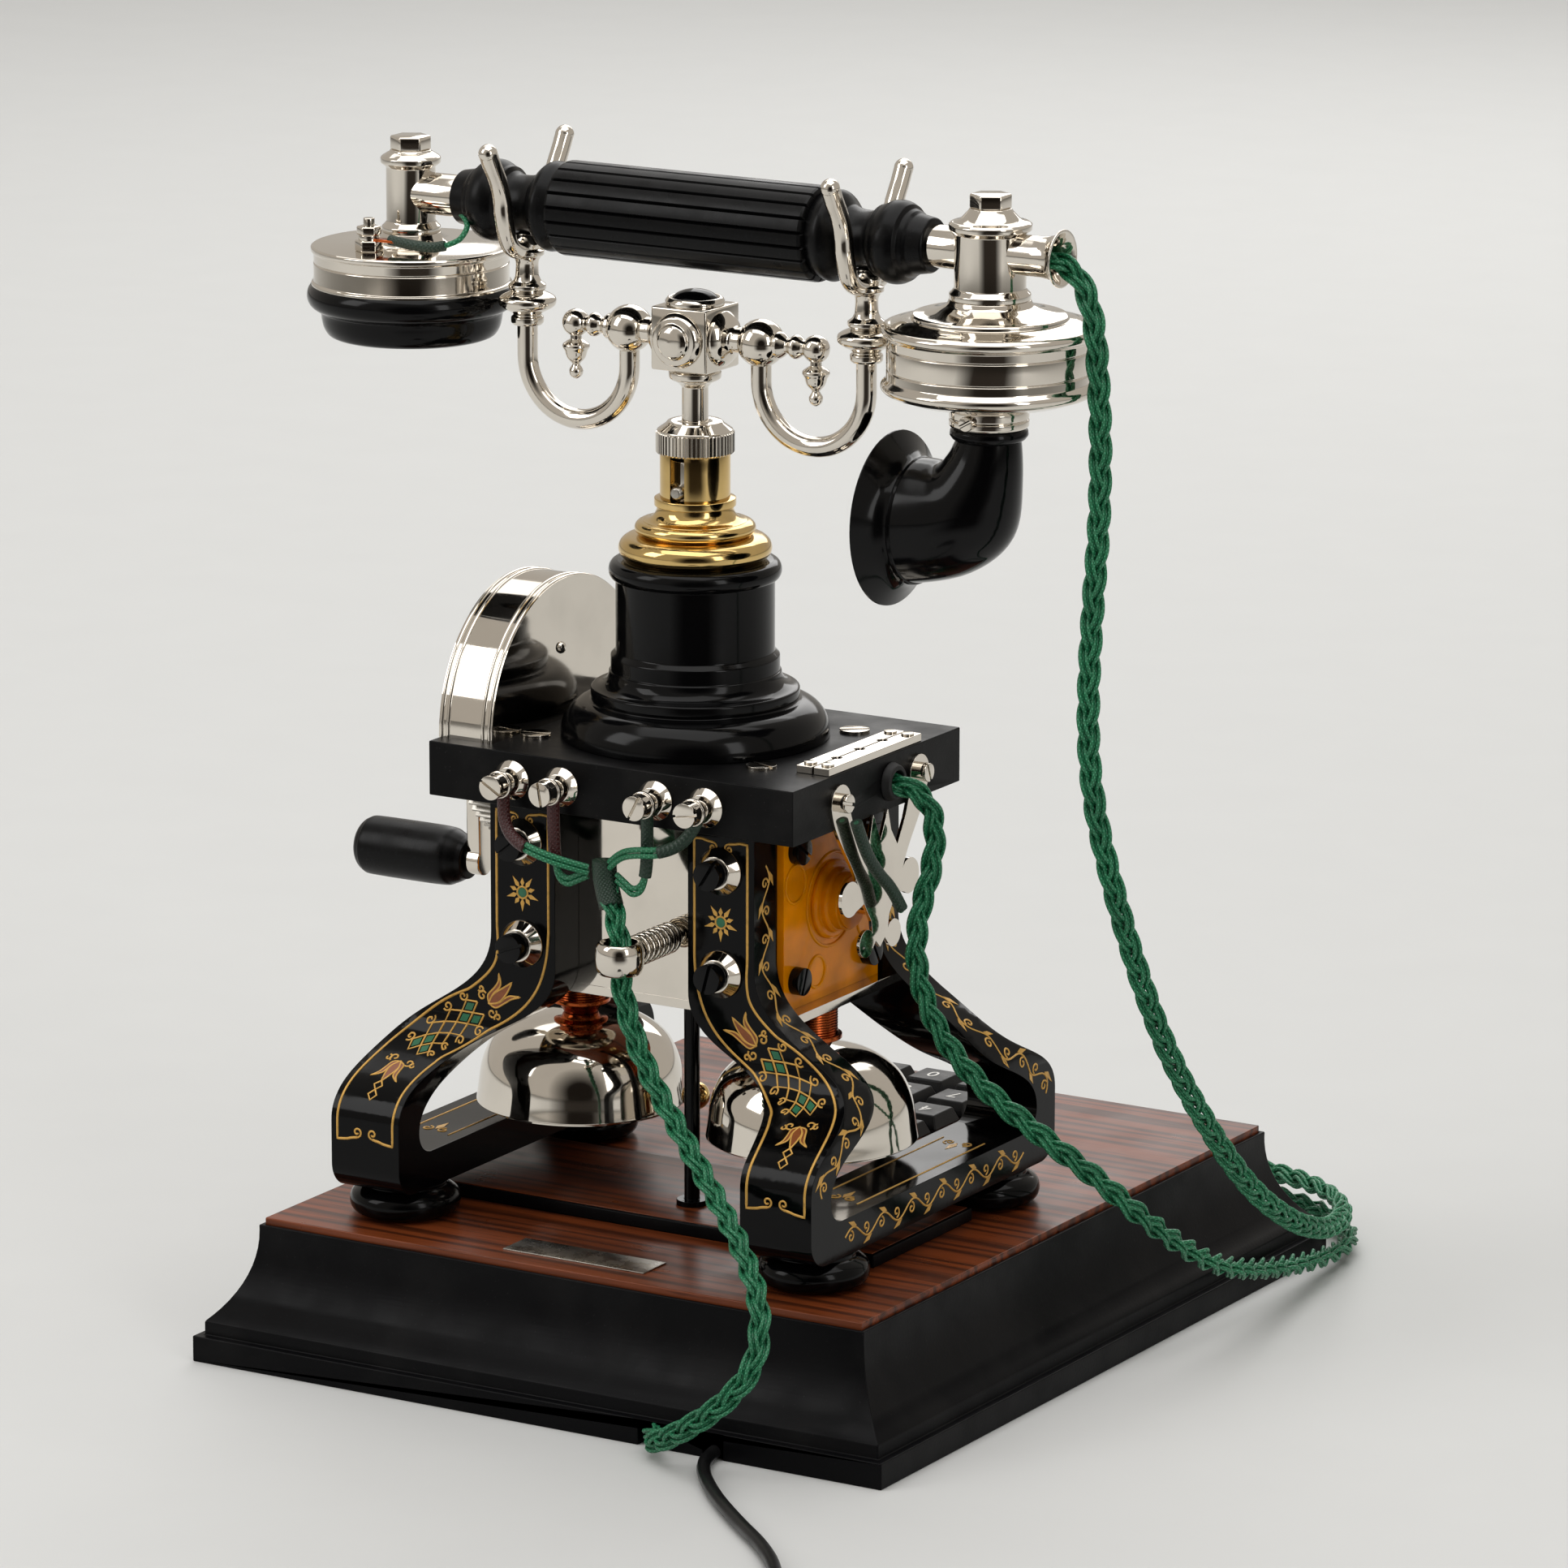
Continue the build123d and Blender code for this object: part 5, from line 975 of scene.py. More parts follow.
# Cord routes, in millimetres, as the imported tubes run
HANDSET_CORD = [
    (-118, 47, 364.6), (-132.5, 47, 364.6), (-141, 47, 353), (-144, 47, 328), (-145, 47, 290), (-141.5, 47.5, 243),
    (-141.5, 47.5, 204), (-148, 41, 165), (-150.5, 18, 119), (-151, -8, 87), (-151.5, -42, 53), (-150, -76, 32.5),
    (-146, -102, 23), (-140.5, -122, 17.5), (-135.5, -140, 15), (-127.5, -157, 14.4), (-115, -170, 14.2),
    (-97, -181, 13.4), (-72, -193, 10.5), (-44, -207, 6.5), (-14, -219, 5), (14, -227, 4.9), (40, -231, 4.9),
    (66, -231, 4.9), (84, -225, 4.9), (95, -213, 4.9), (95, -199, 4.9), (84, -187, 4.9), (64, -182, 4.9),
    (34, -181, 4.9), (2, -183, 4.9), (-30, -187, 4.9), (-60, -188, 4.9), (-87, -185, 4.9), (-110, -176, 4.9),
    (-127, -162, 4.9), (-136, -145, 5), (-137.5, -124, 6.2), (-139.5, -100, 10), (-143, -71, 16.6), (-146.5, -41, 25),
    (-146.5, -18, 35), (-140.5, 7, 53), (-131, 16, 65.5), (-112, 24.5, 81), (-94, 31, 96), (-82.5, 38, 114),
    (-77, 41, 133), (-76.5, 39, 149), (-78, 33, 163), (-78.5, 31, 174), (-78, 33, 184.5), (-73.2, 39.2, 192.05),
    (-58.65, 39.2, 192.05),
]
REAR_CORD = [
    (-0.5, 102, 167), (-3.5, 103.5, 160), (-8, 107, 154), (-11, 109.6, 148), (-11.3, 110.2, 139), (-14, 111.5, 129),
    (-19, 113.5, 118), (-28, 117, 106), (-43, 124, 93), (-60, 133, 79), (-77, 145, 68), (-91, 157, 55),
    (-94, 165, 39), (-84, 168, 26), (-69, 166, 15), (-55, 160, 7), (-46.5, 151, 4.6), (-45, 140, 4.4),
]
LEADS = (
    [
        (35.4, 103.7, 188.75), (35.2, 105, 181), (29, 108, 175), (18, 109, 172), (9.5, 106, 169.5), (4.2, 103.7, 168.1),
    ],
    [
        (17.2, 103.7, 188.75), (17, 103.7, 178), (16.3, 104, 169.5), (14.9, 104.3, 165), (11.6, 104.3, 163.4),
        (8.6, 103.8, 165), (4.7, 103.1, 166.9),
    ],
    [
        (-17.2, 103.7, 188.75), (-17.4, 103.7, 177), (-16.8, 104, 168.5), (-15.2, 104.3, 164.4), (-12, 104.3, 163.2),
        (-9.4, 103.8, 164.9), (-5.7, 103.1, 166.9),
    ],
    [
        (-35.4, 103.7, 188.75), (-33, 105, 182.5), (-25, 108, 178), (-16, 109, 177.5), (-8.5, 106.5, 175),
        (-3.7, 104, 170.8),
    ],
)
STAY = [(-70.4, 66.5, 185), (-70.5, 61.5, 175), (-71.5, 55, 166.5), (-72.5, 47.5, 160), (-73.5, 43.6, 153)]
LINE_CORD = [
    (-67, 133, 2.5), (-67, 148, 2.5), (-73, 163, 2.5), (-88, 181, 2.5), (-108, 200, 2.5), (-128, 217, 2.5),
    (-144, 236, 2.9), (-156, 258, 4.3), (-166, 277, 6.5),
]
LINE_RADIUS = 2.2
COIL_AT = (-147.0, 333.0)
COIL_ANGLE = 199.3
COIL_TURNS = 10.5
COIL_TAIL = 26.0


class OBJECT_OT_telephone_stage(bpy.types.Operator):
    """Pale floor, soft lights and the camera at the photographed angle"""

    bl_idname = "object.telephone_stage"
    bl_label = "Stage"

    def execute(self, context):
        scene = context.scene
        scene.view_settings.view_transform = "Standard"
        self.floor()
        self.world(scene)
        middle = (0, 0.05, 0.15)
        self.lamp("overhead_softbox", (-0.2, 0.35, 3.2), (-0.2, 0.35, 0), 3.4, 3.4, 66)
        self.lamp("backdrop_softbox", (1.4, -2.4, 3.2), (1.4, -2.4, 0), 3.4, 3.4, 46)
        self.lamp("left_softbox", (1.5, 1.7, 1.6), middle, 1.0, 1.5, 16)
        self.lamp("right_strip", (-2.0, 0.9, 1.0), middle, 0.5, 1.4, 7)
        self.lamp("front_softbox", (0.8, -2.4, 1.5), middle, 1.5, 1.5, 14)
        self.camera(scene)
        return {"FINISHED"}

    def floor(self):
        """A broad sheet of backdrop paper under the set."""
        bm = bmesh.new()
        bmesh.ops.create_grid(bm, x_segments=8, y_segments=8, size=9)
        mesh = bpy.data.meshes.new("studio_floor")
        bm.to_mesh(mesh)
        bm.free()
        mesh.materials.append(finish_of("paper"))
        ground = bpy.data.objects.new("studio_floor", mesh)
        bpy.context.scene.collection.objects.link(ground)
        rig.stage(ground)

    def world(self, scene):
        """A pale room for mirrors with one unlit side, and a dull one for everything else."""
        world = bpy.data.worlds.new("studio_room")
        world.use_nodes = True
        tree = world.node_tree
        room = tree.nodes["Background"]
        room.inputs["Strength"].default_value = 0.5
        way = add(tree, "ShaderNodeTexCoord").outputs["Generated"]
        facing = add(tree, "ShaderNodeVectorMath", {0: way, 1: NEAR_SIDE}, operation="DOT_PRODUCT")
        reach = {"Value": facing.outputs["Value"], "From Min": 0.8, "From Max": 0.97}
        gap = add(tree, "ShaderNodeMapRange", reach).outputs["Result"]
        pale, dark, dull = linear("#fff8ee"), linear(UNLIT), linear("#b0aca6")
        mirrored = add(tree, "ShaderNodeMix", {0: gap, 6: pale, 7: dark}, data_type="RGBA").outputs[2]
        glossy = add(tree, "ShaderNodeLightPath").outputs["Is Glossy Ray"]
        seen = add(tree, "ShaderNodeMix", {0: glossy, 6: dull, 7: mirrored}, data_type="RGBA").outputs[2]
        tree.links.new(seen, room.inputs["Color"])
        scene.world = world

    def lamp(self, name, place, target, width, height, power):
        """A soft rectangular lamp that faces its target; lengths in metres, power in watts."""
        lamp = bpy.data.lights.new(name, "AREA")
        lamp.shape = "RECTANGLE"
        lamp.size = width
        lamp.size_y = height
        lamp.energy = power
        holder = bpy.data.objects.new(name, lamp)
        away = Vector(place) - Vector(target)
        holder.matrix_world = Matrix.Translation(place) @ away.to_track_quat("Z", "Y").to_matrix().to_4x4()
        bpy.context.scene.collection.objects.link(holder)

    def camera(self, scene):
        """The camera that the photo was solved for."""
        lens = bpy.data.cameras.new("photo_camera")
        lens.sensor_width = 36
        lens.lens = sizes().lens
        lens.clip_end = 50
        holder = bpy.data.objects.new("photo_camera", lens)
        back = Vector(CAMERA_BACK).normalized()
        up = back.cross(Vector(CAMERA_RIGHT).normalized()).normalized()
        right = up.cross(back)
        turn = Matrix((right, up, back)).transposed().to_4x4()
        holder.matrix_world = Matrix.Translation(CAMERA_AT) @ turn
        scene.collection.objects.link(holder)
        scene.camera = holder


class OBJECT_OT_telephone_cords(bpy.types.Operator):
    """Plaited cords, terminal leads and the black line cord with its put-away coil"""

    bl_idname = "object.telephone_cords"
    bl_label = "Cords"
    # The way that the plaits' flat side faces, to the rear and up
    flat_to = Vector((-0.5, 0.75, 0.43))

    def execute(self, context):
        self.handset_cord()
        self.rear_cord()
        self.leads()
        self.line_cord()
        return {"FINISHED"}

    def plait(self, name, line, node):
        """Three strands over and under each other along a line, each a round bundle of three thin cords."""
        step = 1.3 * MM
        across_reach = 2.1 * MM
        thick_reach = 1.6 * MM
        follow = 0.08
        bundle = ((-0.95, -0.3), (0, 0.62), (0.95, -0.3))
        line = even(line, step)
        if (line[-1] - line[-2]).length < step / 2:
            line.pop(-2)
        last = len(line) - 1
        period = 3 * sizes().lobe
        side = (line[1] - line[0]).cross(self.flat_to).normalized()
        strands = [[], [], []]
        lifts = []
        for index, point in enumerate(line):
            ahead = (line[min(index + 1, last)] - line[max(index - 1, 0)]).normalized()
            side = (side - ahead * side.dot(ahead)).normalized()
            wanted = ahead.cross(self.flat_to)
            side = side.lerp(wanted if wanted.dot(side) > 0 else -wanted, follow).normalized()
            lifts.append(ahead.cross(side).normalized())
            for number, strand in enumerate(strands):
                phase = 2 * math.pi * (index * step / period + number / 3)
                strand.append(
                    point + side * across_reach * math.sin(phase) + lifts[-1] * thick_reach * math.sin(2 * phase)
                )
        cords = []
        for strand in strands:
            for sideways, upward in bundle:
                cord = []
                for index, point in enumerate(strand):
                    ahead = strand[min(index + 1, last)] - strand[max(index - 1, 0)]
                    across = ahead.cross(lifts[index]).normalized()
                    cord.append(point + (across * sideways + lifts[index] * upward) * MM)
                cords.append(sleeved(cord, sizes().thread, 6))
        return piece(name, "cotton", cords, body="base", slot=SLOT_OF[node], sharp=80), line

    def handset_cord(self):
        """The long plait from the handset's trumpet round the plinth to the top plate's grommet."""
        item, line = self.plait("handset_plait", route(HANDSET_CORD), "handset_cord")
        item.parent = None
        item.matrix_world = Matrix.Identity(4)
        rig.replaces(item, "handset_cord")
        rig.blend(item, "base", "handset", start=(-0.150, 0.040, 0.075), end=(-0.2705, 0.040, 0.1553))
        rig.cord(
            item, exit=line[0], length=round(length_of(line), 3), diameter=0.0085, far_end="object", stiffness="limp",
            lay="loose", path=line,
        )

    def rear_cord(self):
        """The short plait from the wrapped bundle under the terminals down to the plinth."""
        item, line = self.plait("rear_plait", route(REAR_CORD), "rear_cord")
        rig.replaces(item, "rear_cord")
        wrap = route([(-0.5, 101.9, 171.5), (-0.5, 102, 167), (-2.2, 102.8, 162), (-4.4, 104.2, 157.8)])
        bundle = piece("cord_bundle", "wrap", [sleeved(even(wrap, MM), 3.9 * MM, 20)], body="base", slot="lead_wrap")
        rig.cord(
            item, exit=line[0], length=round(length_of(line), 3), diameter=0.0085, far_end="object", stiffness="limp",
            lay="hanging", path=line, with_pieces=[bundle],
        )

    def leads(self):
        """Pairs of thin green cords to the terminals, each in a wrapped sleeve at its upper end."""
        names = ("lead_right_outer", "lead_right_inner", "lead_left_inner", "lead_left_outer", "bracket_stay")
        keys = ("wine", "wine", "wrap", "wrap", "wrap")
        shares = (0.5, 0.58, 0.58, 0.45, 1.0)
        apart, thin, thick = 0.95 * MM, 0.9 * MM, 2.0 * MM
        for name, key, share, points in zip(names, keys, shares, (*LEADS, STAY)):
            line = even(route(points), 0.8 * MM)
            pair = []
            for side in (-apart, apart):
                offset = [point + Vector((0, 0, side)) * min(index / 8, 1) for index, point in enumerate(line)]
                pair.append(sleeved(offset, thin, 10))
            item = piece(name, "cotton", pair, ["terminal_leads"])
            sleeve_line = line[:max(int(len(line) * share), 4)]
            sleeve = piece(
                f"{name}_sleeve", key, [sleeved(sleeve_line, thick, 14)], body="base", slot="lead_wrap"
            )
            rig.cord(
                item, exit=line[0], length=round(length_of(line), 4), diameter=0.0036, far_end="object",
                stiffness="limp", lay="hanging", path=line, with_pieces=[sleeve],
            )

    def line_cord(self):
        """The black cord, wound in on the coil's upper layer and out on the lower to its plug."""
        points = list(LINE_CORD)
        rings = 16
        inner, pitch, level = 11, 5, 2.5
        half = COIL_TURNS / 2
        for index in range(int(COIL_TURNS * rings) + 1):
            turn = index / rings
            angle = math.radians(COIL_ANGLE) - 2 * math.pi * turn
            radius = inner + pitch * abs(turn - half)
            height = level + pitch * (1 - min(max(2 * (turn - half) + 0.5, 0), 1))
            points.append((COIL_AT[0] + radius * math.cos(angle), COIL_AT[1] + radius * math.sin(angle), height))
        head = (Vector(points[-1]) - Vector(points[-2])).normalized()
        points.append(tuple(Vector(points[-1]) + head * COIL_TAIL))
        line = route(points, 6)
        cable = piece("line_flex", "flex", [sleeved(line, LINE_RADIUS * MM, 12)], ["line_cord", "line_cord_coil"])
        plug = piece("line_plug_body", "ebonite", [copied("line_plug")], ["line_plug"], edge=0.5)
        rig.cord(
            cable, exit=line[0], length=round(length_of(line), 3), diameter=2 * LINE_RADIUS * MM, far_end="plug",
            stiffness="medium", lay="coiled", path=line, with_pieces=[plug, self.tie()],
        )

    def tie(self):
        """A flat strap round the coil's turns."""
        x = (COIL_AT[0] - 2.5, COIL_AT[0] + 2.5)
        inner, outer, top = COIL_AT[1] + 8.0, COIL_AT[1] + 40.4, 10.3
        walls = [
            slab(x, (inner, outer), (0.02, 0.28), 0.08), slab(x, (inner, outer), (top - 0.4, top), 0.12),
            slab(x, (inner - 0.4, inner), (0.02, top), 0.12), slab(x, (outer, outer + 0.4), (0.02, top), 0.12),
        ]
        return piece("coil_tie", "rubber", walls, body="base", slot="rubber")


class OBJECT_OT_telephone_plinth(bpy.types.Operator):
    """Moulded plinth with its veneered panel, raised board, bare label plate and bun feet"""

    bl_idname = "object.telephone_plinth"
    bl_label = "Plinth"

    def execute(self, context):
        piece("plinth_moulding_dressed", "lacquer", [copied("plinth_moulding")], ["plinth_moulding"], edge=0.45)
        piece("veneered_panel", "rosewood", [copied("plinth_top_panel")], ["plinth_top_panel"], edge=0.4)
        self.raised_board()
        label = slab((-26, 26), (107, 120.5), (DECK - 0.1, DECK + 0.5), 0.15)
        piece("bare_label_plate", "steel", [label], body="base", slot="steel")
        piece("circuit_board_dressed", "board", [copied("circuit_board")], ["circuit_board"], edge=0.2)
        self.bun_feet()
        return {"FINISHED"}

    def raised_board(self):
        """A board with a black edge and a veneered top under the bells."""
        low, high = span("cover_plate")
        rim = 1.2
        edge = slab(*zip(low, high), 0.5)
        piece("raised_board_edge", "lacquer", [edge], body="base", slot="black_wood")
        top = slab((low[0] + rim, high[0] - rim), (low[1] + rim, high[1] - rim), (high[2] - 0.6, high[2] + 0.25), 0.2)
        piece("raised_board_veneer", "rosewood", [top], ["cover_plate"])

    def bun_feet(self):
        """Swelling feet under the side frames."""
        low, high = span("bun_feet")
        radius = 17.7
        height = high[2] - low[2]
        swell = smooth([(13.2, 0.2), (16.6, 1.8), (radius, 4.6), (16.9, 7.6), (14.2, 9.6)], 5)
        profile = [(0, 0), (12.6, 0), *swell, (13.4, 9.9), (13.4, height), (0, height)]
        feet = [
            turned(profile, (side * (high[0] - radius), y, low[2]), soft=0.2)
            for side in (-1, 1) for y in (low[1] + radius, high[1] - radius)
        ]
        piece("turned_bun_feet", "enamel", feet, ["bun_feet"])


class OBJECT_OT_telephone_keypad(bpy.types.Operator):
    """Twelve keys with plain white figures"""

    bl_idname = "object.telephone_keypad"
    bl_label = "Keypad"

    def execute(self, context):
        figures = {"star": "*", "hash": "#"}
        for name in ("1", "2", "3", "4", "5", "6", "7", "8", "9", "star", "0", "hash"):
            node = f"key_{name}"
            piece(f"{node}_cap", "key", [copied(node)], [node], edge=0.7)
            low, high = span(node)
            figure = self.figure(figures.get(name, name), (low[0] + high[0]) / 2, (low[1] + high[1]) / 2, high[2])
            piece(f"{node}_figure", "ink", [figure], body=BODY_OF[node], slot="key_plastic")
        return {"FINISHED"}

    def figure(self, text, x, y, z):
        """A printed figure that reads from the keypad's side."""
        curve = bpy.data.curves.new("figure", "FONT")
        curve.body = text
        curve.size = 8 * MM
        curve.align_x = "CENTER"
        curve.align_y = "CENTER"
        curve.extrude = 0.06 * MM
        curve.resolution_u = 4
        bm = shape_of_curve(curve)
        bmesh.ops.translate(bm, vec=at(x, y, z + 0.04), verts=bm.verts)
        return bm


class OBJECT_OT_telephone_stand(bpy.types.Operator):
    """Cast side frames with their cone washers and slotted screws"""

    bl_idname = "object.telephone_stand"
    bl_label = "Stand"

    def execute(self, context):
        for side in ("right", "left"):
            node = f"side_frame_{side}"
            piece(f"cast_{node}", "enamel", [copied(node)], [node], edge=0.9)
        washers, screws = [], []
        turns = iter((12, 75, -38, 58, 100, 20, -65, 40))
        cone = [(2.7, 0), (7.7, 0), (7.7, 0.9), (5.5, 3.4), (5.2, 4.0), (2.7, 4.0)]
        leg_face, washer_face = 44.5, 48.5
        for x in (-36.5, 36.5):
            for z in (137.5, 170.5):
                for side in (-1, 1):
                    seat = SET_Y + side * leg_face
                    washers.append(turned(cone, (x, seat, z), (0, side, 0), 0.3, closed=True, steps=64))
                    face = SET_Y + side * washer_face
                    screws += slotted((x, face, z), (0, side, 0), 4.6, 5.0, 1.1, 1.5, next(turns), 0.4)
        piece("cone_washers", "nickel", washers, ["leg_washers"])
        piece("slotted_leg_screws", "ebonite", screws, ["leg_screws"])
        return {"FINISHED"}


# Cabriole curves of the legs: reach at the straight top and its height, reach at the foot and its height
LEG_OUT_X = ((48.5, 140.0), (88.4, 90.0))
LEG_IN_X = ((24.5, 130.0), (62.8, 88.0))
LEG_OUT_Y = ((44.5, 112.0), (76.5, 80.0))
LEG_IN_Y = ((30.5, 108.0), (64.5, 76.0))


def cabriole(z, curve):
    """Sideways reach of a leg's curve at a height."""
    (top, high), (foot, low) = curve
    if z >= high:
        return top
    if z <= low:
        return foot
    middle = (high + low) / 2
    before, after = 0.0, 1.0
    for _ in range(32):
        t = (before + after) / 2
        if high * (1 - t) ** 3 + 3 * middle * t * (1 - t) + low * t ** 3 > z:
            before = t
        else:
            after = t
    return top + (foot - top) * (3 * t * t - 2 * t ** 3)


def run_of(points):
    """Points with the length run so far beside each."""
    rows = [(0.0, points[0])]
    for before, after in zip(points, points[1:]):
        rows.append((rows[-1][0] + (after - before).length, after))
    return rows


class OBJECT_OT_telephone_ornament(bpy.types.Operator):
    """Gold lines, rosettes, tulips, lattices and vines laid on the legs"""

    bl_idname = "object.telephone_ornament"
    bl_label = "Ornament"

    def execute(self, context):
        self.lines, self.fine, self.fills = [], [], {"gold": [], "leaf": [], "umber": []}
        heights = [182.3 - 0.4 * step for step in range(311)]
        face = run_of([
            Vector(((cabriole(z, LEG_OUT_X) + cabriole(z, LEG_IN_X)) / 2, cabriole(z, LEG_OUT_Y), z)) for z in heights
        ])
        flank = run_of([
            Vector((cabriole(z, LEG_OUT_X), (cabriole(z, LEG_OUT_Y) + cabriole(z, LEG_IN_Y)) / 2, z)) for z in heights
        ])
        runner = run_of([Vector((RUNNER_X, y, 63)) for y in range(-62, 63, 2)])
        shelf = run_of([Vector((75.6, y, 69)) for y in range(-46, 47, 2)])
        for right in (-1, 1):
            for rear in (-1, 1):
                self.front_of_leg(self.laid_on(face, "face", right, rear))
                self.vine(self.laid_on(flank, "flank", right, rear), 10, 136, 2.2)
            self.vine(self.laid_on(runner, "runner", right, 1), 6, 118, 2.4)
            self.shelf_lines(self.laid_on(shelf, "shelf", right, 1))
        line = sizes().gold_line / MM
        piece("gold_lines", "gold", [tubes(self.lines, line, 6)], body="base", slot="brass", sharp=80)
        piece("gold_tracery", "gold", [tubes(self.fine, line * 0.74, 6)], body="base", slot="brass", sharp=80)
        for key, slot in (("gold", "brass"), ("leaf", "board"), ("umber", "copper")):
            piece(f"{key}_fills", key, self.fills[key], body="base", slot=slot)
        return {"FINISHED"}

    def laid_on(self, rows, kind, right, rear):
        """A way to place (along, across, lift) on one surface of one leg, in millimetres."""

        def place(along, across, lift=0.0):
            index = min(max(int(along / rows[-1][0] * (len(rows) - 1)), 1), len(rows) - 3)
            while index < len(rows) - 3 and rows[index + 1][0] < along:
                index += 1
            while index > 1 and rows[index][0] > along:
                index -= 1
            (start, low), (end, high) = rows[index], rows[index + 1]
            spot = low + (high - low) * ((along - start) / (end - start))
            ahead = rows[index + 2][1] - rows[index - 1][1]
            if kind == "face":
                normal = Vector((0, -ahead.z, ahead.y)).normalized()
            elif kind == "flank":
                normal = Vector((-ahead.z, 0, ahead.x)).normalized()
            else:
                normal = Vector((1, 0, 0)) if kind == "runner" else Vector((0, 0, 1))
            spot = spot + ahead.cross(normal).normalized() * across
            if kind == "face":
                spot.y = cabriole(spot.z, LEG_OUT_Y)
            elif kind == "flank":
                spot.x = cabriole(spot.z, LEG_OUT_X)
            spot = spot + normal * lift
            return at(spot.x * right, SET_Y + spot.y * rear, spot.z)

        return place

    def line(self, place, points, fine=False):
        """A drawn line sunk a little into the enamel."""
        sink = -0.1 if fine else -0.14
        (self.fine if fine else self.lines).append([place(along, across, sink) for along, across in points])

    def fill(self, place, points, key):
        """A filled shape a little proud of the enamel."""
        bm = bmesh.new()
        bm.faces.new([bm.verts.new(place(along, across, -0.18)) for along, across in points])
        inner = place(points[0][0], points[0][1], 0)
        outer = place(points[0][0], points[0][1], 1)
        grown = bmesh.ops.extrude_face_region(bm, geom=bm.faces[:], use_keep_orig=True)["geom"]
        verts = [part for part in grown if isinstance(part, bmesh.types.BMVert)]
        bmesh.ops.translate(bm, vec=(outer - inner) * 0.3, verts=verts)
        bmesh.ops.recalc_face_normals(bm, faces=bm.faces)
        self.fills[key].append(bm)

    def scroll(self, place, along, across, radius, start, turn):
        """A fine spiral that closes on its middle, its angles in degrees."""
        steps = 20
        points = []
        for step in range(steps + 1):
            part = step / steps
            angle = math.radians(start + turn * part)
            reach = radius * (1 - 0.78 * part)
            points.append((along + reach * math.cos(angle), across + reach * math.sin(angle)))
        self.line(place, points, True)

    def front_of_leg(self, place):
        """Border, rosette, lattice between two tulips, and two diamonds towards the foot."""
        self.border(place)
        self.rosette(place, 28.3)
        self.tulip(place, 71, -1.0)
        self.lattice(place, 74.5)
        self.tulip(place, 107.5, 0.85)
        for along in (119.5, 123.5):
            corners = [(along - 2, 0), (along, 1.6), (along + 2, 0), (along, -1.6)]
            self.line(place, [*corners, corners[0]], True)

    def half_width(self, along):
        """Half the leg face's width at a length from its top."""
        stops = ((0, 12.0), (40, 12.0), (75, 9.7), (102, 13.0), (120, 12.8), (160, 12.8))
        for (low, start), (high, end) in zip(stops, stops[1:]):
            if along <= high:
                return start + (end - start) * (along - low) / (high - low)
        return stops[-1][1]

    def border(self, place):
        """Two lines down the edges, each turned in at its ends and finished with a curl."""
        for side in (-1, 1):
            along = [2.4 + 137.2 * step / 90 for step in range(91)]
            edge = [(place_along, side * (self.half_width(place_along) - 2.4)) for place_along in along]
            top = smooth([edge[0], (2.2, side * 7.0), (2.6, side * 5.2), (2.9, side * 2.9)], 5)
            foot = smooth([edge[-1], (139.2, side * 7.0), (138.7, side * 5.2), (138.3, side * 2.9)], 5)
            self.line(place, [*reversed(top), *edge[1:-1], *foot])
            self.scroll(place, 4.6, side * 2.9, 1.7, 180, 430 * side)
            self.scroll(place, 136.6, side * 2.9, 1.7, 0, -430 * side)

    def rosette(self, place, along):
        """A ten-petalled star with a green eye."""
        for petal in range(10):
            angle = math.pi * petal / 5
            reach = 6.2 if petal % 2 == 0 else 4.8
            ahead = (math.cos(angle), math.sin(angle))
            points = []
            for far, wide in ((1.9, 0), (3.3, 0.75), (reach, 0), (3.3, -0.75)):
                points.append((along + far * ahead[0] - wide * ahead[1], far * ahead[1] + wide * ahead[0]))
            self.fill(place, points, "gold")
        ring = [(math.cos(math.pi * step / 10), math.sin(math.pi * step / 10)) for step in range(20)]
        self.fill(place, [(along + 1.5 * a, 1.5 * b) for a, b in ring], "leaf")
        self.line(place, [(along + 1.9 * a, 1.9 * b) for a, b in [*ring, ring[0]]], True)

    def tulip(self, place, foot, way):
        """A three-petalled flower of umber with gold edges, pointing up or down the leg."""
        middle = smooth([(0, 0), (3.4, 1.5), (7.6, 1.1), (12, 0)], 4)
        middle += [(along, -across) for along, across in reversed(middle[1:-1])]
        wing = smooth([(0.4, 0.4), (1.6, 2.4), (5.4, 3.0), (8.2, 3.6), (10.6, 5.2)], 4)
        wing += smooth([(10.6, 5.2), (8.4, 2.6), (6.4, 1.9), (3.6, 1.7), (0.4, 0.4)], 4)[1:-1]
        for shape in (middle, wing, [(along, -across) for along, across in wing]):
            points = [(foot + way * along, across) for along, across in shape]
            self.fill(place, points, "umber")
            self.line(place, [*points, points[0]], True)
        for side in (-1, 1):
            self.scroll(place, foot - way * 0.6, side * 3.2, 1.8, 90 - 90 * way, 400 * side * way)
            self.scroll(place, foot + way * 0.4, side * 5.4, 1.3, 90 + 90 * way, 380 * side * way)

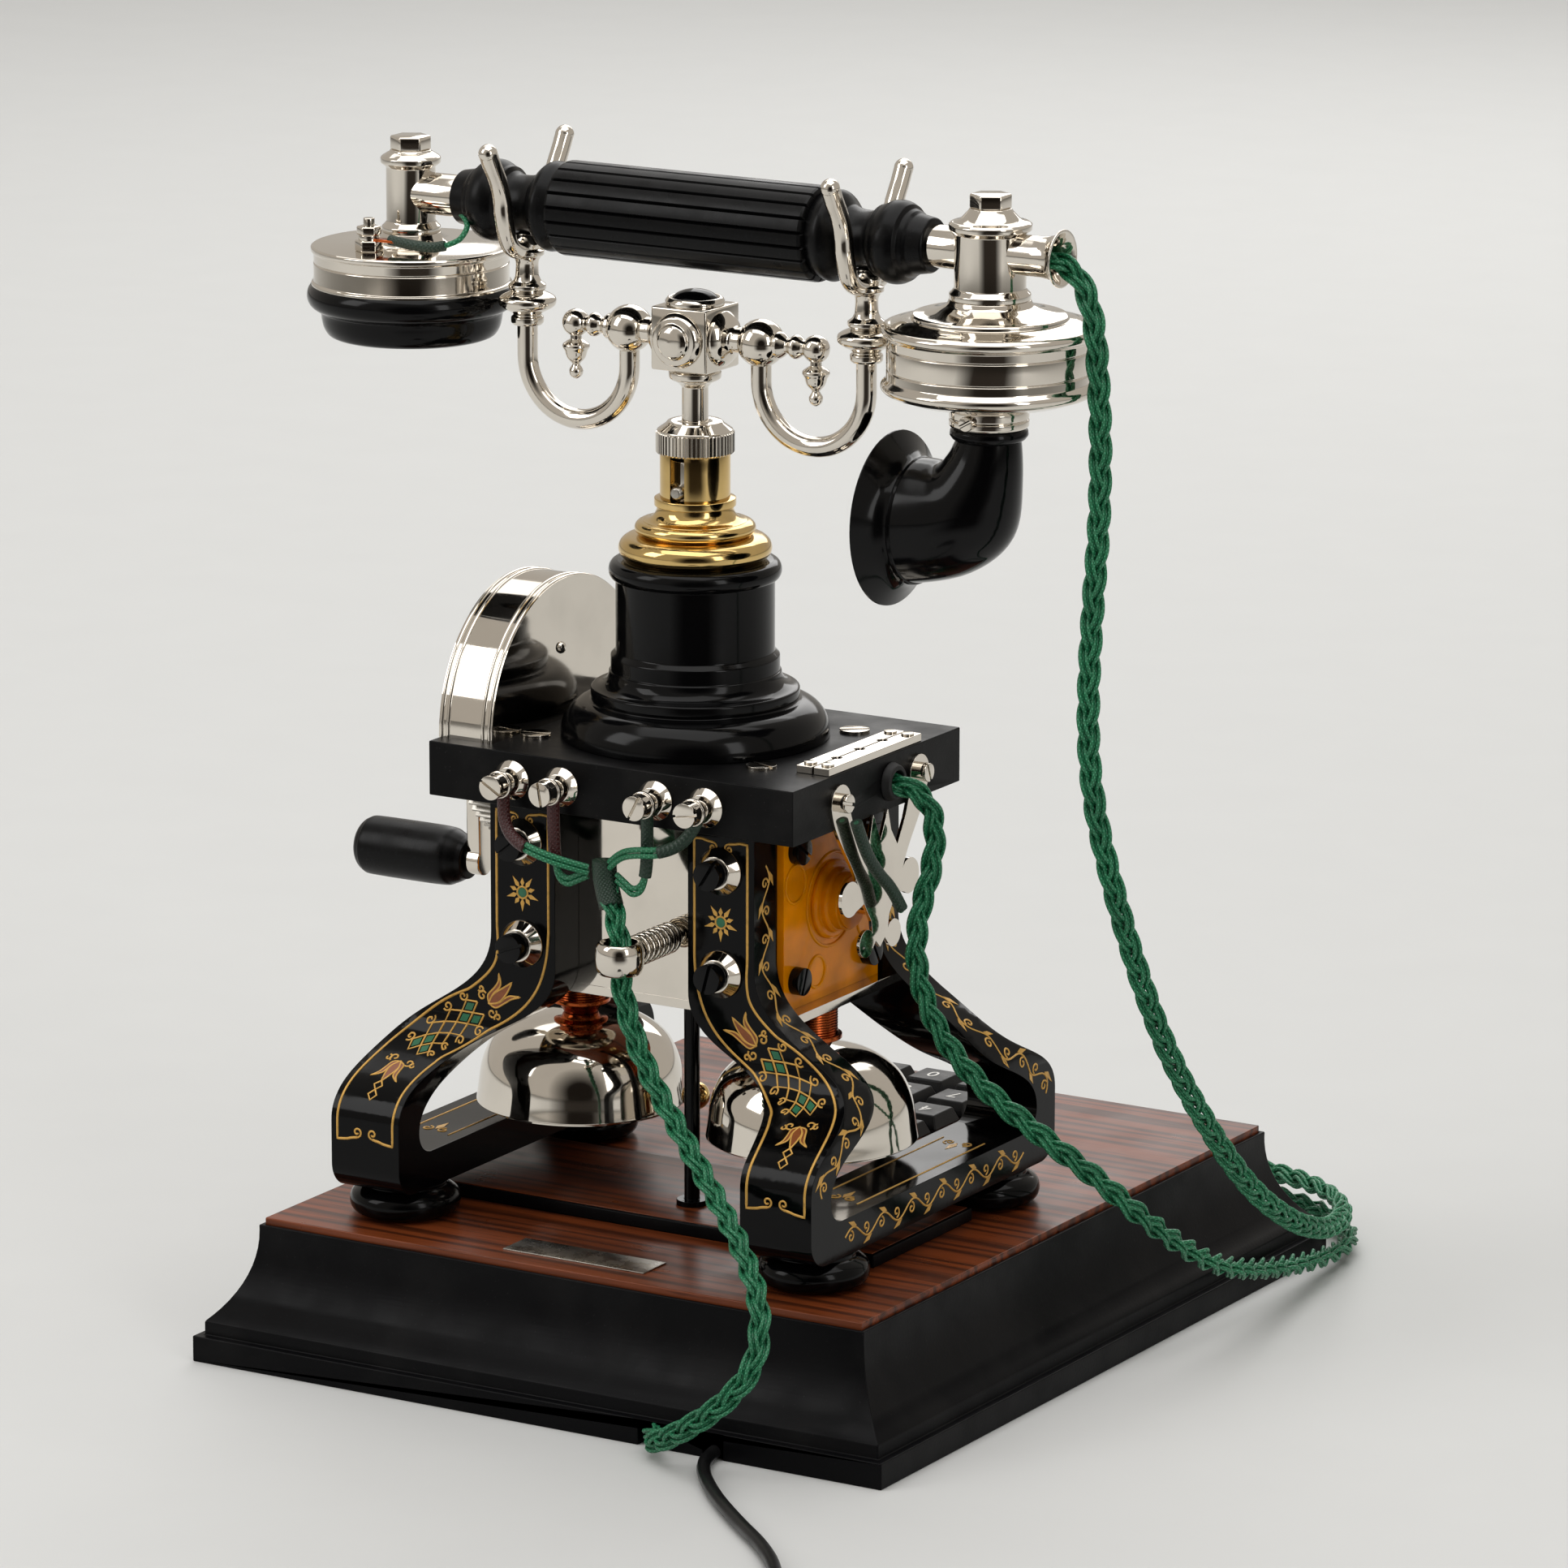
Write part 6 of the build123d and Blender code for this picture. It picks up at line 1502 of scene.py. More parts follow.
    def lattice(self, place, start):
        """A band of diamonds, green at both ends, with scrolls along its sides."""
        tall, wide, rows, shrink = 3.5, 2.3, 7, 0.62
        for row in range(rows):
            along = start + tall * (row + 1)
            for across in ((-wide, wide) if row % 2 == 0 else (0,)):
                corners = [
                    (along - tall, across), (along, across + wide), (along + tall, across), (along, across - wide),
                ]
                self.line(place, [*corners, corners[0]], True)
                if row in (0, 1, rows - 2, rows - 1):
                    inner = [(along + (a - along) * shrink, across + (w - across) * shrink) for a, w in corners]
                    self.fill(place, inner, "leaf")
        for side in (-1, 1):
            for part, turn in ((0.14, 1), (0.38, -1), (0.62, 1), (0.86, -1)):
                along = start + 28 * part
                self.scroll(place, along, side * 6.2, 1.7, 90 + 90 * turn, 420 * side * turn)

    def vine(self, place, start, end, wave):
        """A waving stem with leaves and tendrils on alternate sides."""
        waves = max(round((end - start) / 18), 1)
        count = waves * 12
        self.line(place, [
            (start + (end - start) * step / count, wave * math.sin(2 * math.pi * waves * step / count))
            for step in range(count + 1)
        ], True)
        for crest in range(waves * 2):
            along = start + (end - start) * (crest + 0.5) / (waves * 2)
            side = 1 if crest % 2 == 0 else -1
            self.scroll(place, along + 1.2, -side * 0.5, 1.9, 90 * side, 400 * side)
            tip = side * (wave + 2.2)
            leaf = [
                (along - 2.2, side * wave), (along + 0.4, side * (wave + 0.3)), (along + 2.8, tip),
                (along - 0.6, side * (wave + 1.7)),
            ]
            self.fill(place, leaf, "gold")

    def shelf_lines(self, place):
        """Two lines along the runner's top, with a sprig at each end."""
        for across in (-7.5, 7.5):
            self.line(place, [(6, across), (40, across), (86, across)], True)
        for along, way in ((10, 1), (82, -1)):
            for side in (-1, 1):
                self.scroll(place, along, side * 3.0, 2.2, 90 - 90 * way, 420 * side)
            leaf = [(along, 0), (along + way * 3, 1.3), (along + way * 8, 0), (along + way * 3, -1.3)]
            self.fill(place, leaf, "gold")


class OBJECT_OT_telephone_magneto(bpy.types.Operator):
    """Mirror plates, magnets, amber end covers, armature, gear, gear cover and crank"""

    bl_idname = "object.telephone_magneto"
    bl_label = "Magneto"

    def execute(self, context):
        piece("mirror_plates", "nickel", [copied("magneto_plates")], ["magneto_plates"], edge=0.3)
        piece("magnet_block", "iron", [copied("field_magnets")], ["field_magnets"], edge=0.6)
        self.end_covers()
        piece("armature_dressed", "brass", [copied("armature")], ["armature"], sharp=30)
        piece("drive_gear_dressed", "steel", [copied("drive_gear")], ["drive_gear"], sharp=30)
        self.gear_cover()
        self.crank()
        return {"FINISHED"}

    def end_covers(self):
        """Amber covers with moulded rings, a stepped boss on the left one, and their slotted screws."""
        middle = (MAGNETO_Z + PLATE_Z) / 2
        screw_y, screw_z = 22, 21
        steps = [
            (8.5, 0), (12.6, 0), (12.6, 1.2), (11.6, 1.9), (10.4, 1.9), (10.4, 3.6), (9.6, 4.4), (9.2, 4.4), (9.2, 7.0),
            (8.5, 7.4),
        ]
        boss = turned(steps, (-COVER_FACE, SET_Y, middle + BOSS_RISE), (-1, 0, 0), 0.3, closed=True)
        covers = [copied("end_covers"), boss]
        rings = ((-22, -10, 6.0), (22, 10, 6.0), (-9, 21, 5.0), (9, -21, 5.0), (0, BOSS_RISE, 15.0))
        for side in (-1, 1):
            for dy, dz, radius in rings:
                spot = (side * COVER_FACE, SET_Y + dy, middle + dz)
                ring = arc(spot, radius, 0, 360, 48, (0, 1, 0))
                covers.append(pipe(ring[:-1], 0.55, 10, True))
        piece("amber_covers", "amber", covers, ["end_covers"], edge=0.6)
        screws = []
        turns = iter((30, 80, -20, 55, 10, 95, -50, 66))
        for side in (-1, 1):
            for dy in (-screw_y, screw_y):
                for dz in (-screw_z, screw_z):
                    spot = (side * COVER_FACE, SET_Y + dy, middle + dz)
                    screws += slotted(spot, (side, 0, 0), 4.4, 3.5, 1.0, 1.2, next(turns))
        piece("slotted_cover_screws", "ebonite", screws, ["end_cover_screws"])

    def gear_cover(self):
        """Half-moon cover with rounded rims and the dome screw on its inner face."""
        low, high = span("gear_cover")
        radius = high[2] - PLATE_TOP
        rims = [copied("gear_cover")]
        for x in (low[0] + 1.0, low[0] + 3.4, high[0] - 3.4, high[0] - 1.0):
            rims.append(pipe(arc((x, SET_Y, PLATE_TOP), radius - 0.35, 0, 180, 72, (0, 1, 0)), 0.8, 12))
        piece("half_moon_cover", "nickel", rims, ["gear_cover"], edge=0.4)
        dome = [(0, 1.6), (0.8, 1.5), (1.6, 1.0), (2.0, 0), (0, 0)]
        screw = turned(dome, (low[0], 51.8, 224.1), (-1, 0, 0), 0.2, steps=24)
        piece("cover_dome_screw", "nickel", [screw], body="base", slot="nickel")

    def crank(self):
        """Flat arm and the turned handle on its pin."""
        piece("crank_arm_dressed", "nickel", [copied("crank_arm")], ["crank_arm"], edge=0.5)
        low, high = span("crank_handle")
        y, z = (low[1] + high[1]) / 2, (low[2] + high[2]) / 2
        start, end, radius = low[0], high[0], (high[2] - low[2]) / 2
        body = smooth([
            (start + 1.5, radius * 0.72), (start + 5, radius * 0.9), (start + 10, radius), (end - 7, radius),
            (end - 3, radius * 0.95), (end - 0.8, radius * 0.78), (end, radius * 0.55),
        ], 5)
        profile = [(start, 0), (start, radius * 0.68), *body, (end, 0)]
        piece("turned_crank_handle", "grip", [lathed(profile, (y, z), 0.3)], ["crank_handle"])


class OBJECT_OT_telephone_top_plate(bpy.types.Operator):
    """Black slab with its screws, arrester strips, terminals, grommet and cord bracket"""

    bl_idname = "object.telephone_top_plate"
    bl_label = "Top plate"

    def execute(self, context):
        piece("top_slab", "slab", [copied("top_plate")], ["top_plate"], edge=0.6)
        self.screws()
        self.terminals()
        piece("grommet_dressed", "rubber", [copied("cord_grommet")], ["cord_grommet"], edge=0.5)
        self.bracket()
        return {"FINISHED"}

    def screws(self):
        """Slotted heads of the top plate, and the arrester's strips with their own screws."""
        heads = []
        turns = iter((35, -20, 70, 10))
        for x in (-41.5, 41.5):
            for dy in (-28.5, 28.5):
                heads += slotted((x, SET_Y + dy, PLATE_TOP - 0.4), (0, 0, 1), 4.8, 1.4, 1.1, 0.7, next(turns), 0.25)
        piece("slotted_top_screws", "nickel", heads, ["top_screws"])
        strips = [copied("arrester_plates")]
        low, high = span("arrester_plates")
        for x in (low[0] + 2.8, high[0] - 2.8):
            for y in (low[1] + 4, high[1] - 4):
                strips += slotted((x, y, high[2] - 0.6), (0, 0, 1), 2.1, 1.2, 0.6, 0.6, 40, 0.15)
        piece("arrester_strips", "nickel", strips, ["arrester_plates"], edge=0.25)

    def terminals(self):
        """Cone washers, clamp posts and slotted heads of the four line terminals."""
        posts = []
        shape = [
            (0, 0), (6.4, 0), (6.4, 0.7), (4.4, 3.1), (2.6, 3.1), (2.6, 7.1), (4.4, 7.1), (4.4, 8.2), (3.9, 8.3),
            (3.9, 11.4), (0, 11.4),
        ]
        for x, turn in ((-35.4, 8), (-17.2, 62), (17.2, 100), (35.4, -30)):
            posts.append(turned(shape, (x, REAR_Y, TERMINAL_Z), (0, 1, 0), 0.25, steps=64))
            posts += slotted((x, REAR_Y + 11.0, TERMINAL_Z), (0, 1, 0), 3.9, 2.2, 0.9, 1.5, turn, 0.7)
        piece("line_terminals", "nickel", posts, ["terminal_screws"])

    def bracket(self):
        """The lyre-shaped cord bracket and its two screws."""
        piece("cord_bracket_dressed", "nickel", [copied("cord_bracket")], ["cord_bracket"], edge=0.25)
        heads = []
        for dy, turn in ((-24.5, 20), (24.5, 75)):
            heads += slotted((LEFT_X - 1.0, SET_Y + dy, TERMINAL_Z), (-1, 0, 0), 3.0, 3.6, 0.8, 1.0, turn, 0.4)
        piece("bracket_screws", "nickel", heads, body="base", slot="nickel")


class OBJECT_OT_telephone_column(bpy.types.Operator):
    """Turned column, slotted brass collar and knurled nut"""

    bl_idname = "object.telephone_column"
    bl_label = "Column"

    def execute(self, context):
        foot, top = PLATE_TOP, COLUMN_TOP
        ogee = [(33.5 + 9 * math.cos(a), foot + 1.5 + 10 * math.sin(a)) for a in self.quarter(12)]
        cove = [(32.5 - 5.3 * math.sin(a), foot + 21 - 5 * math.cos(a)) for a in self.quarter(8)]
        bead = [(25.1 + 2.2 * math.cos(a), top - 3.2 + 3.0 * math.sin(a)) for a in self.quarter(12, -90, 90)]
        profile = [
            (0, foot), (42.5, foot), *ogee, (32.6, foot + 12), (33.0, foot + 13), (33.0, foot + 15.5), *cove,
            (26.7, foot + 21.3), (26.7, foot + 26), (25.1, foot + 27.5), (25.1, top - 6.5), *bead, (24.6, top),
            (0, top),
        ]
        piece("turned_column", "ebonite", [turned(profile, (0, SET_Y, 0), soft=0.35)], ["column"])
        self.collar()
        self.nut()
        return {"FINISHED"}

    def quarter(self, steps, start=0, end=90):
        """Angles from start to end, given in degrees and returned in radians."""
        return [math.radians(start + (end - start) * step / steps) for step in range(steps + 1)]

    def collar(self):
        """Domed base, ring and slotted tube of the brass collar."""
        foot = COLUMN_TOP
        bore, wall = 8.05, 11.1
        cushion = [(20.2 + 4.0 * math.cos(a), foot + 3.8 + 3.8 * math.sin(a)) for a in self.quarter(12, -60, 90)]
        swell = [(16.6 + 2.5 * math.cos(a), foot + 10.2 + 2.2 * math.sin(a)) for a in self.quarter(10, -80, 90)]
        neck = [(16.4 - 4.4 * math.sin(a), foot + 17.0 - 4.4 * math.cos(a)) for a in self.quarter(8)]
        slot_foot = 277.3
        lower = [
            (bore, foot), (22.0, foot), *cushion, (19.4, foot + 7.8), *swell, *neck, (12.0, 274.3), (12.9, 274.6),
            (12.9, 277.0), (wall, slot_foot), (bore, slot_foot),
        ]
        base = turned(lower, (0, SET_Y, 0), soft=0.25, closed=True)
        gap = 2 * math.asin(2.6 / wall)
        tube = turned(
            [(bore, slot_foot - 0.1), (wall, slot_foot - 0.1), (wall, COLLAR_TOP), (bore, COLLAR_TOP)], soft=0.2,
            closed=True, sweep=1 - gap / (2 * math.pi),
        )
        turn = Matrix.Rotation(math.pi / 2 + gap / 2, 4, "Z")
        bmesh.ops.transform(tube, matrix=Matrix.Translation(at(0, SET_Y, 0)) @ turn, verts=tube.verts)
        piece("slotted_collar", "brass", [base, tube], ["brass_collar"])

    def nut(self):
        """Knurled nut with a coned top."""
        low, high = span("knurled_nut")
        knurl = ribbed(
            60, 12.4, 11.9, 0.35, [(0, 0.96), (0.5, 1.0), (6.6, 1.0), (7.0, 0.96)], (0, SET_Y, low[2]), (0, 0, 1)
        )
        top = high[2] - 2.0
        cap = turned(
            [(4.3, low[2] + 6.8), (12.0, low[2] + 6.8), (12.0, low[2] + 7.4), (9.2, top - 0.8), (8.6, top), (4.3, top)],
            (0, SET_Y, 0), soft=0.35, closed=True,
        )
        piece("knurled_nut_dressed", "nickel", [knurl, cap], ["knurled_nut"])


class OBJECT_OT_telephone_cradle(bpy.types.Operator):
    """Cradle hub with its stem, scrolled arms with balls and finials, and two forks"""

    bl_idname = "object.telephone_cradle"
    bl_label = "Cradle"

    def execute(self, context):
        self.hub()
        self.arms()
        self.forks()
        return {"FINISHED"}

    def hub(self):
        """Cube with a domed disc on two faces, its button, its stem and the pin in the collar's slot."""
        half = 10.05
        under = HUB_Z - half
        parts = [slab((-half, half), (SET_Y - half, SET_Y + half), (under, HUB_Z + half), 0.7)]
        disc = [
            (0, 0), (8.8, 0), (8.8, 1.0), (8.0, 2.4), (7.4, 3.0), (5.8, 3.1), (5.5, 3.7),
            *smooth([(5.2, 4.2), (4.0, 5.0), (2.0, 5.5), (0, 5.7)], 4),
        ]
        for side in (-1, 1):
            parts.append(turned(disc, (0, SET_Y + side * half, HUB_Z), (0, side, 0), 0.3, steps=72))
        ring = [(7.2, 0), (9.4, 0), (9.4, 1.2), (8.6, 2.4), (7.6, 2.4), (7.2, 1.6)]
        parts.append(turned(ring, (0, SET_Y, HUB_Z + half), soft=0.3, closed=True, steps=72))
        low = span("cradle_hub")[0][2]
        plunger_top = COLLAR_TOP - 1
        stem = [
            (0, low), (8.0, low), (8.0, plunger_top - 1), (4.2, plunger_top - 1), (4.2, under - 6.5),
            *smooth([(4.2, under - 6.0), (5.6, under - 4.6), (7.9, under - 3.4), (8.3, under - 2.4)], 4),
            (8.3, under - 1.2), (7.2, under - 0.6), (7.2, under + 0.2), (0, under + 0.2),
        ]
        parts.append(turned(stem, (0, SET_Y, 0), soft=0.2))
        piece("hub_with_stem", "nickel", parts, ["cradle_hub"])
        angles = [math.radians(8 * step) for step in reversed(range(11))]
        dome = [(0, 4.9), *[(7.5 * math.cos(a), 1.0 + 3.8 * math.sin(a)) for a in angles], (7.5, 0), (0, 0)]
        button = turned(dome, (0, SET_Y, HUB_Z + half), soft=0)
        piece("hub_button", "ebonite", [button], body="cradle", slot="black_ebonite")
        pin = [(0, 0), (2.4, 0), (2.4, 10.6), (1.6, 12.1), (0, 12.1)]
        pin = turned(pin, (0, SET_Y, 280.0), (0, 1, 0), 0.4, steps=32)
        piece("hook_pin", "steel", [pin], body="cradle", slot="nickel")

    def arms(self):
        """Turned arms with a ball, a finial with its hanging drop, and the bent tube to the fork."""
        shapes = []
        shaft = [
            (9.5, 0), (9.5, 8.8), (11.0, 8.8), (12.4, 7.6), *smooth([(13.2, 6.6), (14.6, 4.4), (16.2, 4.2)], 4),
            (31.4, 4.2), (32.6, 3.4), (33.7, 2.4), *smooth([(34.6, 2.6), (36.2, 3.7), (37.6, 3.7), (39.4, 2.4)], 4),
            (40.6, 2.2), (FINIAL_X, 2.2), (FINIAL_X, 0),
        ]
        drop = [
            (0, 0), (1.8, 0), (1.8, -5.2), (2.8, -5.8), (4.2, -6.8), (4.4, -7.6), (4.0, -8.4),
            *smooth([(3.6, -9.0), (2.9, -11.2), (1.5, -12.8)], 4), (1.2, -13.2),
            *smooth([(1.3, -13.6), (2.2, -15.2), (1.9, -16.8), (0.8, -17.8)], 4), (0, -18.0),
        ]
        for side in (-1, 1):
            shapes.append(lathed(shaft, (SET_Y, HUB_Z), 0.25, side))
            shapes.append(ball((side * BALL_X, SET_Y, HUB_Z), 7.6))
            shapes.append(ball((side * FINIAL_X, SET_Y, HUB_Z), 4.4))
            shapes.append(turned(drop, (side * FINIAL_X, SET_Y, HUB_Z), soft=0.15, steps=48))
            bend = HUB_Z - 11.9
            reach = (FORK_X - BALL_X) / 2
            hook = [Vector((side * BALL_X, SET_Y, HUB_Z - 4))]
            hook += arc((side * (BALL_X + reach), SET_Y, bend), reach, 180, 360, 40, (side, 0, 0))
            hook.append(Vector((side * FORK_X, SET_Y, HUB_Z - 1.5)))
            shapes.append(pipe(hook, 3.25, 24))
        piece("scrolled_arms", "nickel", shapes, ["cradle_arms"])

    def forks(self):
        """Turned cups, each with two tines under the grip's waist."""
        shapes = []
        foot, seat = HUB_Z - 2.3, HANDSET_Z - 9.3
        vase = [
            (0, foot), (4.6, foot), (5.2, foot + 0.8), (5.2, foot + 2.4), (4.4, foot + 3.2),
            *smooth(
                [(5.2, foot + 4.0), (8.4, foot + 5.8), (9.2, foot + 7.4), (8.6, foot + 9.0), (5.8, foot + 10.4)], 4
            ),
            (5.2, foot + 10.8), (6.0, foot + 11.6), (6.0, foot + 12.8), (4.4, foot + 14.0),
            *smooth([(3.8, foot + 15.4), (3.6, seat - 9.5), (4.6, seat - 7.4)], 4),
            (5.4, seat - 7.0), (5.4, seat - 5.6), (3.6, seat - 4.6), (3.4, seat), (0, seat),
        ]
        tines = (
            (0, seat - 4.6), (5.4, seat - 4.8), (10.4, seat - 1.8), (13.4, HANDSET_Z - 3.4), (14.4, HANDSET_Z + 3),
            (16.4, HANDSET_Z + 8.6), (20.0, HANDSET_Z + 14.6), (22.3, HANDSET_Z + 18.8),
        )
        for x in (-FORK_X, FORK_X):
            shapes.append(turned(vase, (x, SET_Y, 0), soft=0.25, steps=72))
            shapes.append(ball((x, SET_Y, seat - 3.4), 4.5))
            for side in (-1, 1):
                line = smooth([(x, SET_Y + side * dy, z) for dy, z in tines], 6)
                shapes.append(pipe(line, 3.0, 20))
                shapes.append(ball((x, SET_Y + side * tines[-1][0], tines[-1][1]), 3.05, 32))
        piece("twin_forks", "nickel", shapes, ["cradle_forks"])


class OBJECT_OT_telephone_handset(bpy.types.Operator):
    """Fluted grip, nickel posts, receiver with its ear cap, transmitter and speaking horn"""

    bl_idname = "object.telephone_handset"
    bl_label = "Handset"

    def execute(self, context):
        self.grip()
        self.posts()
        self.receiver()
        self.transmitter()
        self.horn()
        return {"FINISHED"}

    def grip(self):
        """Fluted bar with a turned bead, waist and bulb at each end."""
        axis = (SET_Y, HANDSET_Z)
        flutes = ribbed(
            20, 15.0, 14.0, 0.8, [(-47, 0.92), (-46.4, 0.985), (-45.6, 1.0), (45.6, 1.0), (46.4, 0.985), (47, 0.92)],
            (0, *axis), (1, 0, 0),
        )
        end = [
            (46.5, 0), (46.5, 13.0), (48.2, 13.4), *smooth([(49.6, 14.0), (51.6, 14.3), (53.4, 13.4), (55.4, 11.4)], 4),
            *smooth([(56.6, 10.0), (60.0, 9.0), (64.6, 9.0), (66.6, 9.8)], 4), (67.4, 11.2), (68.8, 11.4),
            *smooth([(69.8, 12.0), (72.2, 13.0), (75.0, 12.9), (77.4, 11.9)], 4), (78.2, 10.6), (79.6, 10.2),
            (80.6, 9.4), (85.4, 8.6), (86.0, 8.0), (86.0, 0),
        ]
        ends = [lathed(end, axis, 0.3, side) for side in (-1, 1)]
        piece("fluted_grip", "grip", [flutes, *ends], ["handset_grip"])

    def posts(self):
        """Two capped posts with their nuts, the cross tube and the cord trumpet."""
        parts = []
        for x, radius, foot, brim in ((POST_X, 7.9, 351.8, 374.0), (-POST_X, 11.1, 350.0, 371.6)):
            post = [
                (0, foot), (radius + 1.5, foot), (radius + 1.5, foot + 1.8), (radius + 0.8, foot + 2.4),
                (radius, foot + 3.4), (radius, brim - 1.4), (radius + 1.7, brim), (radius + 1.7, brim + 1.6),
                *smooth([(radius + 1.0, brim + 2.2), (radius * 0.6 + 2.9, brim + 3.0), (6.8, 377.4)], 4),
                (6.4, 378.1), (0, 378.1),
            ]
            parts.append(turned(post, (x, SET_Y, 0), soft=0.3))
            parts.append(hexagon(x, SET_Y, 378.0, 11.4, 4.5, 0.6))
        for low, high in ((85.0, POST_X), (-POST_X, -85.0)):
            parts.append(drum((low, SET_Y, HANDSET_Z), (high, SET_Y, HANDSET_Z), 6.7, 0.2))
        trumpet = [
            (-POST_X, 6.3), (-122.5, 6.3), *smooth([(-124.5, 6.35), (-127.6, 6.9), (-129.6, 7.9), (-130.6, 9.0)], 4),
            (-131.0, 8.9), (-131.0, 8.1), *smooth([(-130.0, 7.2), (-127.6, 5.6), (-124.8, 4.6)], 4), (-118, 4.3),
            (-118, 0), (-POST_X, 0),
        ]
        parts.append(lathed(trumpet, (SET_Y, HANDSET_Z), 0.2))
        piece("nickel_posts", "nickel", parts, ["handset_frame"])

    def receiver(self):
        """Banded case with its terminal, copper lug and wrapped wire, and the ear cap."""
        top = 347.6
        shell = [
            (0, 4.2), (9.4, 4.2), (9.8, 3.0), *smooth([(10.6, 1.8), (12.0, 0.6), (14.0, 0)], 4), (31.4, 0),
            (32.0, -0.4), (32.0, -1.6), (31.2, -2.2), (31.2, -5.0), (30.8, -5.3), (31.2, -5.6), (31.2, -11.4),
            (31.9, -11.8), (31.9, -13.4), (31.2, -13.8), (31.2, -14.8), (0, -14.8),
        ]
        parts = [turned(shell, (POST_X, SET_Y, top), soft=0.25)]
        x, y = 110.1, 64.4
        parts += [
            hexagon(x, y, top, 8.0, 3.6), drum((x, y, top + 3.6), (x, y, top + 10.6), 1.8, 0.3, 24),
            hexagon(x, y, top + 5.2, 7.0, 2.8), drum((x, y, top + 3.4), (x, y, top + 5.2), 3.4, 0.2, 32),
        ]
        piece("receiver_case", "nickel", parts, ["receiver_shell"])
        lug = [slab((x - 11, x - 1), (y - 1.9, y + 1.9), (top + 3.5, top + 4.3), 0.2)]
        piece("copper_lug", "copper", lug, body="handset", slot="copper")
        sleeve = [
            (x - 8, y, top + 4.2), (x - 15, y + 0.6, top + 3.6), (x - 23, y + 0.2, top + 3.2), (x - 28, y - 1, top + 4),
        ]
        wire = [
            sleeve[-1], (x - 32, y - 3, top + 6.0), (x - 33, y - 6, top + 9.6), (x - 30, y - 9, top + 12),
            (x - 26, y - 11.5, top + 13),
        ]
        line = [at(*point) for point in smooth(sleeve, 6)]
        piece("receiver_sleeve", "wrap", [sleeved(line, 1.7 * MM, 12)], body="handset", slot="lead_wrap")
        line = [at(*point) for point in smooth(wire, 6)]
        piece("receiver_wire", "cotton", [sleeved(line, 0.9 * MM, 10)], body="handset", slot="green_cord")
        seat = 333.0
        angles = [math.radians(80 - 12 * step) for step in range(13)]
        cap = [
            (6.0, 1.0), (29.4, 2.6), *[(29.6 + 3.8 * math.cos(a), 4.4 * math.sin(a) - 1.4) for a in angles],
            (29.2, -6.6), (28.9, -7.6), *smooth([(28.8, -8.6), (28.2, -11.4), (26.8, -13.8), (25.0, -14.7)], 4),
            *smooth([(23.4, -14.5), (15.0, -11.4), (6.0, -9.7)], 4),
        ]
        piece("ear_cap_dressed", "ebonite", [turned(cap, (POST_X, SET_Y, seat), soft=0.2, closed=True)], ["ear_cap"])

    def transmitter(self):
        """Capsule with two rounded rims and a grooved band between them."""
        top = 350.0
        shell = [
            (0, 0), (12.6, 0), (13.0, -1.0), *smooth([(13.6, -1.8), (16.4, -3.2), (20.4, -4.2), (23.6, -4.6)], 4),
            (24.2, -5.0), (24.2, -6.0), (26.6, -6.2), (28.8, -7.0),
            *smooth([(30.2, -7.4), (32.2, -7.8), (33.3, -8.8), (33.3, -10.2), (32.4, -11.2)], 4),
            (31.7, -11.8), (31.7, -14.4), (31.3, -14.7), (31.7, -15.0), (31.7, -21.4), (31.3, -21.7), (31.7, -22.0),
            (31.7, -24.6), *smooth([(32.4, -25.2), (33.3, -26.2), (33.3, -27.6), (32.2, -28.8), (30.2, -29.6)], 4),
            (28.6, -30.0), *smooth([(26.0, -31.0), (20.0, -32.2), (13.4, -32.9)], 4), (11.7, -33.5), (0, -33.5),
        ]
        piece("transmitter_case", "nickel", [turned(shell, (-POST_X, SET_Y, top), soft=0.25)], ["transmitter_shell"])

    def horn(self):
        """Speaking horn: clamp band, ring, swelling elbow, and a flared mouth open to the elbow's throat."""
        top, foot = 316.5, 310.2
        wall, drop = 1.8, 32
        clamp = [
            (9.6, foot), (11.8, foot), (12.4, foot + 0.8), (12.4, foot + 2.4), (11.9, foot + 2.8), (12.4, foot + 3.2),
            (12.4, top - 0.8), (11.8, top), (9.6, top),
        ]
        parts = [turned(clamp, (-POST_X, SET_Y, 0), soft=0.25, closed=True)]
        parts += slotted((-POST_X, SET_Y + 11.6, foot + 3.2), (0, 1, 0), 2.3, 3.6, 0.6, 0.8, 30, 0.25)
        piece("horn_band", "nickel", parts, ["horn_clamp"])
        bends = (
            (0, 0.11, 0, 0), (0.05, 0.41, 0.24, 22), (0.19, 0.75, 0.65, 45), (0.52, 0.92, 0.875, 68), (1, 1, 1, 90),
        )
        outside = [(-POST_X + 25.2 * fx, foot - drop * fz, 10 + 9.6 * fr, tilt) for fx, fz, fr, tilt in bends]
        elbow = smooth(outside, 6)
        axis = foot - drop
        flare = smooth([(19.6, -80.4), (20.0, -79.0), (21.4, -76.9), (24.2, -74.6), (27.3, -72.6)], 4)
        shell = [*elbow, *[(x, axis, radius, 90) for radius, x in flare[1:]]]
        shell += [(-72.2, axis, 27.4, 90), (-72.0, axis, 26.6, 90)]
        inside = [(-73.0, axis, 25.4, 90), (-75.6, axis, 21.6, 90), (-78.6, axis, 18.8, 90)]
        inside += [(x, z, radius - wall, tilt) for x, z, radius, tilt in reversed(elbow[10:])]
        ring = [(0, 0), (11.2, 0), (12.0, -0.8), (12.2, -2.2), (11.4, -3.4), (10.2, -4.2), (0, -4.2)]
        angles = [math.radians(45 * step) for step in range(8)]
        ridge = [(19.2 + 0.9 * math.cos(a), 0.9 * math.sin(a)) for a in angles]
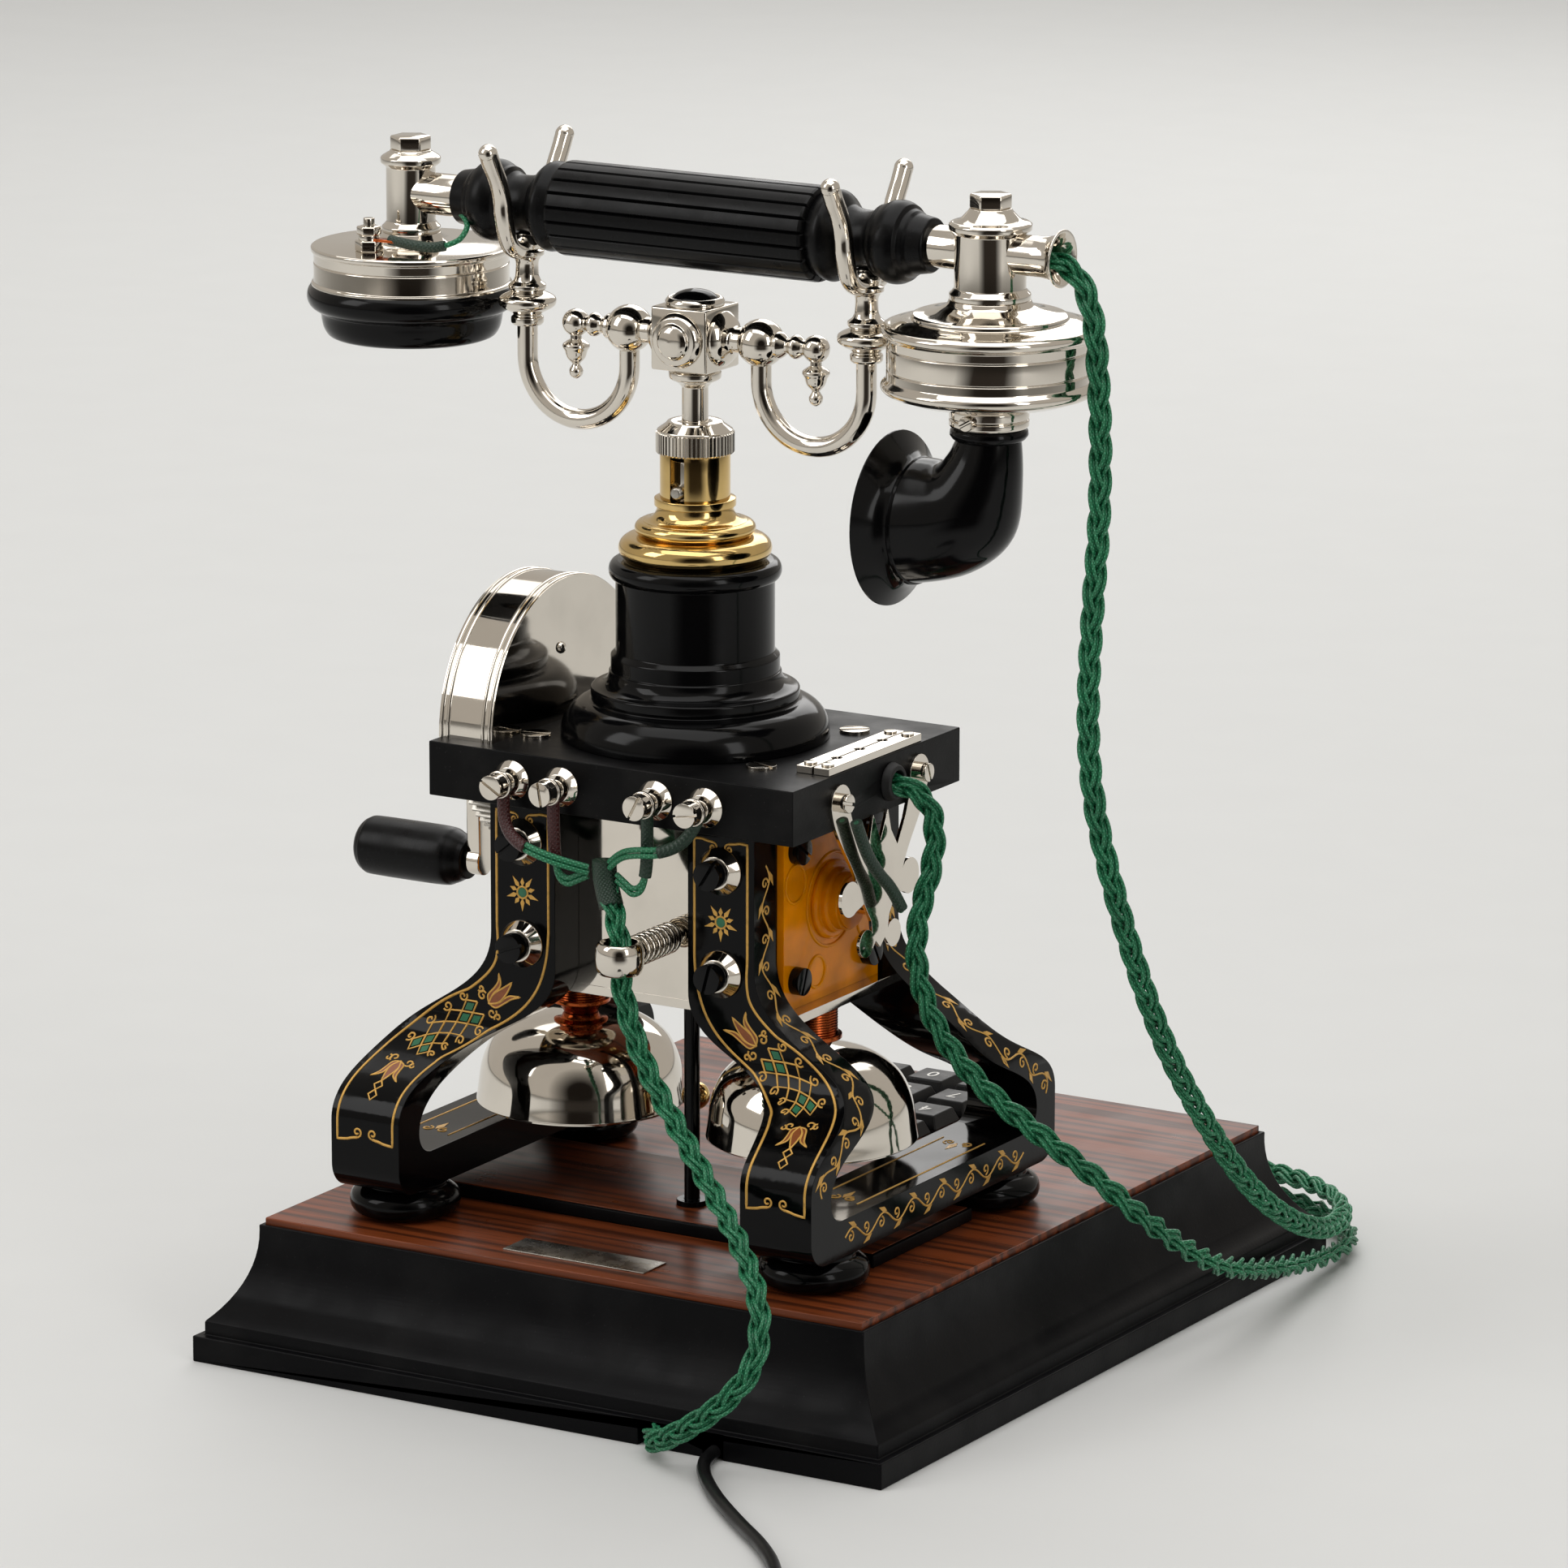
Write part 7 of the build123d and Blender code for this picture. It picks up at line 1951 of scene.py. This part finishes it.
        shapes = [
            lofted([*shell, *inside]), turned(ring, (-POST_X, SET_Y, foot), soft=0.3),
            turned(ridge, (-81.0, SET_Y, axis), (1, 0, 0), 0, closed=True),
        ]
        piece("speaking_horn", "ebonite", shapes, ["horn"])


class OBJECT_OT_telephone_ringer(bpy.types.Operator):
    """Bells, wound coils, hammer, sprung cord ring and conduit"""

    bl_idname = "object.telephone_ringer"
    bl_label = "Ringer"

    def execute(self, context):
        self.bells()
        self.coils()
        piece("bell_hammer_dressed", "brass", [copied("bell_hammer")], ["bell_hammer"], edge=0.2)
        self.cord_ring()
        piece("conduit_dressed", "enamel", [copied("conduit_tube")], ["conduit_tube"], edge=0.2)
        return {"FINISHED"}

    def bells(self):
        """Two gongs, mouth down."""
        mouth = span("bells")[0][2]
        radius, height, wall, hole = 33.7, 28.7, 1.8, 3.2
        dome = smooth([(1, 0), (0.985, 0.12), (0.94, 0.45), (0.82, 0.72), (0.58, 0.92), (0.3, 0.995)], 5)
        outer = [(radius * r, height * h) for r, h in dome]
        inner = [(max(r - wall, 4), h - wall * 0.6) for r, h in outer]
        profile = [*outer, (hole, height), (hole, height - wall), *reversed(inner[:-1]), (radius - wall, 0)]
        shells = [turned(profile, (x, SET_Y, mouth), soft=0.2, closed=True, steps=144) for x in (-BELL_X, BELL_X)]
        piece("turned_bells", "nickel", shells, ["bells"])

    def coils(self):
        """Close turns of wire on their bobbins, over the bells."""
        windings, posts = [], []
        bobbin = [
            (0, 120.0), (9.5, 120.0), (9.5, 118.5), (7.4, 118.5), (7.4, 109.5), (9.5, 109.5), (9.5, 108.0),
            (7.0, 107.4), (5.5, 104.5), (4.2, 104.3), (0, 104.3),
        ]
        for x in (-BELL_X, BELL_X):
            for turn in range(11):
                ring = arc((x, SET_Y, 118.0 - 0.86 * turn), 7.7, 0, 360, 36, (1, 0, 0), (0, 1, 0))
                windings.append(pipe(ring[:-1], 0.46, 8, True))
            windings.append(drum((x, SET_Y, 109), (x, SET_Y, 118.6), 7.6, 0.2))
            posts.append(turned(bobbin, (x, SET_Y, 0), soft=0.3, steps=72))
        piece("wound_coils", "copper", windings, ["ringer_coils"])
        piece("coil_bobbins", "copper", posts, body="base", slot="copper")

    def cord_ring(self):
        """Bead-shaped ring on its rod, with the coil spring behind it."""
        x, y, z = -11.0, 110.0, 143.4
        barrel = smooth([(5.0, -4.6), (6.4, -5.0), (7.4, -3.2), (7.7, 0), (7.4, 3.2), (6.4, 5.0), (5.0, 4.6)], 5)
        parts = [
            turned([*barrel, (5.0, 0)], (x, y, z), soft=0, closed=True, steps=72),
            drum((x, 77.5, z), (x, y - 6.0, z), 2.9, 0.3),
            turned([(0, 0), (4.6, 0), (4.6, 1.6), (3.6, 2.4), (0, 2.4)], (x, y - 9.0, z), (0, 1, 0), 0.3, steps=48),
        ]
        spring = []
        turns, steps, pitch, reach = 7, 20, 3, 4.2
        for step in range(turns * steps + 1):
            angle = 2 * math.pi * step / steps
            spring.append((x + reach * math.cos(angle), 80 + pitch * step / steps, z + reach * math.sin(angle)))
        parts.append(pipe(spring, 0.85, 10))
        piece("sprung_cord_ring", "nickel", parts, ["cord_ring"])


class VIEW3D_PT_telephone(bpy.types.Panel):
    """Builds the telephone's pieces"""

    bl_idname = "VIEW3D_PT_telephone"
    bl_label = "Telephone"
    bl_space_type = "VIEW_3D"
    bl_region_type = "UI"
    bl_category = "Telephone"

    def draw(self, context):
        for operator in OPERATORS:
            self.layout.operator(operator.bl_idname)


OPERATORS = (
    OBJECT_OT_telephone_stage, OBJECT_OT_telephone_cords, OBJECT_OT_telephone_plinth, OBJECT_OT_telephone_keypad,
    OBJECT_OT_telephone_stand, OBJECT_OT_telephone_ornament, OBJECT_OT_telephone_magneto,
    OBJECT_OT_telephone_top_plate, OBJECT_OT_telephone_column, OBJECT_OT_telephone_cradle,
    OBJECT_OT_telephone_handset, OBJECT_OT_telephone_ringer,
)
CLASSES = (TelephoneColours, TelephoneSizes, *OPERATORS, VIEW3D_PT_telephone)


def register():
    """Register the add-on's classes and its scene properties."""
    for entry in CLASSES:
        bpy.utils.register_class(entry)
    bpy.types.Scene.telephone_colours = bpy.props.PointerProperty(type=TelephoneColours)
    bpy.types.Scene.telephone_sizes = bpy.props.PointerProperty(type=TelephoneSizes)


def unregister():
    """Take the add-on's scene properties and classes away."""
    del bpy.types.Scene.telephone_sizes
    del bpy.types.Scene.telephone_colours
    for entry in reversed(CLASSES):
        bpy.utils.unregister_class(entry)


def main():
    """Build every piece in order and write the sizes."""
    register()
    bpy.ops.object.telephone_stage()
    bpy.ops.object.telephone_cords()
    bpy.ops.object.telephone_plinth()
    bpy.ops.object.telephone_keypad()
    bpy.ops.object.telephone_stand()
    bpy.ops.object.telephone_ornament()
    bpy.ops.object.telephone_magneto()
    bpy.ops.object.telephone_top_plate()
    bpy.ops.object.telephone_column()
    bpy.ops.object.telephone_cradle()
    bpy.ops.object.telephone_handset()
    bpy.ops.object.telephone_ringer()
    boxes = {"cad": CAD_BOX, "visual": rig.bounds()}
    plain = {name: [[float(value) for value in corner] for corner in box] for name, box in boxes.items()}
    with open("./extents.json", "w") as out:
        json.dump(plain, out, indent=1)


if __name__ == "__main__":
    main()
